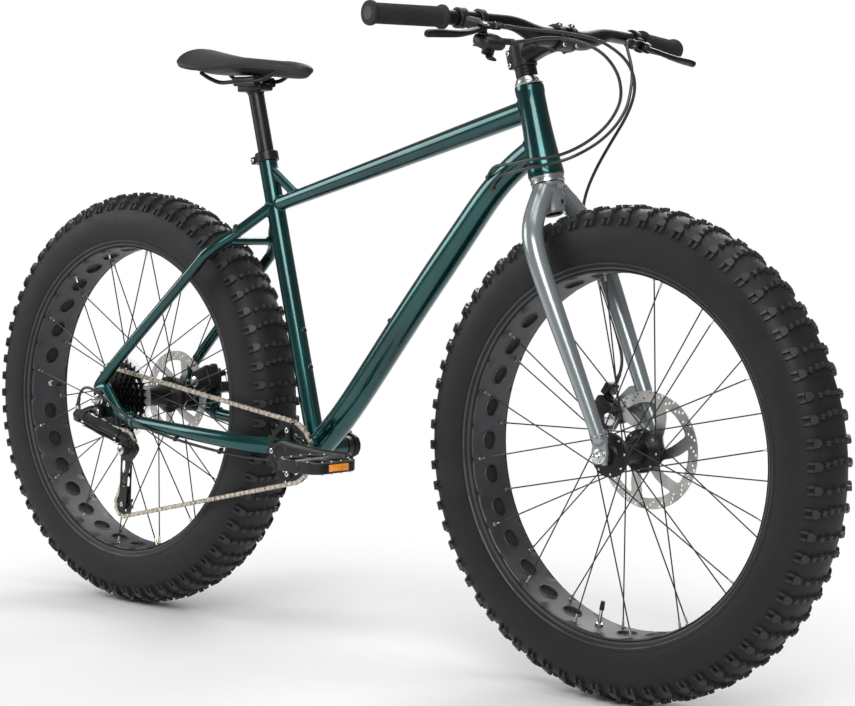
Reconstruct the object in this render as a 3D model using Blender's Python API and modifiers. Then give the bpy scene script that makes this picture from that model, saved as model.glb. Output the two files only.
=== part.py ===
"""Fat tyre bicycle at full size, in metres, +Z up and +X forward.

The origin lies on the ground midway between the two hubs, and the drive side is
at -Y. Tubes, wheels and drive are worked out from the driving sizes below; each
moving piece has its origin on the axis that it turns or slides on.
"""

import math

import bmesh
import bpy
from mathutils import Matrix, Vector

# Fits between neighbouring pieces
GAP = 0.0003
RUNNING_GAP = 0.0008

# Wheels
WHEELBASE = 1.097
TYRE_RADIUS = 0.374
TYRE_WIDTH = 0.107
TYRE_WALL = 0.0035
KNOB_HEIGHT = 0.0055
TREAD_STATIONS = 48
RIM_RADIUS = 0.2855
RIM_WIDTH = 0.099
RIM_DEPTH = 0.014
RIM_WALL = 0.0026
RIM_HOLES = 32
RIM_HOLE_RADIUS = 0.0148
SPOKE_RADIUS = 0.0012
SPOKES_PER_FLANGE = 16
SPOKE_CROSSES = 3
SPOKE_ROW = 0.026
FRONT_VALVE = math.radians(-100)
REAR_VALVE = math.radians(179)
FLANGE_THICKNESS = 0.0044
FRONT_AXLE_RADIUS = 0.0045
REAR_AXLE_RADIUS = 0.005
FRONT_DROPOUT_WIDTH = 0.135
REAR_DROPOUT_WIDTH = 0.190
FRONT_ROTOR_RADIUS = 0.090
REAR_ROTOR_RADIUS = 0.080
ROTOR_THICKNESS = 0.0018
FRONT_ROTOR_Y = 0.0525
REAR_ROTOR_Y = 0.080

# Frame
REAR_TYRE_ROOM = 0.075
CHAINSTAY_LENGTH = TYRE_RADIUS + REAR_TYRE_ROOM
BB_DROP = 0.055
SEAT_ANGLE = math.radians(74.5)
SEAT_TUBE_LENGTH = 0.5193
SEAT_TUBE_RADIUS = 0.0159
SEATPOST_RADIUS = 0.0136
HEAD_ANGLE = math.radians(74.4)
FORK_OFFSET = 0.052
FRONT_TYRE_ROOM = 0.069
AXLE_TO_HEAD = TYRE_RADIUS + FRONT_TYRE_ROOM
HEAD_TUBE_LENGTH = 0.146
HEAD_TOP_RADIUS = 0.022
HEAD_LOW_RADIUS = 0.028
STEERER_RADIUS = 0.0143
TOP_TUBE_FRONT_RADIUS = 0.018
TOP_TUBE_REAR_RADIUS = 0.0122
TOP_TUBE_BELOW_HEAD_TOP = 0.0366
TOP_TUBE_BELOW_SEAT_TOP = 0.0932
DOWN_TUBE_RADIUS = 0.0232
DOWN_TUBE_HEAD_RADIUS = 0.0205
DOWN_TUBE_ABOVE_HEAD_LOW = 0.052
DOWN_TUBE_BOW = 0.0194
BB_SHELL_RADIUS = 0.0235
BB_SHELL_WIDTH = 0.100
CARTRIDGE_RADIUS = 0.0172
SEATSTAY_RADIUS = 0.0095
STAY_SPREAD = 0.100
STAY_BEND_SPREAD = 0.078
CHAINSTAY_HEIGHT = 0.031
DROPOUT_THICKNESS = 0.0045
BOTTLE_BOSS_SPACING = 0.064
BOTTLE_BOSS_HEIGHT = 0.138

# Fork, stem and bar
FORK_LEG_RADIUS = 0.0165
FORK_TIP_RADIUS = 0.0108
FORK_LEG_SPREAD = 0.080
STEM_LENGTH = 0.079
STEM_HEIGHT = 0.036
BAR_CLAMP_RADIUS = 0.0159
BAR_GRIP_RADIUS = 0.0111
BAR_HALF_WIDTH = 0.375
BAR_RISE = 0.015
BAR_SWEEP = 0.0525
GRIP_LENGTH = 0.130
GRIP_RADIUS = 0.0150
LEVER_BESIDE_GRIP = 0.030
LEVER_PLACE = BAR_HALF_WIDTH - GRIP_LENGTH - LEVER_BESIDE_GRIP
LEVER_REACH = 0.036

# Drive
CHAIN_PITCH = 0.0127
CHAINRING_TEETH = 26
CHAINRING_Y = -0.066
COG_TEETH = (34, 30, 26, 23, 20, 17, 15, 13, 11)
COG_PITCH_Y = 0.00435
LARGEST_COG_Y = -0.0545
COG_IN_USE = 2
COG_THICKNESS = 0.0016
PULLEY_TEETH = 11
CHAIN_HALF_WIDTH = 0.0031
CRANK_LENGTH = 0.170
CRANK_SPREAD = 0.089
PEDAL_LENGTH = 0.100
PEDAL_WIDTH = 0.098
PEDAL_HEIGHT = 0.022
PEDAL_INNER = 0.125
PEDAL_AXLE_RADIUS = 0.005

# Saddle
SADDLE_LENGTH = 0.268
SADDLE_WIDTH = 0.150
SADDLE_NOSE_WIDTH = 0.044
SADDLE_HEIGHT = 0.1545
RAIL_RADIUS = 0.0036
RAIL_SPREAD = 0.022

FRONT_HUB = Vector((WHEELBASE / 2, 0, TYRE_RADIUS))
REAR_HUB = Vector((-WHEELBASE / 2, 0, TYRE_RADIUS))
BOTTOM_BRACKET = REAR_HUB + Vector((math.sqrt(CHAINSTAY_LENGTH**2 - BB_DROP**2), 0, -BB_DROP))
SEAT_UP = Vector((-math.cos(SEAT_ANGLE), 0, math.sin(SEAT_ANGLE)))
SEAT_FORWARD = Vector((math.sin(SEAT_ANGLE), 0, math.cos(SEAT_ANGLE)))
HEAD_UP = Vector((-math.cos(HEAD_ANGLE), 0, math.sin(HEAD_ANGLE)))
HEAD_FORWARD = Vector((math.sin(HEAD_ANGLE), 0, math.cos(HEAD_ANGLE)))
STEERING_FOOT = FRONT_HUB - HEAD_FORWARD * FORK_OFFSET
ACROSS = Vector((0, 1, 0))
COG_Y = LARGEST_COG_Y - COG_IN_USE * COG_PITCH_Y

parts = bpy.data.collections.new("fat_tyre_bicycle")
cutters = bpy.data.collections.new("cutters")
pivots = {}


def seat_point(along, forward=0.0, side=0.0):
    """A point measured from the bottom bracket up the seat tube."""
    return BOTTOM_BRACKET + SEAT_UP * along + SEAT_FORWARD * forward + ACROSS * side


def head_point(along, forward=0.0, side=0.0):
    """A point measured up the steering axis from beside the front hub."""
    return STEERING_FOOT + HEAD_UP * along + HEAD_FORWARD * forward + ACROSS * side


def by_head(rise, forward=0.0, side=0.0):
    """A point measured up the steering axis from the head tube's lower end."""
    return head_point(AXLE_TO_HEAD + rise, forward, side)


def hub_point(hub, forward, side, up):
    """A point measured from a hub's centre."""
    return hub + Vector((forward, side, up))


def facing(origin, direction, across=ACROSS):
    """The matrix that puts local Z along direction and local X close to across."""
    up = direction.normalized()
    if abs(across.normalized().dot(up)) > 0.95:
        across = Vector((1, 0, 0))
    right = (across - up * across.dot(up)).normalized()
    turn = Matrix((right, up.cross(right), up)).transposed()
    return Matrix.Translation(origin) @ turn.to_4x4()


def finish(name, colour, roughness, metallic=0.0):
    """A plain surface in one colour."""
    look = bpy.data.materials.new(name)
    look.use_nodes = True
    shader = look.node_tree.nodes["Principled BSDF"]
    shader.inputs["Base Color"].default_value = (*colour, 1)
    shader.inputs["Roughness"].default_value = roughness
    shader.inputs["Metallic"].default_value = metallic
    look.diffuse_color = (*colour, 1)
    return look


def drawn(bm):
    """The finished mesh of a bmesh, with its faces pointing out."""
    bm.normal_update()
    bmesh.ops.recalc_face_normals(bm, faces=bm.faces)
    if bm.calc_volume(signed=True) < 0:
        bmesh.ops.reverse_faces(bm, faces=bm.faces)
    mesh = bpy.data.meshes.new("shape")
    bm.to_mesh(mesh)
    bm.free()
    return mesh


def evaluated(obj):
    """The object's mesh with its modifiers, after which the object is removed."""
    cutters.objects.link(obj)
    bpy.context.view_layer.update()
    graph = bpy.context.evaluated_depsgraph_get()
    mesh = bpy.data.meshes.new_from_object(obj.evaluated_get(graph))
    bpy.data.objects.remove(obj)
    return mesh


def welded(mesh):
    """The mesh with points that lie on each other made one."""
    bm = bmesh.new()
    bm.from_mesh(mesh)
    bmesh.ops.remove_doubles(bm, verts=bm.verts, dist=0.000001)
    return drawn(bm)


def rod(start, end, radius, end_radius=None, sides=12, across=ACROSS):
    """A cylinder or cone from start to end."""
    bm = bmesh.new()
    bmesh.ops.create_cone(
        bm,
        cap_ends=True,
        segments=sides,
        radius1=radius,
        radius2=radius if end_radius is None else end_radius,
        depth=(end - start).length,
    )
    bm.transform(facing((start + end) / 2, end - start, across))
    return drawn(bm)


def block(size, placing):
    """A box of the given size, put in place by a matrix or a centre."""
    if isinstance(placing, Vector):
        placing = Matrix.Translation(placing)
    bm = bmesh.new()
    bmesh.ops.create_cube(bm, size=1.0)
    bm.transform(placing @ Matrix.Diagonal((*size, 1)))
    return drawn(bm)


def turned(profile, origin, direction, steps, ring=False, across=ACROSS):
    """A turned shape from (radius, height) points that run down its outer side."""
    count = len(profile)
    mesh = bpy.data.meshes.new("profile")
    edges = [(i, i + 1) for i in range(count - 1)]
    if ring:
        edges.append((count - 1, 0))
    mesh.from_pydata([(radius, 0, height) for radius, height in profile], edges, [])
    obj = bpy.data.objects.new("profile", mesh)
    screw = obj.modifiers.new("Screw", "SCREW")
    screw.steps = steps
    screw.render_steps = steps
    screw.use_merge_vertices = True
    screw.merge_threshold = 0.00001
    shape = welded(evaluated(obj))
    shape.transform(facing(origin, direction, across))
    return shape


def tube(points, radii, sides=12):
    """A tube along points; radii is one size or one for each point."""
    if not isinstance(radii, (list, tuple)):
        radii = [radii] * len(points)
    curve = bpy.data.curves.new("route", "CURVE")
    curve.dimensions = "3D"
    curve.bevel_depth = radii[0]
    curve.bevel_resolution = (sides - 4) // 2
    curve.use_fill_caps = True
    spline = curve.splines.new("POLY")
    spline.points.add(len(points) - 1)
    for place, point, radius in zip(spline.points, points, radii):
        place.co = (*point, 1)
        place.radius = radius / radii[0]
    return welded(evaluated(bpy.data.objects.new("route", curve)))


def smooth(points, spacing):
    """Points about spacing apart on a smooth curve through the given points."""
    points = [Vector(point) for point in points]
    ends = [points[0] * 2 - points[1], *points, points[-1] * 2 - points[-2]]
    route = []
    for a, b, c, d in zip(ends, ends[1:], ends[2:], ends[3:]):
        steps = max(1, round((c - b).length / spacing))
        for step in range(steps):
            t = step / steps
            slope = (c - a) * t
            bend = (a * 2 - b * 5 + c * 4 - d) * t**2
            twist = (b * 3 - a - c * 3 + d) * t**3
            route.append((b * 2 + slope + bend + twist) / 2)
    return [*route, points[-1]]


def plate(loops, thickness, origin, direction, across=ACROSS):
    """A flat plate: the first loop is its outline and the others are holes in it."""
    curve = bpy.data.curves.new("outline", "CURVE")
    curve.dimensions = "2D"
    curve.fill_mode = "BOTH"
    curve.extrude = thickness / 2
    for loop in loops:
        spline = curve.splines.new("POLY")
        spline.points.add(len(loop) - 1)
        for place, (x, y) in zip(spline.points, loop):
            place.co = (x, y, 0, 1)
        spline.use_cyclic_u = True
    shape = welded(evaluated(bpy.data.objects.new("outline", curve)))
    shape.transform(facing(origin, direction, across))
    return shape


def side_plate(loops, thickness, y):
    """A plate that stands lengthwise at y; its loops hold (x, z) places."""
    shape = plate(loops, thickness, Vector(), Vector((0, 0, 1)), Vector((1, 0, 0)))
    shape.transform(Matrix.Translation((0, y, 0)) @ Matrix.Rotation(math.pi / 2, 4, "X"))
    return shape


def lofted(rings, closed=False):
    """A skin over rings of equally many points, capped unless it closes on itself."""
    bm = bmesh.new()
    rows = [[bm.verts.new(point) for point in ring] for ring in rings]
    pairs = list(zip(rows, rows[1:]))
    if closed:
        pairs.append((rows[-1], rows[0]))
    for low, high in pairs:
        for i in range(len(low)):
            j = (i + 1) % len(low)
            bm.faces.new((low[i], low[j], high[j], high[i]))
    if not closed:
        bm.faces.new(rows[0])
        bm.faces.new(rows[-1])
    return drawn(bm)


def oval(centre, along, side_radius, other_radius, sides=12, across=ACROSS, squareness=1.0):
    """A ring of points round a path: side_radius along across, other_radius beside it."""
    placing = facing(centre, along, across)
    ring = []
    for i in range(sides):
        angle = math.tau * (i + 0.5) / sides
        x = math.copysign(abs(math.cos(angle)) ** squareness, math.cos(angle))
        y = math.copysign(abs(math.sin(angle)) ** squareness, math.sin(angle))
        ring.append(placing @ Vector((side_radius * x, other_radius * y, 0)))
    return ring


def oval_tube(points, side_radii, other_radii, sides=12, across=ACROSS, squareness=1.0):
    """A tube of oval section along points."""
    rings = []
    for i, point in enumerate(points):
        along = points[min(i + 1, len(points) - 1)] - points[max(i - 1, 0)]
        rings.append(oval(point, along, side_radii[i], other_radii[i], sides, across, squareness))
    return lofted(rings)


def circle(centre, radius, sides, phase=0.0):
    """A flat ring of (x, y) points."""
    turns = [phase + math.tau * i / sides for i in range(sides)]
    return [(centre[0] + radius * math.cos(a), centre[1] + radius * math.sin(a)) for a in turns]


def shaped(base, join=(), cut=()):
    """base with the meshes of join added to it and those of cut taken away."""
    obj = bpy.data.objects.new("work", base)
    helpers = []
    for operation, meshes in (("UNION", join), ("DIFFERENCE", cut)):
        for mesh in meshes:
            helper = bpy.data.objects.new("cutter", mesh)
            helper.hide_render = True
            helper.display_type = "WIRE"
            cutters.objects.link(helper)
            helpers.append(helper)
            boolean = obj.modifiers.new(operation.title(), "BOOLEAN")
            boolean.operation = operation
            boolean.solver = "EXACT"
            boolean.object = helper
    shape = evaluated(obj)
    for helper in helpers:
        bpy.data.objects.remove(helper)
    return shape


def gathered(meshes):
    """Separate bodies in one mesh, to be cut or joined in one step."""
    bm = bmesh.new()
    for mesh in meshes:
        bm.from_mesh(mesh)
    return drawn(bm)


def pivot(name, place, parent=None):
    """An empty that the pieces of one moving body hang from."""
    empty = bpy.data.objects.new(name, None)
    empty.empty_display_size = 0.03
    parts.objects.link(empty)
    if parent:
        empty.parent = pivots[parent][0]
        empty.location = place - pivots[parent][1]
    else:
        empty.location = place
    pivots[name] = (empty, Vector(place))


def add(name, mesh, look, carrier, sharp=35):
    """Puts a finished piece on its carrier, with its origin on the carrier's axis."""
    empty, place = pivots[carrier]
    mesh.name = name
    mesh.transform(Matrix.Translation(-place))
    mesh.materials.clear()
    mesh.materials.append(look)
    mesh.shade_smooth()
    mesh.set_sharp_from_angle(angle=math.radians(sharp))
    obj = bpy.data.objects.new(name, mesh)
    obj.parent = empty
    parts.objects.link(obj)
    return obj


# Wheels


def tyre(hub):
    """A hollow casing whose tread rises and falls in knobs round the shoulder and crown."""
    bead = RIM_RADIUS - 0.006
    half = TYRE_WIDTH / 2
    bead_half = RIM_WIDTH / 2 - RIM_WALL
    bulge = RIM_RADIUS + 0.30 * (TYRE_RADIUS - RIM_RADIUS)
    inside = TYRE_RADIUS - KNOB_HEIGHT - TYRE_WALL
    outer = [
        (bead, bead_half, 0, 0),
        (bulge, half, 0, 0),
        (TYRE_RADIUS - 0.0225, 0.91 * half, KNOB_HEIGHT, 1),
        (TYRE_RADIUS - 0.0065, 0.50 * half, KNOB_HEIGHT * 0.8, 0),
        (TYRE_RADIUS, 0.0, KNOB_HEIGHT * 0.6, 1),
    ]
    outer += [(radius, -y, dip, phase) for radius, y, dip, phase in outer[-2::-1]]
    inner = [
        (bead, TYRE_WALL - bead_half, 0, 0),
        (bulge, TYRE_WALL - half, 0, 0),
        (inside - 0.0190, -0.78 * half, 0, 0),
        (inside, 0.0, 0, 0),
        (inside - 0.0190, 0.78 * half, 0, 0),
        (bulge, half - TYRE_WALL, 0, 0),
        (bead, bead_half - TYRE_WALL, 0, 0),
    ]
    bm = bmesh.new()
    rings = []
    for every, rows in ((1, outer), (2, inner)):
        for radius, y, dip, phase in rows:
            ring = []
            for i in range(0, TREAD_STATIONS, every):
                angle = -math.pi / 2 + math.tau * i / TREAD_STATIONS
                low = dip if (i + phase) % 2 == 0 else 0
                reach = radius - low
                side = y - math.copysign(min(low, abs(y)) * 0.7, y)
                spot = (hub.x + reach * math.cos(angle), side, hub.z + reach * math.sin(angle))
                ring.append(bm.verts.new(spot))
            rings.append(ring)
    for low, high in zip(rings, [*rings[1:], rings[0]]):
        join_rings(bm, low, high)
    return drawn(bm)


def join_rings(bm, low, high):
    """Faces between two rings, one of which may have twice the points of the other."""
    if len(low) == len(high):
        for i in range(len(low)):
            j = (i + 1) % len(low)
            bm.faces.new((low[i], low[j], high[j], high[i]))
        return
    coarse, fine = (low, high) if len(low) < len(high) else (high, low)
    for i in range(len(coarse)):
        j = (i + 1) % len(coarse)
        a, b, c = fine[2 * i], fine[2 * i + 1], fine[(2 * i + 2) % len(fine)]
        for corners in ((coarse[i], b, a), (coarse[i], coarse[j], b), (coarse[j], c, b)):
            bm.faces.new(corners if low is coarse else corners[::-1])


def spoke_turn(valve, index):
    """The angle of a place between two rim cut-outs, counted from the valve."""
    return valve + math.tau * (index + 0.5) / RIM_HOLES


def rim(hub, valve):
    """A wide single-wall rim with round cut-outs between its spoke places."""
    edge = RIM_WIDTH / 2
    well = RIM_RADIUS - RIM_DEPTH + RIM_WALL
    floor = RIM_RADIUS - RIM_DEPTH
    section = [
        (RIM_RADIUS, edge),
        (well, edge - RIM_WALL - 0.0010),
        (well, RIM_WALL + 0.0010 - edge),
        (RIM_RADIUS, -edge),
        (floor, 0.0015 - edge),
        (floor, edge - 0.0015),
    ]
    corner = spoke_turn(valve, 0)
    ring = turned(section, hub, ACROSS, RIM_HOLES, True, Vector((math.cos(corner), 0, math.sin(corner))))
    holes = []
    for i in range(1, RIM_HOLES):
        angle = valve + math.tau * i / RIM_HOLES
        out = Vector((math.cos(angle), 0, math.sin(angle)))
        holes.append(rod(hub + out * (floor - 0.006), hub + out * (well + 0.006), RIM_HOLE_RADIUS, sides=6))
    return shaped(ring, cut=[gathered(holes)])


def spokes(hub, flange, row, flange_radius, valve, first):
    """One flange's crossed spokes, each from its hole in the flange to the rim."""
    step = math.tau / SPOKES_PER_FLANGE
    start = spoke_turn(valve, first)
    end_radius = RIM_RADIUS - RIM_DEPTH - 0.0005
    lay = FLANGE_THICKNESS / 2 - 0.0003
    found = []
    for i in range(SPOKES_PER_FLANGE):
        ahead = 1 if i % 2 else -1
        rim_angle = start + i * step
        hub_angle = rim_angle + ahead * SPOKE_CROSSES * step
        inner = Vector((math.cos(hub_angle), 0, math.sin(hub_angle))) * (flange_radius - 0.004)
        outer = Vector((math.cos(rim_angle), 0, math.sin(rim_angle))) * end_radius
        inner.y = flange + ahead * lay
        outer.y = row
        found.append(rod(hub + inner, hub + outer, SPOKE_RADIUS, sides=3))
    return found


def spoked_hub(hub, shell, left_flange, right_flange, flange_radius, bore, valve):
    """A turned hub shell with its crossed spokes."""
    profile = [(bore, shell[0][1]), *shell, (bore, shell[-1][1])]
    body = turned(profile, hub, ACROSS, 10, ring=True, across=Vector((1, 0, 0)))
    wires = spokes(hub, left_flange, SPOKE_ROW, flange_radius, valve, 0)
    wires += spokes(hub, right_flange, -SPOKE_ROW, flange_radius, valve, 1)
    return shaped(body, join=[gathered(wires)])


def front_hub():
    """The front hub: rotor seat on the left, flanges set wide apart."""
    half = FLANGE_THICKNESS / 2
    end = FRONT_DROPOUT_WIDTH / 2 - 0.0023
    left, right, big, barrel = 0.034, -0.046, 0.033, 0.0165
    seat = FRONT_ROTOR_Y - ROTOR_THICKNESS / 2 - GAP
    shell = [
        (0.0110, end),
        (0.0145, seat + 0.006),
        (0.0145, seat),
        (0.0235, seat),
        (0.0235, left + half),
        (big, left + half),
        (big, left - half),
        (barrel, left - 0.010),
        (barrel, right + 0.010),
        (big, right + half),
        (big, right - half),
        (0.0140, right - 0.006),
        (0.0110, -end),
    ]
    return spoked_hub(FRONT_HUB, shell, left, right, big, FRONT_AXLE_RADIUS + RUNNING_GAP, FRONT_VALVE)


def rear_hub():
    """The rear hub: rotor seat on the left, freewheel side on the right."""
    half = FLANGE_THICKNESS / 2
    left, right, big, barrel = 0.060, -0.044, 0.033, 0.019
    seat = REAR_ROTOR_Y - ROTOR_THICKNESS / 2 - GAP
    shell = [
        (0.0115, REAR_DROPOUT_WIDTH / 2 - 0.0023),
        (0.0145, seat + 0.006),
        (0.0145, seat),
        (0.0235, seat),
        (0.0235, left + half),
        (big, left + half),
        (big, left - half),
        (barrel, left - 0.012),
        (barrel, right + 0.012),
        (big, right + half),
        (big, right - half),
        (0.0190, right - half),
        (0.0190, LARGEST_COG_Y + COG_THICKNESS / 2 + RUNNING_GAP + 0.0012),
    ]
    return spoked_hub(REAR_HUB, shell, left, right, big, REAR_AXLE_RADIUS + RUNNING_GAP, REAR_VALVE)


def rotor(hub, radius, y):
    """A brake disc with swept windows between its arms."""
    windows = []
    for i in range(6):
        start = math.tau * i / 6
        inner, outer = 0.029, radius - 0.016
        turns = [(inner, 0.0), (inner, 0.62), (outer, 1.18), (outer, 0.42)]
        windows.append([(r * math.cos(start + a), r * math.sin(start + a)) for r, a in turns])
    loops = [circle((0, 0), radius, 28), circle((0, 0), 0.0160, 10), *windows]
    loops = [[(hub.x + x, hub.z + z) for x, z in loop] for loop in loops]
    return side_plate(loops, ROTOR_THICKNESS, y)


def axle_end(radius, dropout_width, plate_depth):
    """Half of an axle's profile: its end, flanged nut and the locknut inside the dropout."""
    face = dropout_width / 2 + plate_depth + GAP
    inside = dropout_width / 2
    return [
        (0, face + 0.0135),
        (radius, face + 0.0135),
        (radius, face + 0.0078),
        (0.0095, face + 0.0078),
        (0.0110, face),
        (radius, face),
        (radius, inside - GAP),
        (0.0085, inside - GAP),
        (0.0085, inside - 0.0015),
        (radius, inside - 0.0015),
    ]


def axle(hub, radius, dropout_width, left_depth, right_depth):
    """A solid axle with a nut outside and a locknut inside each dropout."""
    profile = axle_end(radius, dropout_width, left_depth)
    profile += [(r, -y) for r, y in axle_end(radius, dropout_width, right_depth)[::-1]]
    return turned(profile, hub, ACROSS, 6, across=Vector((1, 0, 0)))


# Frame


def rear_stays(side):
    """One side's seat stay, bent round the dropout, and its chain stay."""
    y = STAY_SPREAD * side
    top = seat_point(SEAT_TUBE_LENGTH - 0.1018, -0.0141)
    low = hub_point(REAR_HUB, 0.0079, 0, 0.0392)
    bend = STAY_BEND_SPREAD
    spread = [(0.0, 0.016), (0.11, 0.042), (0.23, bend - 0.002), (0.36, bend + 0.004), (1.0, STAY_SPREAD)]
    seat_stay = [top.lerp(low, share) + ACROSS * (out * side) for share, out in spread]
    hood = [(0.0180, 0.0215), (0.0337, 0.0018), (0.0500, -0.0145), (0.0697, -0.0245), (0.0960, -0.0275)]
    seat_stay += [hub_point(REAR_HUB, x, y, z) for x, z in hood]
    reach = BOTTOM_BRACKET - REAR_HUB
    run = [
        (0.195, 0.100),
        (0.400, 0.093),
        (0.560, 0.088),
        (0.710, 0.080),
        (0.800, 0.0675),
        (0.862, 0.0545),
        (0.905, 0.0445),
        (0.980, 0.0370),
    ]
    chain_stay = [hub_point(REAR_HUB, reach.x * t, out * side, reach.z * (0.46 + 0.54 * t)) for t, out in run]
    tall = [0.0112, 0.0118, 0.0128, 0.0140, 0.0148, 0.0152, 0.0154, CHAINSTAY_HEIGHT / 2]
    wide = [0.0112, 0.0112, 0.0112, 0.0108, 0.0100, 0.0092, 0.0092, 0.0100]
    return [
        tube(seat_stay, SEATSTAY_RADIUS, sides=8),
        oval_tube(chain_stay, wide, tall, sides=8),
    ]


def axle_slot(half, reach):
    """The outline of a slot open below, round at the axle."""
    turns = [math.pi / 4 * i for i in range(5)]
    return [(half * math.cos(a), half * math.sin(a)) for a in turns] + [(-half, -reach), (half, -reach)]


def dropout(side):
    """The plate that carries one end of the rear axle, slotted from below."""
    inner = REAR_DROPOUT_WIDTH / 2
    y = (inner + DROPOUT_THICKNESS / 2) * side
    outline = [
        (-0.018, 0.016),
        (-0.004, 0.030),
        (0.010, 0.036),
        (0.036, 0.002),
        (0.062, -0.020),
        (0.034, -0.030),
        (0.006, -0.031),
        (-0.013, -0.019),
    ]
    slot = axle_slot((REAR_AXLE_RADIUS + GAP) * 1.05, 0.0525)
    placed = [[(REAR_HUB.x + x, REAR_HUB.z + z) for x, z in loop] for loop in (outline, slot)]
    body = side_plate([placed[0]], DROPOUT_THICKNESS, y)
    return body, side_plate([placed[1]], 3 * DROPOUT_THICKNESS, y)


def rear_caliper_tab():
    """The bracket on the left stay that the rear caliper is bolted to."""
    outline = [
        (0.024, 0.008),
        (0.040, -0.010),
        (0.075, -0.024),
        (0.094, -0.018),
        (0.098, 0.010),
        (0.094, 0.054),
        (0.083, 0.054),
        (0.070, 0.012),
        (0.040, 0.020),
    ]
    loop = [(REAR_HUB.x + x, REAR_HUB.z + z) for x, z in outline]
    return side_plate([loop], 0.006, STAY_SPREAD)


def frame():
    """Head tube, main tubes, bottom bracket shell, stays and dropouts as one weldment."""
    head_low = head_point(AXLE_TO_HEAD)
    head_tube = turned(
        [
            (0, HEAD_TUBE_LENGTH),
            (HEAD_TOP_RADIUS + 0.001, HEAD_TUBE_LENGTH),
            (HEAD_TOP_RADIUS + 0.001, HEAD_TUBE_LENGTH - 0.010),
            (HEAD_TOP_RADIUS, HEAD_TUBE_LENGTH - 0.013),
            (HEAD_TOP_RADIUS + 0.001, 0.075),
            (HEAD_LOW_RADIUS - 0.001, 0.020),
            (HEAD_LOW_RADIUS, 0),
            (0, 0),
        ],
        head_low,
        HEAD_UP,
        14,
    )
    top_front = head_point(AXLE_TO_HEAD + HEAD_TUBE_LENGTH - TOP_TUBE_BELOW_HEAD_TOP)
    top_rear = seat_point(SEAT_TUBE_LENGTH - TOP_TUBE_BELOW_SEAT_TOP)
    shares = [0.0, 0.2, 1.0]
    thinner = TOP_TUBE_REAR_RADIUS - TOP_TUBE_FRONT_RADIUS
    top_radii = [TOP_TUBE_FRONT_RADIUS + thinner * t for t in (0, 0.15, 1)]
    top_tube = tube([top_front.lerp(top_rear, t) for t in shares], top_radii, sides=10)
    down_end = head_point(AXLE_TO_HEAD + DOWN_TUBE_ABOVE_HEAD_LOW)
    lean = (down_end - BOTTOM_BRACKET).normalized()
    rise = Vector((-lean.z, 0, lean.x))
    bow = [(0.0, 0.0), (0.154, -0.2), (0.453, 0.45), (0.694, 0.85), (0.823, 1.0), (0.909, 0.68), (1.0, -0.1)]
    down_route = [BOTTOM_BRACKET.lerp(down_end, t) + rise * (DOWN_TUBE_BOW * b) for t, b in bow]
    down_route = smooth(down_route, 0.09)
    down_radii = []
    for point in down_route:
        share = (point - BOTTOM_BRACKET).length / (down_end - BOTTOM_BRACKET).length
        taper = min(max((share - 0.6) / 0.3, 0), 1)
        down_radii.append(DOWN_TUBE_RADIUS + (DOWN_TUBE_HEAD_RADIUS - DOWN_TUBE_RADIUS) * taper)
    down_tube = tube(down_route, down_radii, sides=12)
    seat_tube = rod(BOTTOM_BRACKET, seat_point(SEAT_TUBE_LENGTH), SEAT_TUBE_RADIUS, sides=14)
    shell = rod(
        BOTTOM_BRACKET - ACROSS * (BB_SHELL_WIDTH / 2),
        BOTTOM_BRACKET + ACROSS * (BB_SHELL_WIDTH / 2),
        BB_SHELL_RADIUS,
        sides=14,
    )
    gusset = rod(seat_point(SEAT_TUBE_LENGTH - 0.022), top_rear.lerp(top_front, 0.10), 0.0085, sides=8)
    stay_top = seat_point(SEAT_TUBE_LENGTH - 0.1018, -0.0141)
    stay_low = hub_point(REAR_HUB, 0.0079, 0, 0.0392)
    bridge_middle = stay_top.lerp(stay_low, 0.17)
    bridge = rod(bridge_middle - ACROSS * 0.058, bridge_middle + ACROSS * 0.058, 0.0065, sides=8)
    low_middle = BOTTOM_BRACKET.lerp(REAR_HUB, 0.115)
    chain_bridge = rod(low_middle - ACROSS * 0.050, low_middle + ACROSS * 0.050, 0.009, sides=8)
    pieces = [top_tube, down_tube, seat_tube, shell, gusset, bridge, chain_bridge]
    cuts = []
    for side in (-1, 1):
        pieces += rear_stays(side)
        body, slot = dropout(side)
        pieces.append(body)
        cuts.append(slot)
        rack = stay_top.lerp(stay_low, 0.125) + Vector((0.004, 0.050 * side, 0.004))
        pieces.append(rod(rack, rack + Vector((0.007, 0.004 * side, 0.009)), 0.0050, sides=6))
    for height in (BOTTLE_BOSS_HEIGHT, BOTTLE_BOSS_HEIGHT + BOTTLE_BOSS_SPACING):
        face = seat_point(height, SEAT_TUBE_RADIUS + 0.002)
        pieces.append(rod(seat_point(height, 0.008), face, 0.0052, sides=8))
        base = BOTTOM_BRACKET.lerp(down_end, height / SEAT_TUBE_LENGTH + 0.13)
        pieces.append(rod(base + rise * 0.01, base + rise * (DOWN_TUBE_RADIUS + 0.0112), 0.0052, sides=8))
    pieces.append(rear_caliper_tab())
    head_bore = STEERER_RADIUS + 0.0016
    post_bore = (SEATPOST_RADIUS + GAP) / math.cos(math.pi / 14)
    cartridge_bore = (CARTRIDGE_RADIUS + GAP) / math.cos(math.pi / 12)
    cuts += [
        rod(by_head(-0.01), by_head(HEAD_TUBE_LENGTH + 0.01), head_bore, sides=12),
        rod(seat_point(SEAT_TUBE_LENGTH - 0.385), seat_point(SEAT_TUBE_LENGTH + 0.01), post_bore, sides=14),
        rod(BOTTOM_BRACKET - ACROSS * 0.06, BOTTOM_BRACKET + ACROSS * 0.06, cartridge_bore, sides=12),
    ]
    return shaped(head_tube, join=pieces, cut=cuts)


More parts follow.
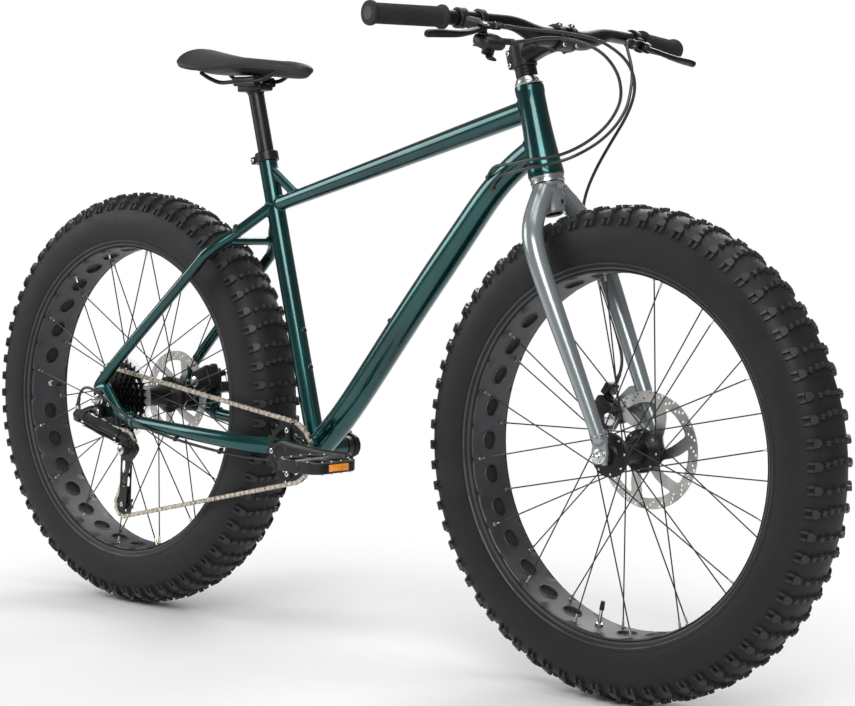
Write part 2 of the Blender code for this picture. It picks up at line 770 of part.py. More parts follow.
def seat_collar():
    """The clamp ring round the top of the seat tube, with its bolt lugs behind."""
    top = SEAT_TUBE_LENGTH + 0.0015
    behind = -(SEAT_TUBE_RADIUS + 0.0080)
    bore = (SEAT_TUBE_RADIUS + GAP) / math.cos(math.pi / 14)
    ring = rod(seat_point(top - 0.016), seat_point(top), SEAT_TUBE_RADIUS + 0.0042, sides=14)
    lug = block((0.022, 0.013, 0.012), facing(seat_point(top - 0.008, behind), SEAT_UP))
    hole = rod(seat_point(top - 0.03), seat_point(top + 0.01), bore, sides=14)
    return shaped(ring, join=[lug], cut=[hole])


def hanger():
    """The black insert outside the right dropout, with the derailleur's ear below it."""
    depth = 0.004
    y = -(REAR_DROPOUT_WIDTH / 2 + DROPOUT_THICKNESS + GAP + depth / 2)
    outline = [
        (-0.016, 0.014),
        (-0.003, 0.026),
        (0.002, 0.022),
        (0.016, 0.001),
        (0.029, -0.014),
        (0.020, -0.031),
        (-0.002, -0.034),
        (-0.012, -0.020),
    ]
    loops = [outline, circle((0, 0), REAR_AXLE_RADIUS + GAP * 2, 12)]
    return side_plate([[(REAR_HUB.x + x, REAR_HUB.z + z) for x, z in loop] for loop in loops], depth, y)


def bottom_bracket():
    """The cartridge that carries the crank spindle, with a flanged cup at each end."""
    half = BB_SHELL_WIDTH / 2
    cup = half + GAP + 0.005
    profile = [
        (0.0105, cup),
        (0.0210, cup),
        (0.0210, half + GAP),
        (CARTRIDGE_RADIUS, half + GAP),
        (CARTRIDGE_RADIUS, -half - GAP),
        (0.0210, -half - GAP),
        (0.0210, -cup),
        (0.0105, -cup),
    ]
    return turned(profile, BOTTOM_BRACKET, ACROSS, 12, ring=True, across=Vector((1, 0, 0)))


def headset_ring(low, high, low_radius, high_radius, bore):
    """A turned ring on the steering axis."""
    profile = [(bore, high - low), (high_radius, high - low), (low_radius, 0), (bore, 0)]
    return turned(profile, head_point(low), HEAD_UP, 16, ring=True)


# Seat


def seatpost():
    """The straight post, ending in the lower half of the rail clamp."""
    top = SEAT_TUBE_LENGTH + 0.122
    post = rod(seat_point(SEAT_TUBE_LENGTH - 0.230), seat_point(top), SEATPOST_RADIUS, sides=14)
    cradle = seat_point(top - 0.0042)
    head = block((0.056, 0.034, 0.014), facing(cradle, Vector((-0.06, 0, 1))))
    return shaped(post, join=[head])


def saddle_clamp():
    """The upper half of the rail clamp, over the rails."""
    place = seat_point(SEAT_TUBE_LENGTH + 0.1359)
    return block((0.054, 0.032, 0.0052), facing(place, Vector((-0.06, 0, 1))))


def rail_route(side):
    """One saddle rail, from the shell's rear through the clamp to the nose."""
    spread = RAIL_SPREAD * side
    clamp = seat_point(SEAT_TUBE_LENGTH + 0.1290)
    offsets = [
        (-0.098, 0.016, 1.6),
        (-0.080, 0.006, 1.4),
        (-0.062, -0.0010, 1.0),
        (-0.030, -0.0005, 1.0),
        (0.0, 0.0003, 1.0),
        (0.040, 0.002, 1.0),
        (0.066, 0.012, 0.8),
        (0.084, 0.0225, 0.55),
    ]
    return [clamp + Vector((x, spread * out, z)) for x, z, out in offsets]


def saddle_rails(clearance=0.0):
    """Both rails, joined across the front as one bent rod."""
    left = rail_route(1)
    right = rail_route(-1)
    nose = (left[-1] + right[-1]) / 2 + Vector((0.010, 0, 0.0015))
    route = smooth([*left, nose, *right[::-1]], 0.030)
    for end, inward in ((0, 1), (-1, -2)):
        route[end] = route[end] + (route[end] - route[inward]).normalized() * clearance
    return tube(route, RAIL_RADIUS + clearance, sides=6)


def saddle():
    """A padded shell: wide crowned tail, slim nose and sides drawn in underneath."""
    tail = seat_point(SEAT_TUBE_LENGTH + SADDLE_HEIGHT) + Vector((-0.127, 0, 0.030))
    half, slim = SADDLE_WIDTH / 2, SADDLE_NOSE_WIDTH / 2
    stations = [
        (0.000, 0.30, 0.000, 0.020),
        (0.020, 0.78, 0.004, 0.034),
        (0.080, 0.98, 0.002, 0.040),
        (0.200, 1.00, -0.004, 0.038),
        (0.340, 0.82, -0.010, 0.033),
        (0.500, 0.36, -0.014, 0.030),
        (0.680, 0.10, -0.018, 0.029),
        (0.860, 0.00, -0.023, 0.028),
        (0.960, -0.06, -0.028, 0.023),
        (1.000, -0.35, -0.034, 0.012),
    ]
    rings = []
    for share, spread, top, depth in stations:
        reach = slim + (half - slim) * spread
        centre = tail + Vector((SADDLE_LENGTH * share, 0, top))
        ring = []
        for i in range(16):
            angle = math.tau * (i + 0.5) / 16
            across, up = math.cos(angle), math.sin(angle)
            lift = 0.0 if up < 0 else (1 - abs(across) ** 2.2) * 0.35
            tuck = 0.80 if up < -0.5 else 1.0
            y = reach * tuck * math.copysign(abs(across) ** 0.8, across)
            z = -depth * 0.34 + depth * 0.34 * (math.copysign(abs(up) ** 0.7, up) + lift * 0.4)
            droop = -0.018 * (abs(y) / half) ** 2 if up > -0.2 else -0.016 * (abs(y) / half) ** 2
            if up < 0:
                fall = math.copysign(abs(up) ** 0.7, up) * (0.55 + 0.45 * (1 - abs(across)))
                z = -depth * 0.34 + depth * 0.66 * fall
            ring.append(centre + Vector((0, y, z + droop)))
        rings.append(ring)
    return shaped(lofted(rings), cut=[saddle_rails(GAP * 1.5)])


# Fork, stem and bar


def fork_leg(side):
    """One leg: out from the crown, round the tyre and down to the axle."""
    crown = by_head(-0.0250, 0.003, 0.020 * side)
    tip = FRONT_HUB + Vector((0, (FRONT_DROPOUT_WIDTH / 2 + 0.006) * side, 0.026))
    wide = by_head(-0.0950, 0.0085, FORK_LEG_SPREAD * side)
    points = [
        crown,
        crown.lerp(wide, 0.35) + Vector((0, 0.002 * side, 0)),
        crown.lerp(wide, 0.75) + Vector((0, 0.004 * side, 0)),
        wide,
        wide.lerp(tip, 0.15) + Vector((0, 0.0035 * side, 0)),
        wide.lerp(tip, 0.35) + Vector((0, 0.003 * side, 0)),
        wide.lerp(tip, 0.7) + Vector((0, 0.001 * side, 0)),
        tip,
    ]
    route = smooth(points, 0.09)
    length = (tip - wide).length
    radii = []
    for point in route:
        share = min(max(1 - (point - tip).length / length, 0), 1)
        radii.append(FORK_LEG_RADIUS + (FORK_TIP_RADIUS - FORK_LEG_RADIUS) * share**1.3)
    return tube(route, radii, sides=10)


def fork_dropout(side):
    """The plate at the foot of a leg, slotted from below for the axle."""
    y = (FRONT_DROPOUT_WIDTH / 2 + 0.003) * side
    outline = [
        (-0.012, 0.040),
        (0.010, 0.040),
        (0.013, 0.010),
        (0.012, -0.012),
        (-0.012, -0.012),
        (-0.013, 0.010),
    ]
    slot = axle_slot((FRONT_AXLE_RADIUS + GAP) * 1.05, 0.03)
    loops = [[(FRONT_HUB.x + x, FRONT_HUB.z + z) for x, z in loop] for loop in (outline, slot)]
    return side_plate([loops[0]], 0.006, y), side_plate([loops[1]], 0.02, y)


def front_caliper_tab():
    """The bracket on the left leg that the front caliper is bolted to."""
    outline = [
        (-0.008, 0.030),
        (-0.045, 0.034),
        (-0.052, 0.050),
        (-0.078, 0.056),
        (-0.074, 0.072),
        (-0.050, 0.094),
        (-0.030, 0.092),
    ]
    loop = [(FRONT_HUB.x + x, FRONT_HUB.z + z) for x, z in outline]
    return side_plate([loop], 0.006, FRONT_DROPOUT_WIDTH / 2 + 0.004)


def fork():
    """Steerer, short crown, two bent legs and their dropouts."""
    top = head_point(steering_stack()["stem_top"] - 0.002)
    steerer = rod(by_head(-0.030), top, STEERER_RADIUS, sides=12)
    profile = [
        (0, 0.048),
        (0.0255, 0.048),
        (0.0255, 0.043),
        (0.0200, 0.036),
        (0.0190, 0.004),
        (0.0180, 0.0),
        (0, 0),
    ]
    crown = turned(profile, by_head(-0.0605), HEAD_UP, 14)
    pieces = [crown, front_caliper_tab()]
    cuts = [rod(by_head(-0.045), by_head(-0.045, 0.05), 0.0033, sides=8)]
    for side in (-1, 1):
        pieces.append(fork_leg(side))
        body, slot = fork_dropout(side)
        pieces.append(body)
        cuts.append(slot)
    return shaped(steerer, join=pieces, cut=cuts)


def steering_stack():
    """Heights of the headset, spacer and stem up the steering axis."""
    head_top = AXLE_TO_HEAD + HEAD_TUBE_LENGTH
    cone_top = head_top + GAP + 0.0142
    spacer_top = cone_top + GAP + 0.0155
    stem_low = spacer_top + GAP
    stem_top = stem_low + STEM_HEIGHT
    return {
        "head_top": head_top,
        "cone_top": cone_top,
        "spacer_top": spacer_top,
        "stem_low": stem_low,
        "stem_top": stem_top,
    }


def bar_centre():
    """The middle of the handlebar, held at the stem's front."""
    return head_point(steering_stack()["stem_low"] + 0.0225, STEM_LENGTH)


def stem():
    """Steerer clamp, short neck and the rear half of the bar clamp."""
    stack = steering_stack()
    low, high = stack["stem_low"], stack["stem_top"]
    clamp = rod(head_point(low), head_point(high), STEERER_RADIUS + 0.0052, sides=14)
    centre = bar_centre()
    neck_start = head_point((low + high) / 2, 0.010)
    neck_end = centre - HEAD_FORWARD * 0.014
    route = [neck_start, neck_start.lerp(neck_end, 0.5), neck_end]
    neck = oval_tube(route, [0.0165, 0.0150, 0.0180], [0.0150, 0.0135, 0.0160], 8, squareness=0.7)
    half = 0.0215
    seat = rod(centre - ACROSS * half, centre + ACROSS * half, BAR_CLAMP_RADIUS + 0.0048, sides=14)
    behind = head_point((low + high) / 2, -(STEERER_RADIUS + 0.0075))
    lugs = block((0.018, 0.012, 0.030), facing(behind, HEAD_UP))
    front = block((0.060, 0.05, 0.060), facing(centre + HEAD_FORWARD * (0.025 + 0.0006), HEAD_UP))
    bar_bore = (BAR_CLAMP_RADIUS + GAP) / math.cos(math.pi / 14)
    steerer_bore = (STEERER_RADIUS + GAP) / math.cos(math.pi / 12)
    cuts = [
        front,
        rod(centre - ACROSS * 0.05, centre + ACROSS * 0.05, bar_bore, sides=14),
        rod(head_point(low - 0.01), head_point(high + 0.01), steerer_bore, sides=12),
        block((0.0020, 0.022, 0.060), facing(behind - HEAD_FORWARD * 0.004, HEAD_UP)),
    ]
    return shaped(clamp, join=[neck, seat, lugs], cut=cuts)


def stem_faceplate():
    """The front half of the bar clamp, with a window between its bolts."""
    centre = bar_centre()
    half = 0.0215
    shell = rod(centre - ACROSS * half, centre + ACROSS * half, BAR_CLAMP_RADIUS + 0.0048, sides=14)
    back = block((0.060, 0.05, 0.060), facing(centre - HEAD_FORWARD * (0.025 - 0.0012), HEAD_UP))
    window = block((0.020, 0.03, 0.018), facing(centre + HEAD_FORWARD * 0.018, HEAD_UP))
    bolts = []
    for up in (-1, 1):
        for side in (-1, 1):
            foot = centre + HEAD_UP * (0.0158 * up) + ACROSS * (0.0155 * side)
            bolts.append(rod(foot + HEAD_FORWARD * 0.004, foot + HEAD_FORWARD * 0.0165, 0.0038, sides=6))
    bar_bore = (BAR_CLAMP_RADIUS + GAP) / math.cos(math.pi / 14)
    cuts = [window, rod(centre - ACROSS * 0.05, centre + ACROSS * 0.05, bar_bore, sides=14)]
    body = shaped(shell, cut=[back])
    return shaped(body, join=bolts, cut=cuts)


def bar_point(y):
    """A point on the handlebar's middle line: straight, then risen and swept back."""
    centre = bar_centre()
    away = abs(y)
    rise = BAR_RISE * smoothstep((away - 0.045) / 0.085)
    bend, end = 0.105, BAR_HALF_WIDTH
    sweep = BAR_SWEEP * max(away - bend, 0) / (end - bend)
    drop = 0.005 * max(away - 0.20, 0) / (end - 0.20)
    return Vector((centre.x - sweep, y, centre.z + rise - drop))


def smoothstep(t):
    """A smooth rise from 0 to 1."""
    t = min(max(t, 0), 1)
    return t * t * (3 - 2 * t)


def bar_direction(y):
    """The handlebar's direction at y, pointing away from the stem."""
    step = math.copysign(0.004, y)
    return (bar_point(y + step) - bar_point(y - step)).normalized()


def handlebar():
    """The bar, thick in the clamp and tapering to the grips."""
    places = [0.0, 0.030, 0.055, 0.085, 0.110, 0.135, 0.200, BAR_HALF_WIDTH - 0.001]
    right = [(-y, bar_radius(y)) for y in places[:0:-1]]
    stations = right + [(y, bar_radius(y)) for y in places]
    return tube([bar_point(y) for y, _ in stations], [radius for _, radius in stations], sides=10)


def bar_radius(y):
    """The bar's radius at a distance from its middle."""
    return BAR_CLAMP_RADIUS + (BAR_GRIP_RADIUS - BAR_CLAMP_RADIUS) * smoothstep((y - 0.045) / 0.085)


def grip(side):
    """A ribbed grip with a flange at each end, closed over the bar's end."""
    outer = BAR_HALF_WIDTH * side
    inner = (BAR_HALF_WIDTH - GRIP_LENGTH) * side
    start, end = bar_point(inner), bar_point(outer)
    direction = (end - start).normalized()
    length = (end - start).length
    bore = (BAR_GRIP_RADIUS + GAP) / math.cos(math.pi / 12) + 0.0002
    stop = (bar_point(BAR_HALF_WIDTH * side - 0.001 * side) - start).length + GAP
    profile = [
        (0, length + 0.0030),
        (GRIP_RADIUS + 0.0030, length + 0.0030),
        (GRIP_RADIUS + 0.0035, length - 0.004),
        (GRIP_RADIUS - 0.0005, length - 0.006),
        (GRIP_RADIUS, 0.012),
        (GRIP_RADIUS + 0.0035, 0.009),
        (GRIP_RADIUS + 0.0030, 0),
        (bore, 0),
        (bore, stop),
        (0, stop),
    ]
    return turned(profile, start, direction, 12)


def lever_frame(side):
    """Where a brake lever sits: its clamp on the bar, its pivot and its pivot's axis."""
    y = LEVER_PLACE * side
    clamp = bar_point(y)
    along = bar_direction(y)
    ahead = Vector((0.905, 0, -0.425))
    ahead = (ahead - along * ahead.dot(along)).normalized()
    hinge = clamp + ahead * LEVER_REACH - along * 0.018
    axis = ahead.cross(along).normalized() * -side
    return clamp, along, ahead, hinge, axis


def lever_clamp(side):
    """The lever's band round the bar, its body and the cable's barrel."""
    clamp, along, ahead, hinge, axis = lever_frame(side)
    band = rod(clamp - along * 0.0075, clamp + along * 0.0075, BAR_GRIP_RADIUS + 0.0045, sides=12)
    neck_start = clamp + ahead * 0.008 - along * 0.001
    neck_end = hinge + ahead * 0.0050
    neck = oval_tube([neck_start, neck_end], [0.0078, 0.0082], [0.0085, 0.0095], 8, along, 0.8)
    barrel_foot = hinge - ahead * 0.0125 - along * 0.002
    barrel = rod(barrel_foot, barrel_foot - along * 0.044, 0.0060, sides=8)
    slot = block((0.040, 0.030, 0.0092), facing(hinge + along * 0.0185 + ahead * 0.006, axis, along))
    eye = rod(hinge - axis * 0.0046, hinge + axis * 0.0046, 0.0086, sides=8)
    bore = (BAR_GRIP_RADIUS + GAP) / math.cos(math.pi / 12) + 0.0003
    bar_hole = rod(clamp - along * 0.02, clamp + along * 0.02, bore, sides=12, across=HEAD_UP)
    return shaped(band, join=[neck, barrel], cut=[slot, eye, bar_hole])


def brake_blade(side):
    """A two-finger blade, curving out from its pivot in front of the grip."""
    _, along, ahead, hinge, axis = lever_frame(side)
    half = 0.0043
    eye = rod(hinge - axis * half, hinge + axis * half, 0.0062, sides=8)
    offsets = [(0.003, 0.002), (0.020, 0.008), (0.042, 0.019), (0.065, 0.027), (0.112, 0.030), (0.128, 0.034)]
    route = [hinge + along * out + ahead * lead for out, lead in offsets]
    deep = [0.0056, 0.0062, 0.0058, 0.0052, 0.0052, 0.0046]
    thick = [0.0038, 0.0040, 0.0042, 0.0050, 0.0060, 0.0052]
    blade = oval_tube(route, deep, thick, sides=8, across=ahead)
    return shaped(eye, join=[blade])


def shifter_frame():
    """The shifter's middle and its ways along the bar, forward, down and to its barrel."""
    y = -(LEVER_PLACE - 0.036)
    centre = bar_point(y)
    along = bar_direction(y)
    core = centre + Vector((0.022, 0, -0.0340))
    forward = Vector((1, 0, -0.35))
    forward = (forward - along * forward.dot(along)).normalized()
    down = forward.cross(along).normalized()
    down = down if down.z < 0 else -down
    return core, along, forward, down, centre


def shifter_outlet():
    """The end of the shifter's barrel and the way that the housing leaves it."""
    core, along, forward, down, _ = shifter_frame()
    return core - along * (0.041 + GAP) + forward * 0.005 - down * 0.004, -along


def shifter_body():
    """The shifter's band, housing, barrel and the pin of its two levers."""
    core, along, forward, down, centre = shifter_frame()
    band = rod(centre - along * 0.0055, centre + along * 0.0055, BAR_GRIP_RADIUS + 0.0047, sides=12)
    route = [core + along * 0.024, core + along * 0.018, core - along * 0.012, core - along * 0.022]
    deep = [0.0110, 0.0185, 0.0180, 0.0100]
    tall = [0.0060, 0.0100, 0.0100, 0.0065]
    housing_body = oval_tube(route, deep, tall, 10, forward, 0.75)
    neck = rod(centre + Vector((0.003, 0, -0.010)), core - Vector((0.009, 0, 0)), 0.0068, sides=8)
    outlet, way = shifter_outlet()
    end = outlet - way * GAP
    barrel = rod(end - way * 0.024, end, 0.0048, sides=8)
    pin = rod(core + down * 0.006, core + down * 0.0208, 0.0025, sides=8)
    bore = (BAR_GRIP_RADIUS + GAP) / math.cos(math.pi / 12) + 0.0005
    bar_hole = rod(centre - along * 0.02, centre + along * 0.02, bore, sides=12, across=HEAD_UP)
    return shaped(band, join=[neck, housing_body, barrel, pin], cut=[bar_hole])


def lever_paddle(n_depth, reach, sweep, ahead):
    """A shifter lever under the housing: a disc on its pivot and a paddle reaching away."""
    core, along, forward, down, _ = shifter_frame()
    middle = core + down * n_depth
    half = 0.0018
    disc = rod(middle - down * half, middle + down * half, 0.0095, sides=10)
    lead = forward * ahead
    route = [
        middle + lead * 0.004,
        middle + lead * (reach - 0.008) + along * sweep * 0.8 + down * 0.001,
        middle + lead * reach + along * sweep + down * 0.003,
    ]
    paddle = oval_tube(route, [0.0066, 0.0080, 0.0066], [0.0016, 0.0021, 0.0017], sides=6, across=along)
    hole = rod(middle - down * 0.02, middle + down * 0.02, 0.0029, sides=8)
    return shaped(disc, join=[paddle], cut=[hole])


# Drive


def pitch_radius(teeth):
    """The radius on which the chain's pins lie round a sprocket."""
    return teeth * CHAIN_PITCH / math.tau


def derailleur_points():
    """Fixed places of the rear derailleur at rest."""
    bolt = REAR_HUB + Vector((0.0075, 0, -0.020))
    upper = REAR_HUB + Vector((-0.0065, -0.127, -0.035))
    link = Vector((0.055, 0.027, -0.027))
    pin_axis = Vector((0, 1, 1)).normalized()
    across = pin_axis.cross(link.normalized())
    lower = upper + link
    cage = lower + Vector((0.012, 0, -0.023))
    guide = REAR_HUB + Vector((0.030, COG_Y, -6.102 * CHAIN_PITCH))
    tension = REAR_HUB + Vector((0.0275, COG_Y, -14.803 * CHAIN_PITCH))
    return {
        "bolt": bolt,
        "upper": upper,
        "lower": lower,
        "link": link,
        "pin_axis": pin_axis,
        "across": across,
        "cage": Vector((cage.x, COG_Y, cage.z)),
        "guide": guide,
        "tension": tension,
    }


def chain_wheels():
    """The four wheels that the chain runs round, with the sense in which each turns."""
    places = derailleur_points()
    ring = Vector((BOTTOM_BRACKET.x, CHAINRING_Y, BOTTOM_BRACKET.z))
    cog = Vector((REAR_HUB.x, COG_Y, REAR_HUB.z))
    return [
        (ring, CHAINRING_TEETH, -1),
        (places["tension"], PULLEY_TEETH, -1),
        (places["guide"], PULLEY_TEETH, 1),
        (cog, COG_TEETH[COG_IN_USE], -1),
    ]


def tangent(first, second):
    """Where a straight run leaves one wheel and meets the next, as (x, z) vectors."""
    (centre, teeth, sense), (other, other_teeth, other_sense) = first, second
    start = Vector((centre.x, centre.z))
    end = Vector((other.x, other.z))
    apart = end - start
    k = sense * pitch_radius(teeth) - other_sense * pitch_radius(other_teeth)
    turn = math.asin(k / apart.length)
    heading = apart.normalized()
    run = Vector(
        (
            heading.x * math.cos(turn) - heading.y * math.sin(turn),
            heading.x * math.sin(turn) + heading.y * math.cos(turn),
        )
    )
    out = Vector((run.y, -run.x))
    return (
        start + out * (sense * pitch_radius(teeth)),
        end + out * (other_sense * pitch_radius(other_teeth)),
    )


def chain_pins():
    """Each pin's (x, z) place and wheel sense, and which pins the band bends at."""
    wheels = chain_wheels()
    count = len(wheels)
    runs = [tangent(wheels[i], wheels[(i + 1) % count]) for i in range(count)]
    arcs = []
    for i, (centre, teeth, sense) in enumerate(wheels):
        middle = Vector((centre.x, centre.z))
        arrive = runs[i - 1][1] - middle
        leave = runs[i][0] - middle
        start = math.atan2(arrive.y, arrive.x)
        arc = (sense * (math.atan2(leave.y, leave.x) - start)) % math.tau
        step = math.tau / teeth
        whole = math.floor(arc / step + 0.000001)
        first = start + sense * (arc - whole * step) / 2
        radius = pitch_radius(teeth)
        turns = [first + sense * step * j for j in range(whole + 1)]
        arcs.append([(middle + Vector((math.cos(a), math.sin(a))) * radius, sense) for a in turns])
    pins = []
    bends = set()
    for i, arc in enumerate(arcs):
        every = 2 if wheels[i][1] > 2 * PULLEY_TEETH else 1
        places = [*range(0, len(arc) - 1, every), len(arc) - 1]
        bends.update(len(pins) + place for place in places)
        pins += arc
        last, sense = arc[-1]
        target, next_sense = arcs[(i + 1) % count][0]
        links = max(1, round((target - last).length / CHAIN_PITCH))
        for j in range(1, links):
            share = j / links
            pins.append((last.lerp(target, share), sense + (next_sense - sense) * share))
    return pins, bends


def chain_y(x):
    """The chain runs from the cog in use out to the chainring."""
    back, front = REAR_HUB.x + 0.09, BOTTOM_BRACKET.x - 0.056
    share = min(max((x - back) / (front - back), 0), 1)
    return COG_Y + (CHAINRING_Y - COG_Y) * share


def chain():
    """The chain as one closed band that bends at its pins."""
    pins, wheel_pins = chain_pins()
    count = len(pins)
    near, far = 0.0026, 0.0040
    middle = (near + far) / 2
    swing = (far - near) / 2
    rings = []
    for i, (place, sense) in enumerate(pins):
        if i not in wheel_pins:
            continue
        before = (place - pins[i - 1][0]).normalized()
        after = (pins[(i + 1) % count][0] - place).normalized()
        heading = (before + after).normalized()
        left = Vector((-heading.y, heading.x))
        rails = (place - left * (middle + swing * sense), place + left * (middle - swing * sense))
        corners = [(rails[0], -1), (rails[0], 1), (rails[1], 1), (rails[1], -1)]
        ring = []
        for flat, side in corners:
            ring.append(Vector((flat.x, chain_y(flat.x) + CHAIN_HALF_WIDTH * side, flat.y)))
        rings.append(ring)
    return lofted(rings, closed=True)


def sprocket_radius(teeth):
    """A toothless disc's radius, just clear of the chain's straight stretches."""
    step = 2 if teeth > 2 * PULLEY_TEETH else 1
    return pitch_radius(teeth) * math.cos(math.pi * step / teeth) - 0.0026 - GAP


def cassette():
    """The freewheeling body with its nine cogs."""
    end = REAR_DROPOUT_WIDTH / 2 - 0.0023
    start = LARGEST_COG_Y + COG_THICKNESS / 2 + 0.0012
    bore = REAR_AXLE_RADIUS + RUNNING_GAP
    core = 0.0140
    half = COG_THICKNESS / 2
    profile = [(bore, start)]
    for i, teeth in enumerate(COG_TEETH):
        y = LARGEST_COG_Y - i * COG_PITCH_Y
        radius = sprocket_radius(teeth) if i == COG_IN_USE else pitch_radius(teeth)
        profile += [(core, y + half), (radius, y + half), (radius, y - half), (core, y - half)]
    profile += [(core, -end), (bore, -end)]
    return turned(profile, REAR_HUB, ACROSS, 14, True, Vector((1, 0, 0)))


def chainring():
    """The ring that the chain runs on, with windows between the spider's arms."""
    arm_turn = crank_turn()
    places = [circle((0, 0), sprocket_radius(CHAINRING_TEETH), CHAINRING_TEETH), circle((0, 0), 0.0190, 12)]
    for i in range(4):
        start = arm_turn + math.pi / 2 * (i + 0.5)
        corners = [(0.0255, -0.42), (0.0400, -0.50), (0.0400, 0.50), (0.0255, 0.42)]
        places.append([(r * math.cos(start + a), r * math.sin(start + a)) for r, a in corners])
    loops = [[(BOTTOM_BRACKET.x + x, BOTTOM_BRACKET.z + z) for x, z in loop] for loop in places]
    return side_plate(loops, COG_THICKNESS, CHAINRING_Y)


def crank_turn():
    """The angle at which the right crank stands, a little above level."""
    return math.radians(1.7)


def crank_arm(side):
    """One crank arm with its boss, its eye and the pedal spindle screwed into it."""
    turn = crank_turn() if side < 0 else crank_turn() + math.pi
    out = Vector((math.cos(turn), 0, math.sin(turn)))
    end = BOTTOM_BRACKET + out * CRANK_LENGTH
    stations = [
        (-0.016, 0.0810, 0.0150, 0.0068),
        (0.004, 0.0812, 0.0222, 0.0072),
        (0.060, 0.0865, 0.0170, 0.0072),
        (0.110, 0.0970, 0.0140, 0.0070),
        (0.152, 0.1048, 0.0132, 0.0072),
        (CRANK_LENGTH + 0.0115, 0.1052, 0.0100, 0.0068),
    ]
    points = [BOTTOM_BRACKET + out * reach + ACROSS * (y * side) for reach, y, _, _ in stations]
    arm = oval_tube(points, [s[3] for s in stations], [s[2] for s in stations], sides=8, squareness=0.75)
    inner = BB_SHELL_WIDTH / 2 + 0.0128
    beside = ACROSS * side
    boss = rod(BOTTOM_BRACKET + beside * inner, BOTTOM_BRACKET + beside * CRANK_SPREAD, 0.0175, sides=12)
    tip = PEDAL_INNER + PEDAL_LENGTH - 0.006
    spindle = rod(end + beside * 0.100, end + beside * tip, PEDAL_AXLE_RADIUS, sides=8)
    collar = rod(end + beside * 0.108, end + beside * 0.1150, 0.0078, sides=8)
    bore = (0.0100 + GAP) / math.cos(math.pi / 12)
    seat = BOTTOM_BRACKET + beside * (CRANK_SPREAD - 0.006)
    recess = BOTTOM_BRACKET + beside * (CRANK_SPREAD - 0.007)
    cuts = [
        rod(BOTTOM_BRACKET, seat, bore, sides=12),
        rod(recess, BOTTOM_BRACKET + beside * 0.12, 0.0118, sides=12),
    ]
    pieces = [boss, spindle, collar]
    if side < 0:
        y = CHAINRING_Y - COG_THICKNESS / 2 - GAP - 0.0022
        for i in range(4):
            angle = turn + math.pi / 2 * i
            away = Vector((math.cos(angle), 0, math.sin(angle)))
            start = Vector((BOTTOM_BRACKET.x, y, BOTTOM_BRACKET.z)) + away * 0.010
            finish_point = start + away * 0.0290
            pieces.append(block((0.0044, 0.0125, 0.0300), facing((start + finish_point) / 2, away)))
    return shaped(arm, join=pieces, cut=cuts)


def crank_spindle():
    """The spindle through the bottom bracket, with a bolt at each end."""
    end = CRANK_SPREAD - 0.0072
    profile = [
        (0, end + 0.0040),
        (0.0095, end + 0.0040),
        (0.0100, end),
    ]
    profile += [(r, -y) for r, y in profile[::-1]]
    return turned(profile, BOTTOM_BRACKET, ACROSS, 12, across=Vector((1, 0, 0)))


def pedal_centre(side):
    """The end of one crank arm."""
    turn = crank_turn() if side < 0 else crank_turn() + math.pi
    return BOTTOM_BRACKET + Vector((math.cos(turn), 0, math.sin(turn))) * CRANK_LENGTH


def pedal(side):
    """A platform pedal with open windows round its barrel."""
    centre = pedal_centre(side)
    middle = (PEDAL_INNER + PEDAL_LENGTH / 2) * side
    half_x, half_y = PEDAL_WIDTH / 2, PEDAL_LENGTH / 2
    cut_in = 0.014
    outline = [
        (half_x, half_y - cut_in),
        (half_x - 0.012, half_y),
        (cut_in - half_x, half_y),
        (-half_x, half_y - cut_in),
        (-half_x, cut_in - half_y),
        (cut_in - half_x, -half_y),
        (half_x - 0.012, -half_y),
        (half_x, cut_in - half_y),
    ]
    loops = [outline]
    for way in (-1, 1):
        inner, outer = 0.0130 * way, (half_x - 0.0095) * way
        low, high = 0.011 - half_y, half_y - 0.011
        mid = 0.0024 + 0.0003 * way
        loops.append([(inner, low), (outer, low + 0.006), (outer, -mid), (inner, -mid)])
        loops.append([(inner, mid), (outer, mid), (outer, high - 0.006), (inner, high)])
    spot = Vector((centre.x, middle, centre.z))
    body = plate(loops, PEDAL_HEIGHT * 0.82, spot, Vector((0, 0, 1)), Vector((1, 0, 0)))
    start = Vector((centre.x, 0.1155 * side, centre.z))
    end = Vector((centre.x, (PEDAL_INNER + PEDAL_LENGTH + 0.0015) * side, centre.z))
    barrel = rod(start, end, 0.0108, sides=8)
    bore_end = PEDAL_INNER + PEDAL_LENGTH - 0.004
    bore = rod(
        Vector((centre.x, 0.10 * side, centre.z)),
        Vector((centre.x, bore_end * side, centre.z)),
        PEDAL_AXLE_RADIUS + RUNNING_GAP,
        sides=8,
    )
    return shaped(body, join=[barrel], cut=[bore])


# Rear derailleur


def link_placing(origin, places):
    """Local X along the links, local Y from the outer to the inner one, local Z along their pins."""
    along = places["link"].normalized()
    turn = Matrix((along, places["across"], places["pin_axis"])).transposed()
    return Matrix.Translation(origin) @ turn.to_4x4()


def parallel_link(offset):
    """One side of the parallelogram: a bar with a fork at each end."""
    places = derailleur_points()
    length = places["link"].length
    radius = 0.0052
    turns = [math.radians(90 + 45 * i) for i in range(5)]
    outline = [(radius * math.cos(a), radius * math.sin(a)) for a in turns]
    outline += [(length - x, -y) for x, y in outline]
    loops = [outline, circle((0, 0), 0.0024, 6), circle((length, 0), 0.0024, 6)]
    bar = plate(loops, 0.018, Vector(), Vector((0, 0, 1)), Vector((1, 0, 0)))
    forks = []
    for middle in (0.0, length):
        forks.append(block((0.0150, 0.020, 0.0126), Vector((middle, 0, 0))))
    bar = shaped(bar, cut=forks)
    bar.transform(link_placing(places["upper"] + places["across"] * offset, places))
    return bar


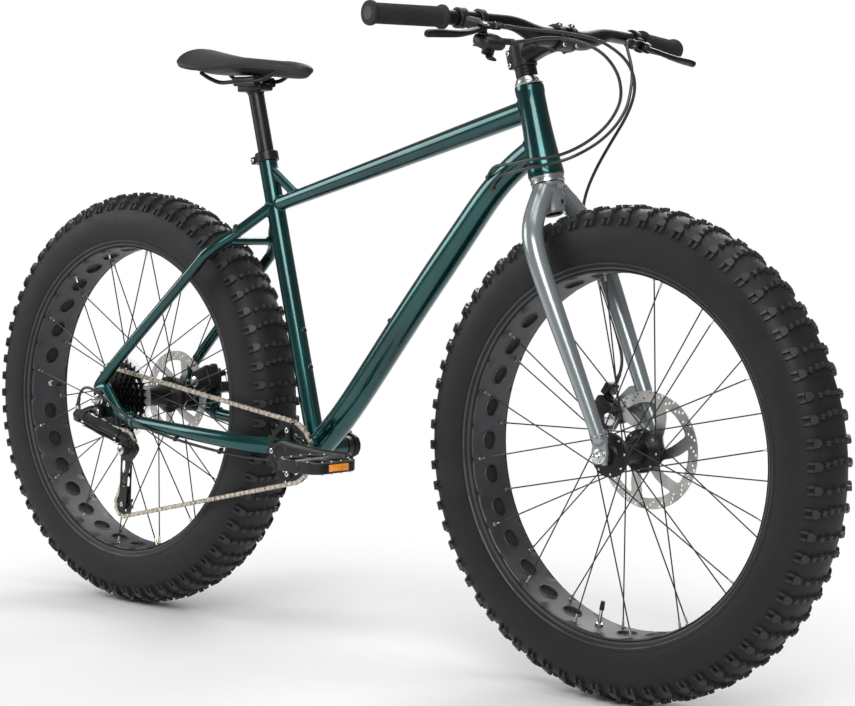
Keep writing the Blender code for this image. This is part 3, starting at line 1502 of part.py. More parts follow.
def knuckle_lugs(placing, way, offsets):
    """Tongues that enter the links' forks, with the pins through them."""
    lugs = []
    for offset in offsets:
        start = math.radians(-90 if way < 0 else 90)
        turns = [start + math.radians(60 * i) for i in range(4)]
        loop = [(0.0042 * math.cos(a), 0.0042 * math.sin(a)) for a in turns]
        loop += [(0.014 * way, loop[-1][1]), (0.014 * way, loop[0][1])]
        tongue = plate([loop], 0.012, Vector((0, offset, 0)), Vector((0, 0, 1)), Vector((1, 0, 0)))
        pin = rod(Vector((0, offset, -0.0088)), Vector((0, offset, 0.0088)), 0.0019, sides=6)
        for mesh in (tongue, pin):
            mesh.transform(placing)
            lugs.append(mesh)
    return lugs


LINK_OFFSET = 0.008


def knuckle_upper():
    """The knuckle bolted to the hanger, which carries the links and the cable's barrel."""
    places = derailleur_points()
    placing = link_placing(places["upper"], places)
    core = block((0.0130, 0.0250, 0.0140), placing @ Matrix.Translation((-0.0170, 0, 0)))
    face = REAR_DROPOUT_WIDTH / 2 + DROPOUT_THICKNESS + GAP + 0.004 + GAP
    bolt = places["bolt"]
    boss = rod(Vector((bolt.x, -face, bolt.z)), Vector((bolt.x, -face - 0.0120, bolt.z)), 0.0085, sides=10)
    middle = placing @ Vector((-0.0170, 0, 0))
    arm = tube(
        [
            Vector((bolt.x, -face - 0.0072, bolt.z)),
            Vector((bolt.x - 0.019, -face - 0.0072, bolt.z + 0.002)),
            middle + Vector((-0.002, 0.004, 0.002)),
        ],
        [0.0068, 0.0068, 0.0066],
        sides=6,
    )
    barrel_foot, barrel_end = derailleur_barrel()
    barrel = rod(barrel_foot, barrel_end, 0.0045, sides=8)
    lugs = knuckle_lugs(placing, -1, (-LINK_OFFSET, LINK_OFFSET))
    return shaped(core, join=[boss, arm, barrel, *lugs])


def derailleur_barrel():
    """The foot and end of the cable's barrel on the upper knuckle."""
    foot = REAR_HUB + Vector((-0.022, -0.133, -0.026))
    return foot, foot + Vector((-0.0055, 0.0045, 0.0170))


def knuckle_lower():
    """The knuckle at the links' lower end, with the boss that the cage turns in."""
    places = derailleur_points()
    placing = link_placing(places["lower"], places)
    core = block((0.0120, 0.0240, 0.0136), placing @ Matrix.Translation((0.0155, 0, 0)))
    cage = places["cage"]
    face = abs(COG_Y) + CAGE_OUTER + GAP
    inside = Vector((cage.x, -face, cage.z))
    boss = rod(inside, inside - ACROSS * 0.034, 0.0098, sides=10)
    hole = rod(inside + ACROSS * 0.01, inside - ACROSS * 0.020, 0.0048, sides=8)
    lugs = knuckle_lugs(placing, 1, (-LINK_OFFSET, LINK_OFFSET))
    return shaped(core, join=[boss, *lugs], cut=[hole])


CAGE_INNER = 0.0045
CAGE_OUTER = 0.0060


def cage():
    """Both cage plates, held together by the pulleys' bolts."""
    places = derailleur_points()
    pivot, guide, tension = places["cage"], places["guide"], places["tension"]
    outer = [
        (guide.x - 0.0095, guide.z + 0.0050),
        (guide.x, guide.z + 0.0105),
        (pivot.x - 0.010, pivot.z + 0.0125),
        (pivot.x + 0.004, pivot.z + 0.0105),
        (pivot.x + 0.0105, pivot.z),
        (pivot.x + 0.004, pivot.z - 0.0105),
        (pivot.x - 0.012, pivot.z - 0.026),
        (tension.x + 0.0125, tension.z + 0.050),
        (tension.x + 0.0105, tension.z),
        (tension.x + 0.0045, tension.z - 0.0095),
        (tension.x - 0.0045, tension.z - 0.0095),
        (tension.x - 0.0105, tension.z),
        (tension.x - 0.0070, tension.z + 0.035),
        (guide.x - 0.0085, guide.z - 0.030),
    ]
    inner = [
        (guide.x - 0.0095, guide.z + 0.0050),
        (guide.x, guide.z + 0.0100),
        (guide.x + 0.0095, guide.z + 0.0045),
        (guide.x + 0.0100, guide.z - 0.030),
        (tension.x + 0.0105, tension.z + 0.040),
        (tension.x + 0.0105, tension.z),
        (tension.x + 0.0045, tension.z - 0.0095),
        (tension.x - 0.0045, tension.z - 0.0095),
        (tension.x - 0.0105, tension.z),
        (tension.x - 0.0070, tension.z + 0.035),
        (guide.x - 0.0085, guide.z - 0.030),
    ]
    middle = guide.lerp(tension, 0.5)
    back, front, high, low = middle.x - 0.003, middle.x + 0.006, middle.z + 0.022, middle.z - 0.020
    window = [(back, high), (front, high), (front, low), (back, low)]
    depth = CAGE_OUTER - CAGE_INNER
    y = (CAGE_INNER + CAGE_OUTER) / 2
    outer_plate = side_plate([outer, window], depth, COG_Y - y)
    inner_plate = side_plate([inner, window], depth, COG_Y + y)
    pieces = [inner_plate]
    for wheel in (guide, tension):
        reach = ACROSS * CAGE_OUTER * 1.15
        pieces.append(rod(wheel - reach, wheel + reach, 0.0028, sides=8))
    pin_start = Vector((pivot.x, COG_Y - CAGE_INNER - 0.0005, pivot.z))
    pieces.append(rod(pin_start, pin_start - ACROSS * 0.017, 0.0041, sides=8))
    return shaped(outer_plate, join=pieces)


def pulley(name):
    """A jockey wheel: a disc on a bush."""
    centre = derailleur_points()[name]
    half, wide = COG_THICKNESS / 2, CAGE_INNER - 0.0006
    radius = sprocket_radius(PULLEY_TEETH)
    profile = [
        (0.0034, wide),
        (0.0065, wide),
        (0.0065, half),
        (radius, half),
        (radius, -half),
        (0.0065, -half),
        (0.0065, -wide),
        (0.0034, -wide),
    ]
    return turned(profile, centre, ACROSS, PULLEY_TEETH, True, Vector((1, 0, 0)))


# Brakes


def caliper_frame(front):
    """A caliper's hub, disc, its way out from the hub and round the disc, and its faces."""
    if front:
        hub, radius, y = FRONT_HUB, FRONT_ROTOR_RADIUS, FRONT_ROTOR_Y
        outer = FRONT_DROPOUT_WIDTH / 2 + 0.001 - GAP
        turn = math.radians(147.7)
        tab = FRONT_DROPOUT_WIDTH / 2 + 0.007
    else:
        hub, radius, y = REAR_HUB, REAR_ROTOR_RADIUS, REAR_ROTOR_Y
        outer = STAY_SPREAD - 0.003 - GAP
        turn = math.radians(24.0)
        tab = STAY_SPREAD + 0.003
    out = Vector((math.cos(turn), 0, math.sin(turn)))
    round_disc = Vector((-math.sin(turn), 0, math.cos(turn)))
    return hub, radius, y, outer, tab, out, round_disc


def caliper_point(front, reach, along, y):
    """A point measured out from the disc's edge, round the disc and sideways."""
    hub, radius, _, _, _, out, round_disc = caliper_frame(front)
    return hub + out * (radius + reach) + round_disc * along + ACROSS * y


def caliper(front):
    """The caliper over the disc, with its bracket face, pivot boss and cable stop."""
    _, _, disc_y, outer, tab, out, round_disc = caliper_frame(front)
    inner = disc_y - 0.0140
    turned_block = facing(Vector(), ACROSS, out)

    def box(reach, along, low, high, reach_size, along_size):
        middle = caliper_point(front, reach, along, (low + high) / 2)
        return block((reach_size, along_size, high - low), Matrix.Translation(middle) @ turned_block)

    body = box(0.006, 0, inner, outer, 0.044, 0.042)
    axis = caliper_point(front, -0.0115, 0, 0)
    boss = rod(axis + ACROSS * (outer - 0.003), axis + ACROSS * (tab + 0.0005), 0.0088, sides=10)
    pin = rod(axis + ACROSS * (tab - 0.002), axis + ACROSS * (tab + 0.0062), 0.0030, sides=8)
    pad = rod(axis + ACROSS * (inner + 0.004), axis + ACROSS * (inner - 0.0012), 0.0100, sides=10)
    post = box(0.0290, -0.0265, outer - 0.0140, tab + 0.0050, 0.0130, 0.0190)
    slot = box(-0.0200, 0, disc_y - 0.0016, disc_y + 0.0016, 0.0470, 0.080)
    return shaped(body, join=[boss, pin, pad, post], cut=[slot])


def caliper_arm(front):
    """The arm that the cable pulls, on the caliper's pivot."""
    _, _, _, _, tab, out, round_disc = caliper_frame(front)
    y = tab + 0.0005 + GAP + 0.0020
    start = caliper_point(front, -0.0115, 0, y)
    end = caliper_point(front, 0.0300, 0, y)
    half = 0.0018
    disc = rod(start - ACROSS * half, start + ACROSS * half, 0.0085, sides=10)
    tip = rod(end - ACROSS * half * 0.9, end + ACROSS * half * 0.9, 0.0052, sides=8)
    length = (end - start).length
    bar = block((0.0085, half * 1.8, length), facing((start + end) / 2, end - start, round_disc))
    hole = rod(start - ACROSS * 0.01, start + ACROSS * 0.01, 0.0035, sides=6)
    return shaped(disc, join=[tip, bar], cut=[hole])


# Cable housings


def cable_stop(front):
    """Where a caliper's housing ends, and the way that it leaves."""
    _, _, _, _, tab, _, round_disc = caliper_frame(front)
    return caliper_point(front, 0.0300, -0.0360 - GAP, tab + 0.0022), -round_disc


def lever_outlet(side):
    """The end of a brake lever's barrel and the way that the housing leaves it."""
    _, along, ahead, hinge, _ = lever_frame(side)
    return hinge - ahead * 0.0125 - along * (0.046 + GAP), -along


def housing(points, radius=0.0025):
    """A cable housing along a smooth route through points."""
    return tube(smooth(points, 0.032), radius, sides=6)


def front_brake_housing():
    """From the right lever round the head tube and down behind the left leg."""
    start, way = lever_outlet(-1)
    end, leave = cable_stop(True)
    points = [
        start,
        start + way * 0.012,
        by_head(0.1936, 0.1109, start.y * 0.745),
        by_head(0.1862, 0.1337, start.y * 0.5),
        by_head(0.1694, 0.1643, -0.020),
        by_head(0.1347, 0.1879, 0.004),
        by_head(0.1055, 0.1849, 0.022),
        by_head(0.0817, 0.1658, 0.037),
        by_head(0.0591, 0.1315, 0.053),
        by_head(0.0358, 0.0886, 0.066),
        by_head(0.0105, 0.0452, 0.079),
        by_head(-0.0152, 0.0110, 0.088),
        by_head(-0.0430, -0.0123, 0.093),
        by_head(-0.0837, -0.0226, FORK_LEG_SPREAD + 0.016),
        head_point(AXLE_TO_HEAD * 0.689, -0.0149, FORK_LEG_SPREAD + 0.015),
        head_point(AXLE_TO_HEAD * 0.564, -0.0023, FORK_LEG_SPREAD + 0.013),
        head_point(AXLE_TO_HEAD * 0.441, 0.0073, FORK_LEG_SPREAD + 0.010),
        end + leave * 0.040 + Vector((-0.012, 0.006, 0)),
        end + leave * 0.012,
        end,
    ]
    return housing(points)


def shift_housing():
    """From the shifter round the head tube to the port in the down tube."""
    start, way = shifter_outlet()
    points = [
        start,
        start + way * 0.012,
        by_head(0.1833, 0.1142, start.y * 0.667),
        by_head(0.1728, 0.1445, start.y * 0.4),
        by_head(0.1488, 0.1710, -0.030),
        by_head(0.1116, 0.1814, -0.013),
        by_head(0.0726, 0.1726, -0.005),
        by_head(0.0426, 0.1424, -0.010),
        by_head(0.0239, 0.1050, -0.022),
        by_head(0.0153, 0.0652, -0.036),
        by_head(0.0184, 0.0318, -0.043),
        by_head(0.0254, -0.0005, -0.043),
        by_head(0.0276, -0.0383, -0.036),
        *port_entry(-1),
    ]
    return housing(points)


def rear_brake_housing():
    """From the left lever round the head tube to the lower port in the down tube."""
    start, way = lever_outlet(1)
    points = [
        start,
        start + way * 0.010,
        by_head(0.1551, 0.1074, start.y * 0.853),
        by_head(0.1232, 0.1213, start.y * 0.667),
        by_head(0.0781, 0.1280, start.y * 0.44),
        by_head(0.0473, 0.1200, 0.038),
        by_head(0.0241, 0.1009, 0.008),
        by_head(0.0070, 0.0691, -0.030),
        by_head(0.0072, 0.0349, -0.046),
        by_head(0.0117, 0.0040, -0.048),
        by_head(0.0140, -0.0452, -0.043),
        *port_entry(1),
    ]
    return housing(points)


def down_tube_point(share, rise, side):
    """A point beside the down tube's middle line."""
    end = head_point(AXLE_TO_HEAD + DOWN_TUBE_ABOVE_HEAD_LOW)
    lean = (end - BOTTOM_BRACKET).normalized()
    up = Vector((-lean.z, 0, lean.x))
    return BOTTOM_BRACKET.lerp(end, share) + up * (DOWN_TUBE_BOW * 0.98 + rise) + ACROSS * side


def port_entry(which):
    """The last points of a housing, ending at its port in the down tube's right side."""
    share = 0.868 if which < 0 else 0.862
    rise = 0.0105 if which < 0 else -0.0080
    reach = math.sqrt(DOWN_TUBE_RADIUS**2 - rise**2) * 0.94
    return [
        down_tube_point(share + 0.030, rise, -reach - 0.0105),
        down_tube_point(share + 0.008, rise, -reach - 0.0062),
        down_tube_point(share - 0.008, rise, -reach - 0.0036),
    ]


def shift_housing_rear():
    """Along the right chain stay, over the dropout and down to the derailleur."""
    foot, end = derailleur_barrel()
    leave = (end - foot).normalized()
    points = [
        BOTTOM_BRACKET + Vector((-0.036, -0.0335, -0.0225)),
        BOTTOM_BRACKET + Vector((-0.064, -0.0560, -0.0200)),
        BOTTOM_BRACKET + Vector((-0.100, -0.0730, -0.0170)),
        BOTTOM_BRACKET + Vector((-0.150, -0.0850, -0.0120)),
        BOTTOM_BRACKET + Vector((-0.195, -0.0920, -0.0062)),
        BOTTOM_BRACKET + Vector((-0.245, -0.1010, 0.0020)),
        BOTTOM_BRACKET + Vector((-0.300, -0.1090, 0.0130)),
        BOTTOM_BRACKET + Vector((-0.345, -0.1140, 0.0280)),
        BOTTOM_BRACKET + Vector((-0.392, -0.1215, 0.0520)),
        BOTTOM_BRACKET + Vector((-0.424, -0.1260, 0.0720)),
        BOTTOM_BRACKET + Vector((-0.455, -0.1270, 0.0830)),
        end + leave * 0.026 + Vector((0.004, 0, 0.001)),
        end + leave * 0.010,
        end + leave * GAP,
    ]
    return housing(points)


def rear_brake_housing_rear():
    """Along the left chain stay to the rear caliper."""
    end, leave = cable_stop(False)
    points = [
        BOTTOM_BRACKET + Vector((-0.036, 0.0335, -0.0225)),
        BOTTOM_BRACKET + Vector((-0.064, 0.0560, -0.0200)),
        BOTTOM_BRACKET + Vector((-0.100, 0.0730, -0.0180)),
        BOTTOM_BRACKET + Vector((-0.150, 0.0880, -0.0135)),
        BOTTOM_BRACKET + Vector((-0.205, 0.0990, -0.0010)),
        BOTTOM_BRACKET + Vector((-0.255, 0.1060, 0.0170)),
        BOTTOM_BRACKET + Vector((-0.293, 0.1090, 0.0370)),
        end + leave * 0.016 + Vector((0.001, 0, 0)),
        end,
    ]
    return housing(points)


def build():
    """Makes every piece and hangs it on the body that it moves with."""
    bpy.context.scene.collection.children.link(parts)
    bpy.context.scene.collection.children.link(cutters)
    cutters.hide_render = True

    frame_green = finish("frame_green", (0.010, 0.060, 0.058), 0.28, 0.6)
    fork_grey = finish("fork_grey", (0.20, 0.24, 0.28), 0.32, 0.7)
    black = finish("black_metal", (0.018, 0.018, 0.020), 0.38, 0.4)
    dark = finish("dark_metal", (0.055, 0.057, 0.062), 0.40, 0.6)
    plastic = finish("black_plastic", (0.020, 0.020, 0.022), 0.5)
    rubber = finish("rubber", (0.028, 0.028, 0.030), 0.8)
    grip_rubber = finish("grip_rubber", (0.045, 0.045, 0.048), 0.75)
    silver = finish("silver_metal", (0.62, 0.63, 0.65), 0.28, 0.9)
    steel = finish("chain_steel", (0.45, 0.42, 0.36), 0.35, 0.9)
    disc_steel = finish("disc_steel", (0.55, 0.56, 0.58), 0.30, 0.9)
    clear = finish("clear_plastic", (0.62, 0.64, 0.66), 0.25)
    cushion = finish("saddle_cover", (0.040, 0.041, 0.045), 0.6)
    cable = finish("cable_cover", (0.016, 0.016, 0.018), 0.45)

    stack = steering_stack()
    places = derailleur_points()
    pivot("frame_body", Vector())
    pivot("seat_slide", seat_point(SEAT_TUBE_LENGTH), "frame_body")
    pivot("steering", head_point(AXLE_TO_HEAD), "frame_body")
    pivot("front_wheel", FRONT_HUB, "steering")
    pivot("rear_wheel", REAR_HUB, "frame_body")
    pivot("freewheel", REAR_HUB, "frame_body")
    pivot("crankset", BOTTOM_BRACKET, "frame_body")
    pivot("right_pedal", pedal_centre(-1), "crankset")
    pivot("left_pedal", pedal_centre(1), "crankset")
    pivot("right_blade", lever_frame(-1)[3], "steering")
    pivot("left_blade", lever_frame(1)[3], "steering")
    shifter_core = shifter_frame()[0]
    pivot("thumb_lever", shifter_core, "steering")
    pivot("release_lever", shifter_core, "steering")
    pivot("front_arm", caliper_point(True, -0.0115, 0, caliper_frame(True)[4]), "steering")
    pivot("rear_arm", caliper_point(False, -0.0115, 0, caliper_frame(False)[4]), "frame_body")
    pivot("link_outer", places["upper"] - places["across"] * LINK_OFFSET, "frame_body")
    pivot("link_inner", places["upper"] + places["across"] * LINK_OFFSET, "frame_body")
    pivot("lower_knuckle", places["lower"] - places["across"] * LINK_OFFSET, "link_outer")
    pivot("cage_turn", places["cage"], "lower_knuckle")
    pivot("guide_wheel", places["guide"], "cage_turn")
    pivot("tension_wheel", places["tension"], "cage_turn")

    add("frame", frame(), frame_green, "frame_body")
    add("seat_collar", seat_collar(), black, "frame_body")
    low = AXLE_TO_HEAD - GAP - 0.0112
    cup = headset_ring(low, AXLE_TO_HEAD - GAP, 0.0265, 0.0270, STEERER_RADIUS + 0.001)
    add("headset_lower_cup", cup, silver, "frame_body")
    add("bottom_bracket", bottom_bracket(), dark, "frame_body")
    add("derailleur_hanger", hanger(), black, "frame_body")
    add("derailleur_knuckle_upper", knuckle_upper(), plastic, "frame_body")
    add("rear_caliper", caliper(False), black, "frame_body")
    right_depth = DROPOUT_THICKNESS + GAP + 0.004
    rear_axle = axle(REAR_HUB, REAR_AXLE_RADIUS, REAR_DROPOUT_WIDTH, DROPOUT_THICKNESS, right_depth)
    add("rear_axle", rear_axle, black, "frame_body")
    add("shift_housing", shift_housing(), cable, "frame_body")
    add("shift_housing_rear", shift_housing_rear(), cable, "frame_body")
    add("rear_brake_housing", rear_brake_housing(), cable, "frame_body")
    add("rear_brake_housing_rear", rear_brake_housing_rear(), cable, "frame_body")
    add("chain", chain(), steel, "frame_body")

    add("seatpost", seatpost(), black, "seat_slide")
    add("saddle_clamp", saddle_clamp(), black, "seat_slide")
    add("saddle_rails", saddle_rails(), dark, "seat_slide")
    add("saddle", saddle(), cushion, "seat_slide", 60)

    bore = STEERER_RADIUS + GAP * 2
    cone = headset_ring(stack["head_top"] + GAP, stack["cone_top"], HEAD_TOP_RADIUS, 0.0165, bore)
    spacer = headset_ring(stack["cone_top"] + GAP, stack["spacer_top"], 0.0172, 0.0172, bore)
    cap_profile = [(0, 0.0055), (0.0155, 0.0055), (0.0172, 0), (0, 0)]
    cap = turned(cap_profile, head_point(stack["stem_top"] + GAP), HEAD_UP, 14)
    add("fork", fork(), fork_grey, "steering")
    add("headset_cone", cone, silver, "steering")
    add("spacers", spacer, black, "steering")
    add("top_cap", cap, black, "steering")
    add("stem", stem(), black, "steering")
    add("stem_faceplate", stem_faceplate(), black, "steering")
    add("handlebar", handlebar(), black, "steering")
    for side, name in ((1, "left"), (-1, "right")):
        add(f"grip_{name}", grip(side), grip_rubber, "steering")
        add(f"lever_clamp_{name}", lever_clamp(side), plastic, "steering")
        add(f"brake_blade_{name}", brake_blade(side), black, f"{name}_blade")
    add("shifter_body", shifter_body(), plastic, "steering")
    add("shift_thumb_lever", lever_paddle(0.0129, 0.036, -0.006, -1), plastic, "thumb_lever")
    add("shift_release_lever", lever_paddle(0.0172, 0.026, 0.010, 1), plastic, "release_lever")
    add("front_caliper", caliper(True), black, "steering")
    front_depth = 0.006
    front_axle = axle(FRONT_HUB, FRONT_AXLE_RADIUS, FRONT_DROPOUT_WIDTH, front_depth, front_depth)
    add("front_axle", front_axle, black, "steering")
    add("front_brake_housing", front_brake_housing(), cable, "steering")
    add("front_caliper_arm", caliper_arm(True), silver, "front_arm")
    add("rear_caliper_arm", caliper_arm(False), silver, "rear_arm")

    add("tyre_front", tyre(FRONT_HUB), rubber, "front_wheel", 25)
    add("rim_front", rim(FRONT_HUB, FRONT_VALVE), dark, "front_wheel")
    add("hub_front", front_hub(), black, "front_wheel")
    add("rotor_front", rotor(FRONT_HUB, FRONT_ROTOR_RADIUS, FRONT_ROTOR_Y), disc_steel, "front_wheel")
    add("tyre_rear", tyre(REAR_HUB), rubber, "rear_wheel", 25)
    add("rim_rear", rim(REAR_HUB, REAR_VALVE), dark, "rear_wheel")
    add("hub_rear", rear_hub(), black, "rear_wheel")
    add("rotor_rear", rotor(REAR_HUB, REAR_ROTOR_RADIUS, REAR_ROTOR_Y), disc_steel, "rear_wheel")
    guard = [(0.0194, 0.0012), (0.076, 0.0012), (0.076, 0), (0.0194, 0)]
    guard_at = REAR_HUB + ACROSS * -0.0497
    add("spoke_protector", turned(guard, guard_at, ACROSS, 20, True, Vector((1, 0, 0))), clear, "rear_wheel")
    add("cassette", cassette(), dark, "freewheel")

    add("crank_right", crank_arm(-1), dark, "crankset")
    add("crank_left", crank_arm(1), dark, "crankset")
    add("chainring", chainring(), black, "crankset")
    add("crank_spindle", crank_spindle(), silver, "crankset")
    add("pedal_right", pedal(-1), plastic, "right_pedal")
    add("pedal_left", pedal(1), plastic, "left_pedal")

    add("outer_link", parallel_link(-LINK_OFFSET), dark, "link_outer")
    add("inner_link", parallel_link(LINK_OFFSET), dark, "link_inner")
    add("knuckle_lower", knuckle_lower(), plastic, "lower_knuckle")
    add("cage", cage(), dark, "cage_turn")
    add("guide_pulley", pulley("guide"), plastic, "guide_wheel")
    add("tension_pulley", pulley("tension"), plastic, "tension_wheel")


for old in list(bpy.data.objects):
    bpy.data.objects.remove(old)
build()
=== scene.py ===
"""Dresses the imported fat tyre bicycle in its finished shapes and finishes.

Every piece is drawn in metres in the frame's own axes: +X forward, +Y to the rider's
left, +Z up, with the origin on the ground midway between the hubs.
"""

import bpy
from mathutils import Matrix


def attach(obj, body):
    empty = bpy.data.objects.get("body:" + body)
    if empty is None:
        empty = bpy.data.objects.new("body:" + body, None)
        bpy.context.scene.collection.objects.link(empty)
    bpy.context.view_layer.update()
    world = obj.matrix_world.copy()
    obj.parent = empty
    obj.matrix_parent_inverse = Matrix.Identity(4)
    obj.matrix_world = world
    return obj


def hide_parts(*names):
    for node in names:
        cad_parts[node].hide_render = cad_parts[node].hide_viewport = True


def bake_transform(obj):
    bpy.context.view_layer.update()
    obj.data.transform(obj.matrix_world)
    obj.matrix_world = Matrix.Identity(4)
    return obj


bl_info = {
    "name": "Fat Tyre Bicycle",
    "version": (1, 0, 0),
    "blender": (4, 5, 0),
    "location": "3D View > Sidebar > Bicycle",
    "description": "Tyres, wheels, frame, drive, brakes and cockpit of a fat tyre bicycle",
    "category": "Object",
}

import math
from collections import namedtuple

import bmesh
import bpy
from mathutils import Matrix, Vector

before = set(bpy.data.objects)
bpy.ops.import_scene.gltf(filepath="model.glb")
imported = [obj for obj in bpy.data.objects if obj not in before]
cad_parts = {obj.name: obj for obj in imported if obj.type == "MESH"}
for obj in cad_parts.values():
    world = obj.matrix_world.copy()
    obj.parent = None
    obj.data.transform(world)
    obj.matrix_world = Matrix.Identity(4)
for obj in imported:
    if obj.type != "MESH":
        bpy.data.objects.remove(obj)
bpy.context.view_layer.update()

# Sizes that the pieces share with the CAD frame
GAP = 0.0003
WHEELBASE = 1.097
TYRE_RADIUS = 0.374
RIM_RADIUS = 0.2855
RIM_FLOOR = 0.2715
RIM_HALF = 0.0495
RIM_HOLES = 32
FRONT_VALVE = math.radians(-100)
REAR_VALVE = math.radians(179)
SEAT_ANGLE = math.radians(74.5)
HEAD_ANGLE = math.radians(74.4)
AXLE_TO_HEAD = 0.443
HEAD_TUBE_LENGTH = 0.146
SEAT_TUBE_LENGTH = 0.5193
SEAT_TUBE_RADIUS = 0.0159
STEERER_RADIUS = 0.0143
DOWN_TUBE_BOW = 0.0194
DOWN_TUBE_RADIUS = 0.0232
STAY_SPREAD = 0.100
BAR_HALF_WIDTH = 0.375
GRIP_LENGTH = 0.130
LEVER_PLACE = 0.215
CHAIN_PITCH = 0.0127
CHAINRING_TEETH = 26
CHAINRING_Y = -0.066
COG_TEETH = (34, 30, 26, 23, 20, 17, 15, 13, 11)
COG_STEP_Y = 0.00435
LARGEST_COG_Y = -0.0545
COG_IN_USE = 2
PULLEY_TEETH = 11
CRANK_LENGTH = 0.170
CRANK_TURN = math.radians(1.7)
COG_Y = LARGEST_COG_Y - COG_IN_USE * COG_STEP_Y

ACROSS = Vector((0, 1, 0))
AHEAD = Vector((1, 0, 0))
FRONT_HUB = Vector((WHEELBASE / 2, 0, TYRE_RADIUS))
REAR_HUB = Vector((-WHEELBASE / 2, 0, TYRE_RADIUS))
BOTTOM_BRACKET = REAR_HUB + Vector((math.sqrt(0.449**2 - 0.055**2), 0, -0.055))
SEAT_UP = Vector((-math.cos(SEAT_ANGLE), 0, math.sin(SEAT_ANGLE)))
SEAT_FORWARD = Vector((math.sin(SEAT_ANGLE), 0, math.cos(SEAT_ANGLE)))
HEAD_UP = Vector((-math.cos(HEAD_ANGLE), 0, math.sin(HEAD_ANGLE)))
HEAD_FORWARD = Vector((math.sin(HEAD_ANGLE), 0, math.cos(HEAD_ANGLE)))
STEERING_FOOT = FRONT_HUB - HEAD_FORWARD * 0.052

# Each brake: its disc, the angle of its caliper round the hub, the caliper's outer face and
# the outer face of the tab that stops its housing
Brake = namedtuple("Brake", "name body hub disc_radius disc_y turn outer tab")
FRONT_BRAKE = Brake(
    "front", "steering", FRONT_HUB, 0.090, 0.0525, math.radians(147.7), 0.0685 - GAP, 0.0745
)
REAR_BRAKE = Brake(
    "rear", "frame_body", REAR_HUB, 0.080, 0.080, math.radians(24.0),
    STAY_SPREAD - 0.003 - GAP, STAY_SPREAD + 0.003,
)


def seat_point(along, forward=0.0, side=0.0):
    """A point measured from the bottom bracket up the seat tube."""
    return BOTTOM_BRACKET + SEAT_UP * along + SEAT_FORWARD * forward + ACROSS * side


def head_point(along, forward=0.0, side=0.0):
    """A point measured up the steering axis from beside the front hub."""
    return STEERING_FOOT + HEAD_UP * along + HEAD_FORWARD * forward + ACROSS * side


def by_head(rise, forward=0.0, side=0.0):
    """A point measured up the steering axis from the head tube's lower end."""
    return head_point(AXLE_TO_HEAD + rise, forward, side)


def polar(radius, angle, y=0.0):
    """A point round a wheel's axle."""
    return Vector((radius * math.cos(angle), y, radius * math.sin(angle)))


def around(radius, angle):
    """A flat (x, y) point round the origin."""
    return radius * math.cos(angle), radius * math.sin(angle)


def turns(count, first=0.0):
    """Evenly spaced angles once round a circle."""
    return [first + math.tau * i / count for i in range(count)]


def facing(origin, direction, across=ACROSS):
    """The matrix that puts local Z along direction and local X close to across."""
    up = direction.normalized()
    if abs(across.normalized().dot(up)) > 0.95:
        across = AHEAD
    right = (across - up * across.dot(up)).normalized()
    turn = Matrix((right, up.cross(right), up)).transposed()
    return Matrix.Translation(origin) @ turn.to_4x4()


def eased(rows, steps):
    """Rows of numbers on a smooth curve through the given rows."""
    rows = [tuple(row) for row in rows]
    first = tuple(2 * a - b for a, b in zip(rows[0], rows[1]))
    last = tuple(2 * a - b for a, b in zip(rows[-1], rows[-2]))
    ends = [first, *rows, last]

    def between(a, b, c, d, t):
        return (
            2 * b
            + (c - a) * t
            + (2 * a - 5 * b + 4 * c - d) * t**2
            + (3 * b - a - 3 * c + d) * t**3
        ) / 2

    found = []
    for quartet in zip(ends, ends[1:], ends[2:], ends[3:]):
        for step in range(steps):
            found.append(tuple(between(*values, step / steps) for values in zip(*quartet)))
    return [*found, rows[-1]]


def route(points, steps):
    """Points on a smooth curve through the given points."""
    return [Vector(row) for row in eased(points, steps)]


def relaxed(points, spacing=0.006, passes=14):
    """A smooth line along straight runs, with its corners rounded and its ends kept."""
    line = []
    for start, end in zip(points, points[1:]):
        count = max(1, round((end - start).length / spacing))
        line += [start.lerp(end, i / count) for i in range(count)]
    line.append(points[-1])
    for _ in range(passes):
        middle = [(a + b * 2 + c) / 4 for a, b, c in zip(line, line[1:], line[2:])]
        line = [line[0], *middle, line[-1]]
    return line


def softened(loop, share, steps):
    """A flat outline with its corners rounded over a share of each side."""
    found = []
    count = len(loop)
    for i, corner in enumerate(loop):
        corner = Vector(corner)
        start = corner.lerp(Vector(loop[i - 1]), share)
        end = corner.lerp(Vector(loop[(i + 1) % count]), share)
        for step in range(steps + 1):
            t = step / steps
            found.append(tuple(start.lerp(corner, t).lerp(corner.lerp(end, t), t)))
    return found


def circle(radius, sides, centre=(0, 0)):
    """A flat ring of (x, y) points."""
    return [(centre[0] + x, centre[1] + y) for x, y in (around(radius, a) for a in turns(sides))]


def knurled(ridge, groove, start, pitch, count):
    """Ridges along a turned body's (radius, height) profile, with a groove after each."""
    found = []
    for i in range(count):
        found += [(ridge, start + i * pitch), (groove, start + (i + 0.5) * pitch)]
    return found


def smoothstep(t):
    """A smooth rise from 0 to 1."""
    t = min(max(t, 0), 1)
    return t * t * (3 - 2 * t)


def added(name, data):
    """A new object in the scene."""
    made = bpy.data.objects.new(name, data)
    bpy.context.scene.collection.objects.link(made)
    return made


# Shader maths


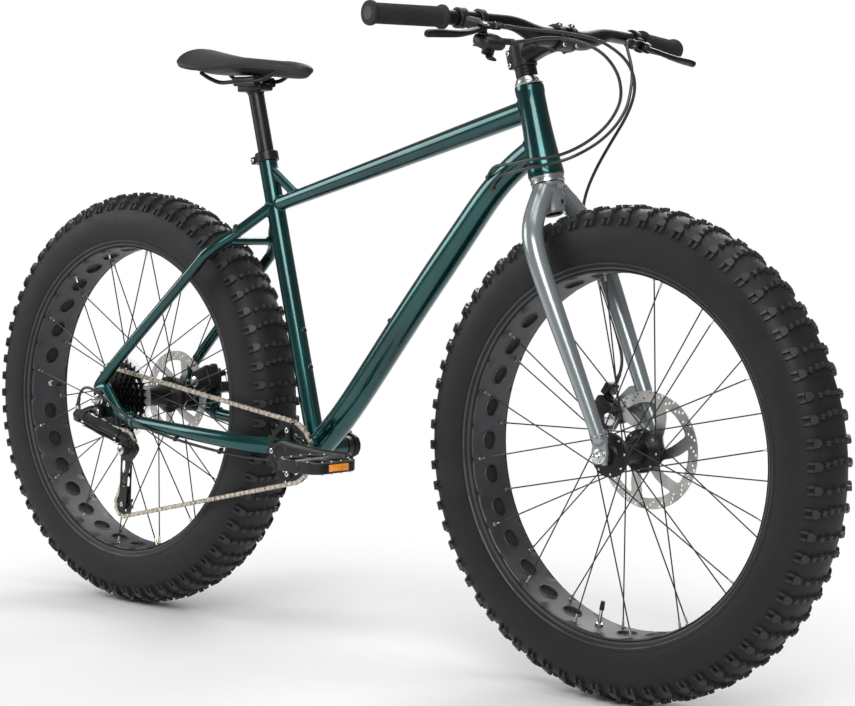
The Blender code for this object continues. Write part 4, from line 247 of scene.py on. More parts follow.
class Socket:
    """A shader output that arithmetic can be written on."""

    def __init__(self, look, link):
        self.look = look
        self.link = link

    def maths(self, operation, *values):
        return self.look.node("ShaderNodeMath", {"operation": operation}, values)

    def sine(self):
        return self.maths("SINE", self)

    def __add__(self, other):
        return self.maths("ADD", self, other)

    def __radd__(self, other):
        return self.maths("ADD", other, self)

    def __sub__(self, other):
        return self.maths("SUBTRACT", self, other)

    def __rsub__(self, other):
        return self.maths("SUBTRACT", other, self)

    def __mul__(self, other):
        return self.maths("MULTIPLY", self, other)

    def __rmul__(self, other):
        return self.maths("MULTIPLY", other, self)

    def __pow__(self, other):
        return self.maths("POWER", self, other)


class Nodes:
    """A node tree whose nodes are written as expressions."""

    def __init__(self, tree):
        self.tree = tree

    def fill(self, socket, value):
        """Gives a socket a number, a colour or a link."""
        if isinstance(value, Socket):
            self.tree.links.new(value.link, socket)
        elif isinstance(value, (tuple, list)) and len(value) == 3 and socket.type == "RGBA":
            socket.default_value = (*value, 1)
        else:
            socket.default_value = value

    def node(self, kind, settings=None, values=(), out=0):
        """Adds a node with its settings, then the numbers or links of its sockets."""
        made = self.tree.nodes.new(kind)
        for label, value in (settings or {}).items():
            setattr(made, label, value)
        pairs = values.items() if isinstance(values, dict) else enumerate(values)
        for key, value in pairs:
            self.fill(made.inputs[key], value)
        return Socket(self, made.outputs[out])

    def seen(self):
        """1 for rays straight from the camera or through clear pieces, and 0 for the rest."""
        camera = self.node("ShaderNodeLightPath", out="Is Camera Ray")
        through = Socket(self, camera.link.node.outputs["Is Transmission Ray"])
        return camera.maths("MAXIMUM", camera, through)


class Look(Nodes):
    """One finish: a Principled surface."""

    def __init__(self, name, **constants):
        self.material = bpy.data.materials.new(name)
        self.material.use_nodes = True
        super().__init__(self.material.node_tree)
        self.surface = self.tree.nodes["Principled BSDF"]
        for label, value in constants.items():
            self.set(label.replace("_", " ").title().replace("Ior", "IOR"), value)

    def set(self, label, value):
        """Fills one of the surface's own sockets."""
        self.fill(self.surface.inputs[label], value)

    def place(self):
        """Where a point lies on its own piece."""
        return self.node("ShaderNodeTexCoord", out="Object")

    def split(self):
        """The three numbers of a point's place on its piece."""
        node = self.node("ShaderNodeSeparateXYZ", values=[self.place()]).link.node
        return [Socket(self, node.outputs[i]) for i in range(3)]

    def noise(self, scale, detail=3.0, stretch=(1, 1, 1)):
        """Soft random values between 0 and 1."""
        mapping = {"Vector": self.place(), "Scale": stretch}
        vector = self.node("ShaderNodeMapping", values=mapping)
        values = {"Vector": vector, "Scale": scale, "Detail": detail}
        return self.node("ShaderNodeTexNoise", values=values)

    def cells(self, scale, feature="F1", out="Distance"):
        """Distances within a pattern of random cells."""
        values = {"Vector": self.place(), "Scale": scale}
        return self.node("ShaderNodeTexVoronoi", {"feature": feature}, values, out)

    def ramp(self, value, low, high):
        """A value stretched so that low becomes 0 and high becomes 1."""
        values = {"Value": value, "From Min": low, "From Max": high}
        return self.node("ShaderNodeMapRange", values=values)

    def smudge(self, scale, detail, low, high):
        """Soft patches, 0 below low and 1 above high."""
        return self.ramp(self.noise(scale, detail), low, high)

    def blend(self, mask, first, second):
        """The first colour where the mask is 0 and the second where it is 1."""
        values = {0: mask, 6: first, 7: second}
        return self.node("ShaderNodeMix", {"data_type": "RGBA"}, values, 2)

    def bump(self, height, strength, distance):
        """Relief from a height value."""
        values = {"Height": height, "Strength": strength, "Distance": distance}
        self.set("Normal", self.node("ShaderNodeBump", values=values))

    def edges(self):
        """1 on worn convex edges and 0 elsewhere."""
        point = self.node("ShaderNodeNewGeometry", out="Pointiness")
        return self.ramp(point, 0.53, 0.60)


def lighter(colour, gain, lift):
    """A colour multiplied by gain and raised by lift."""
    return tuple(value * gain + lift for value in colour)


def painted(name, colour, bright, flake, metallic=0.82):
    """Metallic paint under a clear coat."""
    look = Look(name, metallic=metallic, coat_weight=0.8, coat_roughness=0.04)
    flakes = look.cells(2600.0, out="Color")
    sparkle = look.node("ShaderNodeSeparateColor", values=[flakes])
    cloud = look.smudge(9.0, 3.0, 0.35, 0.7)
    base = look.blend(cloud * 0.35, colour, bright)
    look.set("Base Color", look.blend(look.ramp(sparkle, 0.55, 1.0) * flake, base, bright))
    look.set("Roughness", 0.20 + look.noise(40.0) * 0.10)
    look.bump(look.noise(320.0, 2.0) + look.noise(24.0, 1.0) * 0.6, 0.05, 0.0004)
    return look


def dark_alloy(name, colour, roughness, wear):
    """Anodised or powder coated metal, lighter where edges are rubbed."""
    look = Look(name, metallic=0.55)
    grain = look.noise(900.0, 2.0)
    smudge = look.noise(14.0, 4.0)
    base = look.blend(look.ramp(smudge, 0.35, 0.75) * 0.5, colour, lighter(colour, 1.9, 0.01))
    look.set("Base Color", look.blend(look.edges() * wear, base, (0.09, 0.09, 0.09)))
    look.set("Roughness", roughness + look.ramp(smudge, 0.3, 0.8) * 0.14)
    look.bump(grain, 0.10, 0.0003)
    return look


def moulded(name, colour, roughness):
    """Moulded plastic with a fine spark-eroded grain."""
    look = Look(name, specular_ior_level=0.45)
    smudge = look.noise(20.0, 3.0)
    dusty = lighter(colour, 1.7, 0.006)
    look.set("Base Color", look.blend(look.ramp(smudge, 0.3, 0.8) * 0.6, colour, dusty))
    look.set("Roughness", roughness + look.ramp(smudge, 0.3, 0.8) * 0.12)
    look.bump(look.cells(1500.0) + look.noise(700.0, 2.0) * 0.5, 0.16, 0.0003)
    return look


def tyre_rubber(name, colour, dust, roughness):
    """Black rubber with dust, a painted sheen on its outer faces and moulding lines on its walls.
    """
    look = Look(name, specular_ior_level=0.32)
    x, _, z = look.split()
    reach = (x * x + z * z) ** 0.5
    lines = (reach * 2100.0).sine()
    wall = look.ramp(reach, 0.352, 0.338)
    smudge = look.smudge(26.0, 5.0, 0.42, 0.72)
    grain = look.noise(420.0, 3.0)
    # Painted sheen: faces far from the axle are lightened, as where light catches the tops.
    top = look.ramp(reach, 0.350, 0.372)
    # So the dust colour takes real dust patches and grain as well as this painted sheen.
    mask = smudge * 0.35 + top * 0.30 + grain * 0.25
    look.set("Base Color", look.blend(mask, colour, dust))
    look.set("Roughness", roughness + smudge * 0.14 + grain * 0.10)
    look.bump(grain * 0.7 + lines * wall * 0.18 + look.noise(90.0, 2.0) * 0.6, 0.30, 0.0006)
    return look


def grip_rubber(name, colour):
    """Soft rubber with a fine diamond texture."""
    look = Look(name, specular_ior_level=0.35)
    x, y, z = look.split()
    first = ((y + z) * 2400.0).sine()
    second = ((y - z + x) * 2400.0).sine()
    smudge = look.smudge(30.0, 4.0, 0.35, 0.75)
    look.set("Base Color", look.blend(smudge * 0.7, colour, lighter(colour, 1.6, 0.01)))
    look.set("Roughness", 0.66 + smudge * 0.14)
    look.bump(first * second + look.noise(600.0, 2.0) * 0.4, 0.22, 0.0004)
    return look


def bright_metal(name, colour, roughness, dull):
    """Bare polished metal with faint scratches and dull patches."""
    look = Look(name, metallic=1.0)
    scratches = look.noise(180.0, 4.0, (1, 14, 1))
    smudge = look.smudge(22.0, 4.0, 0.4, 0.75)
    look.set("Base Color", look.blend(smudge * 0.6 + scratches * 0.15, colour, dull))
    look.set("Roughness", roughness + smudge * 0.12 + look.ramp(scratches, 0.5, 0.8) * 0.10)
    look.bump(scratches, 0.06, 0.0002)
    return look


def ground_disc(name, colour, dull):
    """Steel ground in circles round the axle."""
    look = Look(name, metallic=1.0)
    x, _, z = look.split()
    reach = (x * x + z * z) ** 0.5
    values = {"W": reach * 2600.0, "Scale": 1.0, "Detail": 2.0}
    rings = look.node("ShaderNodeTexNoise", {"noise_dimensions": "1D"}, values)
    smudge = look.smudge(30.0, 3.0, 0.4, 0.7)
    look.set("Base Color", look.blend(rings * 0.45 + smudge * 0.3, colour, dull))
    look.set("Roughness", 0.24 + rings * 0.16 + smudge * 0.08)
    look.bump(rings, 0.10, 0.0002)
    return look


def chain_steel(name, colour, grime):
    """Plated chain steel with oil and dust in its gaps."""
    look = Look(name, metallic=1.0)
    smudge = look.smudge(160.0, 4.0, 0.40, 0.70)
    look.set("Base Color", look.blend(smudge * 0.75, colour, grime))
    look.set("Roughness", 0.30 + smudge * 0.25)
    look.bump(look.noise(700.0, 2.0), 0.08, 0.0002)
    return look


def saddle_cover(name, colour):
    """Smooth synthetic leather with a fine pebble."""
    look = Look(name, specular_ior_level=0.45)
    pebble = look.cells(950.0, "SMOOTH_F1")
    smudge = look.smudge(14.0, 4.0, 0.35, 0.75)
    mask = smudge * 0.6 + look.ramp(pebble, 0.3, 0.9) * 0.25
    look.set("Base Color", look.blend(mask, colour, lighter(colour, 1.5, 0.008)))
    look.set("Roughness", 0.46 + smudge * 0.14)
    look.bump(pebble + look.noise(260.0, 2.0) * 0.4, 0.18, 0.0004)
    return look


def cable_cover(name, colour):
    """Extruded cable housing with a soft shine."""
    look = Look(name, coat_weight=0.25, coat_roughness=0.25)
    smudge = look.smudge(60.0, 3.0, 0.35, 0.75)
    look.set("Base Color", look.blend(smudge * 0.6, colour, (0.045, 0.045, 0.045)))
    look.set("Roughness", 0.34 + smudge * 0.14)
    look.bump(look.noise(240.0, 2.0), 0.08, 0.0003)
    return look


def woven_tape(name, colour):
    """The rim's woven tape, seen through its cut-outs."""
    look = Look(name, specular_ior_level=0.3)
    x, y, z = look.split()
    angle = x.maths("ARCTAN2", z, x)
    warp = (angle * 1500.0).sine()
    weft = (y * 5200.0).sine()
    smudge = look.noise(35.0, 3.0)
    dusty = look.blend(look.ramp(smudge, 0.3, 0.8), colour, (0.030, 0.030, 0.030))
    look.set("Base Color", dusty)
    look.set("Roughness", 0.62 + smudge * 0.15)
    look.bump(warp * weft, 0.30, 0.0004)
    return look


def reflector(name, colour):
    """A clear amber face over small prisms, with a faint painted glow."""
    look = Look(name, specular_ior_level=0.8, coat_weight=1.0, coat_roughness=0.03)
    prisms = look.cells(420.0)
    look.set("Base Color", look.blend(look.ramp(prisms, 0.1, 0.8), colour, (1.0, 0.42, 0.05)))
    look.set("Roughness", 0.12 + look.noise(60.0) * 0.08)
    # Painted glow: the prisms give off light of their own, though the reflector is no lamp.
    painted_glow = look.blend(look.ramp(prisms, 0.1, 0.8), (0.5, 0.10, 0.0), (1.0, 0.35, 0.02))
    look.set("Emission Color", painted_glow)
    look.set("Emission Strength", 0.10)
    look.bump(prisms, 0.40, 0.0005)
    return look


def clear_plastic(name, colour):
    """A thin clear guard, a little scuffed."""
    look = Look(name, specular_ior_level=0.6)
    scuff = look.smudge(70.0, 5.0, 0.5, 0.75)
    look.set("Base Color", look.blend(scuff, colour, (0.75, 0.76, 0.76)))
    look.set("Roughness", 0.12 + scuff * 0.25)
    look.set("Alpha", 0.16 + scuff * 0.14)
    look.bump(scuff, 0.05, 0.0002)
    return look


LOOKS = {}


def make_looks(bike):
    """Every finish on the bicycle, in the colours of the panel."""
    fork, rubber = tuple(bike.fork_colour), tuple(bike.tyre_colour)
    # The tread blocks take a lighter copy of the tyre rubber: a painted sheen, as the blocks are
    # the same rubber as the casing.
    tread = lighter(rubber, 2.4, 0)
    coal, soot = (0.0055,) * 3, (0.010,) * 3
    LOOKS.update(
        frame=painted("teal green paint", tuple(bike.frame_colour), tuple(bike.frame_flake), 0.55),
        fork=painted("blue grey paint", fork, lighter(fork, 1.5, 0), 0.35, 0.45),
        black=dark_alloy("black coated metal", (0.0055, 0.0055, 0.006), 0.30, 0.35),
        dark=dark_alloy("dark grey alloy", (0.014, 0.014, 0.015), 0.32, 0.35),
        rim=dark_alloy("charcoal rim coating", tuple(bike.rim_colour), 0.44, 0.5),
        plastic=moulded("black plastic", coal, 0.40),
        tyre=tyre_rubber("tyre rubber", rubber, (0.018, 0.018, 0.019), 0.46),
        tread=tyre_rubber("tread rubber", tread, (0.052, 0.052, 0.054), 0.34),
        grip=grip_rubber("grip rubber", (0.012, 0.012, 0.013)),
        silver=bright_metal("polished alloy", (0.72, 0.72, 0.71), 0.20, (0.42, 0.42, 0.41)),
        nipple=bright_metal("nipple plating", (0.70, 0.63, 0.50), 0.30, (0.38, 0.32, 0.24)),
        disc=ground_disc("ground disc steel", (0.66, 0.65, 0.63), (0.36, 0.35, 0.33)),
        chain=chain_steel("chain plating", (0.58, 0.53, 0.44), (0.16, 0.14, 0.11)),
        cog=chain_steel("cog coating", (0.060,) * 3, (0.025, 0.023, 0.020)),
        saddle=saddle_cover("saddle cover", tuple(bike.saddle_colour)),
        cable=cable_cover("cable housing", (0.010, 0.010, 0.011)),
        tape=woven_tape("rim tape", soot),
        amber=reflector("amber reflector", (0.80, 0.16, 0.01)),
        clear=clear_plastic("clear guard plastic", (0.92, 0.93, 0.93)),
    )


# Mesh building


class Shape:
    """A mesh under construction, with a material slot for each finish used."""

    def __init__(self):
        self.bm = bmesh.new()
        self.looks = []

    def dress(self, faces, look):
        """Gives faces one of the finishes."""
        if look not in self.looks:
            self.looks.append(look)
        index = self.looks.index(look)
        for face in faces:
            face.material_index = index

    def skin(self, rows, look, closed=False, caps=True):
        """Faces over rows of equally many points, each row a closed loop."""
        rows = [[self.bm.verts.new(point) for point in row] for row in rows]
        pairs = list(zip(rows, rows[1:]))
        if closed:
            pairs.append((rows[-1], rows[0]))
        count = len(rows[0])
        faces = []
        for low, high in pairs:
            for i in range(count):
                j = (i + 1) % count
                faces.append(self.bm.faces.new((low[i], low[j], high[j], high[i])))
        if caps and not closed:
            faces.append(self.bm.faces.new(rows[0][::-1]))
            faces.append(self.bm.faces.new(rows[-1]))
        self.dress(faces, look)

    def turn(self, profile, origin, axis, look, sides=48, ring=False, caps=True):
        """A turned body from (radius, height) points, or a turned ring if ring is true."""
        placing = facing(origin, axis)
        rows = []
        for radius, height in profile:
            flat = [around(radius, angle) for angle in turns(sides)]
            rows.append([placing @ Vector((x, y, height)) for x, y in flat])
        self.skin(rows, look, closed=ring, caps=caps)

    def ring(self, low, high, low_radius, high_radius, bore, look, edge=0.0006, sides=48):
        """A bored ring between two points, with eased edges."""
        height = (high - low).length
        profile = [
            (bore, edge),
            (bore + edge, 0),
            (low_radius - edge, 0),
            (low_radius, edge),
            (high_radius, height - edge),
            (high_radius - edge, height),
            (bore + edge, height),
            (bore, height - edge),
        ]
        self.turn(profile, low, high - low, look, sides, True)

    def band(self, centre, half, radius, bore, look, *more):
        """A straight bored ring that reaches as far as half on both sides of its centre."""
        self.ring(centre - half, centre + half, radius, radius, bore, look, *more)

    def rod(self, start, end, radius, look, end_radius=None, sides=24, edge=0.0):
        """A cylinder or cone with eased ends."""
        length = (end - start).length
        last = radius if end_radius is None else end_radius
        profile = [(radius, 0), (last, length)]
        if edge:
            profile = [
                (radius - edge, 0),
                (radius, edge),
                (last, length - edge),
                (last - edge, length),
            ]
        self.turn(profile, start, end - start, look, sides)

    def pin(self, centre, half, radius, look, **more):
        """A cylinder that reaches as far as half on both sides of its centre."""
        self.rod(centre - half, centre + half, radius, look, **more)

    def tube(self, points, radii, look, sides=20, closed=False):
        """A round tube along points, whose section doesn't twist."""
        if not isinstance(radii, (list, tuple)):
            radii = [radii] * len(points)
        count = len(points)
        side = None
        rows = []
        for i, point in enumerate(points):
            if closed:
                along = (points[(i + 1) % count] - points[i - 1]).normalized()
            else:
                along = (points[min(i + 1, count - 1)] - points[max(i - 1, 0)]).normalized()
            if side is None:
                side = along.orthogonal()
            side = (side - along * side.dot(along)).normalized()
            other = along.cross(side)
            row = []
            for angle in turns(sides):
                row.append(point + (side * math.cos(angle) + other * math.sin(angle)) * radii[i])
            rows.append(row)
        self.skin(rows, look, closed=closed)

    def loft(self, points, wide, deep, look, sides=24, across=ACROSS, squareness=1.0):
        """An oval tube: wide along across and deep beside it, squarer below 1."""
        rows = []
        for i, point in enumerate(points):
            along = points[min(i + 1, len(points) - 1)] - points[max(i - 1, 0)]
            placing = facing(point, along, across)
            row = []
            for j in range(sides):
                angle = math.tau * (j + 0.5) / sides
                x, y = (math.copysign(abs(v) ** squareness, v) for v in around(1, angle))
                row.append(placing @ Vector((wide[i] * x, deep[i] * y, 0)))
            rows.append(row)
        self.skin(rows, look)

    def eased_loft(self, stations, look, steps=5, **more):
        """A loft through (x, y, z, wide, deep) stations on a smooth curve."""
        rows = eased(stations, steps)
        points = [Vector(row[:3]) for row in rows]
        self.loft(points, [row[3] for row in rows], [row[4] for row in rows], look, **more)

    def append(self, mesh, look):
        """Adds a mesh and removes it."""
        before = len(self.bm.faces)
        self.bm.from_mesh(mesh)
        self.bm.faces.ensure_lookup_table()
        self.dress(self.bm.faces[before:], look)
        bpy.data.meshes.remove(mesh)

    def box(self, size, placing, look, edge=0.0008, segments=2):
        """A box with rounded edges, placed by a matrix or at a point."""
        if isinstance(placing, Vector):
            placing = Matrix.Translation(placing)
        bm = bmesh.new()
        bmesh.ops.create_cube(bm, size=1.0)
        bm.transform(Matrix.Diagonal((*size, 1)))
        bmesh.ops.bevel(
            bm, geom=bm.edges[:], offset=edge, segments=segments, profile=0.5, affect="EDGES"
        )
        bm.transform(placing)
        mesh = bpy.data.meshes.new("part")
        bm.to_mesh(mesh)
        bm.free()
        self.append(mesh, look)

    def plate(self, loops, thickness, placing, look, edge=0.0003):
        """A flat plate with eased edges: the first loop is its outline and the others are holes."""
        curve = bpy.data.curves.new("outline", "CURVE")
        curve.dimensions = "2D"
        curve.fill_mode = "BOTH"
        curve.extrude = thickness / 2 - edge
        curve.bevel_depth = edge
        curve.bevel_resolution = 0
        curve.offset = -edge
        for loop in loops:
            spline = curve.splines.new("POLY")
            spline.points.add(len(loop) - 1)
            for spot, (x, y) in zip(spline.points, loop):
                spot.co = (x, y, 0, 1)
            spline.use_cyclic_u = True
        helper = added("outline", curve)
        bpy.context.view_layer.update()
        graph = bpy.context.evaluated_depsgraph_get()
        mesh = bpy.data.meshes.new_from_object(helper.evaluated_get(graph))
        bpy.data.objects.remove(helper)
        bpy.data.curves.remove(curve)
        mesh.transform(placing)
        self.append(mesh, look)

    def side_plate(self, centre, loops, thickness, y, look, edge=0.0003):
        """A plate that stands lengthwise at y; its loops hold (x, z) places round a centre."""
        placed = [[(centre.x + x, centre.z + z) for x, z in loop] for loop in loops]
        upright = Matrix.Translation((0, y, 0)) @ Matrix.Rotation(math.pi / 2, 4, "X")
        self.plate(placed, thickness, upright, look, edge)

    def bolt(self, foot, way, radius, height, look):
        """A round bolt head with a hexagon socket, drawn as a thin black hexagon on its face:
        painted shade in place of the recess.
        """
        way = way.normalized()
        hole = radius * 0.5
        profile = [(radius, 0), (radius, height * 0.75), (radius * 0.82, height)]
        self.turn([*profile, (hole * 1.1, height)], foot, way, look, 20)
        # The socket is no recess: a thin black hexagon paints its shade on the head.
        self.turn([(hole, height * 0.98), (hole, height * 1.03)], foot, way, "plastic", 6)

    def bead(self, points, thickness, wave, look):
        """A closed weld bead whose ripples come round every wave points."""
        swell = [0.80 + 0.28 * abs(math.sin(math.pi * i / wave)) for i in range(len(points))]
        self.tube(points, [thickness * share for share in swell], look, 8, closed=True)

    def bead_ring(self, centre, way, radius, look, thickness):
        """A rippled weld bead round a tube."""
        placing = facing(centre, way)
        points = [placing @ Vector((*around(radius, angle), 0)) for angle in turns(60)]
        self.bead(points, thickness, 2.5, look)

    def weld(self, start, way, radius, root, axis, root_radius, look, thickness):
        """A rippled weld bead where a round tube meets another, whose axis is given."""
        placing = facing(start, way)
        axis = axis.normalized()
        way = way.normalized()
        points = []
        for angle in turns(96):
            spot = placing @ Vector((*around(radius, angle), 0))
            offset = spot - root
            across = offset - axis * offset.dot(axis)
            run = way - axis * way.dot(axis)
            a, b = run.dot(run), 2 * across.dot(run)
            c = across.dot(across) - root_radius**2
            reach = (-b - math.sqrt(max(b * b - 4 * a * c, 0))) / (2 * a)
            points.append(spot + way * reach)
        self.bead(points, thickness, 3, look)

    def piece(self, name, body, slot, replaces=(), origin=None, sharp=38):
        """The finished object, riding on its body."""
        bmesh.ops.remove_doubles(self.bm, verts=self.bm.verts, dist=0.000001)
        bmesh.ops.recalc_face_normals(self.bm, faces=self.bm.faces)
        origin = origin or Vector()
        self.bm.transform(Matrix.Translation(-origin))
        mesh = bpy.data.meshes.new(name)
        self.bm.to_mesh(mesh)
        self.bm.free()
        for look in self.looks:
            mesh.materials.append(LOOKS[look].material)
        mesh.shade_smooth()
        mesh.set_sharp_from_angle(angle=math.radians(sharp))
        obj = added(name, mesh)
        obj.location = origin
        bpy.context.view_layer.update()
        if body:
            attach(obj, body)
        if replaces:
            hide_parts(*replaces)
        return obj


# Wheels

CASING_HALF = [
    (0.3656, 0.0150),
    (0.3620, 0.0265),
    (0.3558, 0.0370),
    (0.3475, 0.0452),
    (0.3370, 0.0502),
    (0.3250, 0.0527),
    (0.3120, 0.0533),
    (0.3000, 0.0524),
    (0.2880, 0.0496),
    (0.2795, 0.0462),
]
CASING = eased(
    [*((r, -y) for r, y in CASING_HALF[::-1]), (0.3673, 0.0), *CASING_HALF],
    2,
)[len(CASING_HALF) * 2 :]


def casing(across, height=0.0):
    """The (radius, y) at a way across the tread from its middle, raised by height."""
    side = -1 if across < 0 else 1
    left = abs(across)
    for (r, y), (next_r, next_y) in zip(CASING, CASING[1:]):
        step = math.hypot(next_r - r, next_y - y)
        if left <= step:
            break
        left -= step
    share = left / step
    rise, out = (next_y - y) / step, (r - next_r) / step
    width = y + (next_y - y) * share + out * height
    return r + (next_r - r) * share + rise * height, side * width


# Blocks of the tread: (way across, start, end) stations along one side
BLOCK_SINK = 0.001
BLOCK_TAPER = 0.0008
SHOULDER_BASE = ((0.0375, -0.0040, 0.0040), (0.0425, -0.0072, 0.0072), (0.0490, -0.0076, 0.0076))
SHOULDER_PRONGS = (
    ((0.0480, -0.0078, -0.0022), (0.0540, -0.0078, -0.0022), (0.0585, -0.0070, -0.0030)),
    ((0.0480, 0.0022, 0.0078), (0.0540, 0.0022, 0.0078), (0.0585, 0.0030, 0.0070)),
)
OUTER_BLOCKS = (
    ((0.0105, -0.0028, 0.0052), (0.0165, -0.0032, 0.0056)),
    ((0.0255, -0.0052, 0.0028), (0.0315, -0.0056, 0.0032)),
)
LINKING_RIDGE = ((0.0135, -0.0002, 0.0026), (0.0285, -0.0026, 0.0002))
ARCH_HALF = 0.039
ARCH_LEAD = 0.0072
ARCH_BLOCKS = (-0.0315, -0.0200, -0.0080, 0.0080, 0.0200, 0.0315)


def knob(shape, hub, angle, stations, height, side=1):
    """A rubber block on the casing, from (way across, start, end) stations on one side."""
    last = len(stations) - 1
    way = 1 if side * (stations[-1][0] - stations[0][0]) > 0 else -1
    rows = []
    for i, (across, start, end) in enumerate(stations):
        inset = 0.0
        if i in (0, last):
            inset = BLOCK_TAPER * way * (1 if i == 0 else -1)
        row = []
        for place, rise in (
            (start, -BLOCK_SINK),
            (start + BLOCK_TAPER, height),
            (end - BLOCK_TAPER, height),
            (end, -BLOCK_SINK),
        ):
            radius, y = casing(side * across + (inset if rise > 0 else 0.0), rise)
            row.append(hub + polar(radius, angle + place / radius, y))
        rows.append(row)
    # The blocks take the lighter tread rubber, which paints a sheen on them.
    shape.skin(rows, "tread")


def arch_lead(across):
    """How far the curved ridge over the tread runs ahead of its ends."""
    return ARCH_LEAD * math.cos(across / ARCH_HALF * math.pi / 2)


def draw_tyre(name, hub, body, bike):
    """A casing with forked shoulder blocks and ribbed rows of small centre blocks."""
    shape = Shape()
    outer = [(r, -y) for r, y in CASING[::-1]] + CASING[1:]
    inner = [(r - 0.0032, y * 0.93) for r, y in outer[::-1]]
    shape.turn([*outer, *inner], hub, ACROSS, "tyre", 144, True)
    for place in (0.0488, -0.0488):
        for reach, swell in ((0.2895, 1.015), (0.3020, 1.045)):
            line = [hub + polar(reach, angle, place * swell) for angle in turns(120)]
            shape.tube(line, 0.0011, "tyre", 6, closed=True)
    tall = bike.tread_height
    count = bike.tread_pitches
    for i in range(count):
        angle = math.tau * (i + 0.5) / count
        for side in (-1, 1):
            knob(shape, hub, angle, SHOULDER_BASE, tall * 0.95, side)
            for prong in SHOULDER_PRONGS:
                knob(shape, hub, angle, prong, tall * 0.72, side)
        if i % 2:
            middle = [(across, -0.0034, 0.0034) for across in (-0.0034, 0.0034)]
            knob(shape, hub, angle, middle, tall * 0.85)
            for side in (-1, 1):
                for block in OUTER_BLOCKS:
                    knob(shape, hub, angle, block, tall, side)
                knob(shape, hub, angle, LINKING_RIDGE, tall * 0.5, side)
        else:
            ways = [ARCH_HALF * (j / 7 - 1) for j in range(15)]
            arch = [(s, arch_lead(s) - 0.0017, arch_lead(s) + 0.0017) for s in ways]
            knob(shape, hub, angle, arch, tall * 0.55)
            for middle in ARCH_BLOCKS:
                ends = ((middle - 0.0032, 0.0042), (middle + 0.0032, 0.0046))
                block = [(s, arch_lead(s) - half, arch_lead(s) + half) for s, half in ends]
                knob(shape, hub, angle, block, tall)
    shape.piece(name, body, "rubber", [f"tyre_{body.split('_')[0]}"], hub, 30)


RIM_FLAT = 0.036


def rim_wall(y):
    """The rim's inner face: flat in the middle and curling up to its edges."""
    lift = max(abs(y) - RIM_FLAT, 0) / (RIM_HALF - RIM_FLAT)
    return RIM_FLOOR + (RIM_RADIUS - RIM_FLOOR) * lift**2.2


# Round each cut-out: (share of the way in from its square cell, lip's width, lip's fall)
CUT_OUT_ROWS = (
    (0.0, 0.0024, 0.0),
    (0.30, 0.0024, 0.0),
    (0.60, 0.0024, 0.0),
    (0.85, 0.0024, 0.0),
    (1.0, 0.0024, 0.0),
    (1.0, 0.0016, 0.0012),
    (1.0, 0.0004, 0.0014),
    (1.0, 0.0, 0.0006),
    (1.0, 0.0, -0.0026),
)
CUT_OUT_RADIUS = 0.0146
VALVE_HOLE_RADIUS = 0.0042


def draw_rim(name, hub, body, valve, node):
    """A wide single-wall rim with lipped round cut-outs over woven tape."""
    shape = Shape()
    half_turn = math.pi / RIM_HOLES
    for i, middle in enumerate(turns(RIM_HOLES, valve)):
        hole = CUT_OUT_RADIUS if i else VALVE_HOLE_RADIUS
        rows = []
        for share, lip, fall in CUT_OUT_ROWS:
            row = []
            for turn in turns(32):
                x, y = around(1, turn)
                most = max(abs(x), abs(y))
                square = (x / most * half_turn, y / most * RIM_HALF)
                ring = (x * (hole + lip) / RIM_FLOOR, y * (hole + lip))
                angle, side = (a + (b - a) * share for a, b in zip(square, ring))
                row.append(hub + polar(rim_wall(side) - fall, middle + angle, side))
            rows.append(row)
        shape.skin(rows, "rim", caps=False)
    wall = [
        (RIM_RADIUS, RIM_HALF),
        (RIM_RADIUS + 0.0006, RIM_HALF - 0.0008),
        (RIM_RADIUS, RIM_HALF - 0.0024),
        (RIM_FLOOR + 0.0050, RIM_HALF - 0.0044),
        (RIM_FLOOR + 0.0030, RIM_HALF - 0.0080),
    ]
    for side in (-1, 1):
        shape.turn([(r, y * side) for r, y in wall], hub, ACROSS, "rim", 128, caps=False)
    tape = RIM_FLOOR + 0.0027
    shape.turn([(tape, -0.0440), (tape, 0.0440)], hub, ACROSS, "tape", 128, caps=False)
    out = polar(1, valve)
    seat = hub + out * RIM_FLOOR
    shape.rod(seat, hub + out * (RIM_FLOOR - 0.0040), 0.0060, "silver", sides=6)
    shape.rod(seat, hub + out * (RIM_FLOOR - 0.0270), 0.0028, "silver", sides=14)
    low, high = hub + out * (RIM_FLOOR - 0.0250), hub + out * (RIM_FLOOR - 0.0390)
    shape.rod(low, high, 0.0040, "plastic", 0.0033, 12, 0.0006)
    shape.piece(name, body, "dark_metal", [node], hub, 40)


FLANGE_RADIUS = 0.033
SPOKE_HEAD = [(0.0022, 0), (0.0021, 0.0007), (0.0012, 0.0013)]
NIPPLE = [(0.0030, 0), (0.0030, 0.0012), (0.0021, 0.0018), (0.0019, 0.0105), (0.0014, 0.0130)]


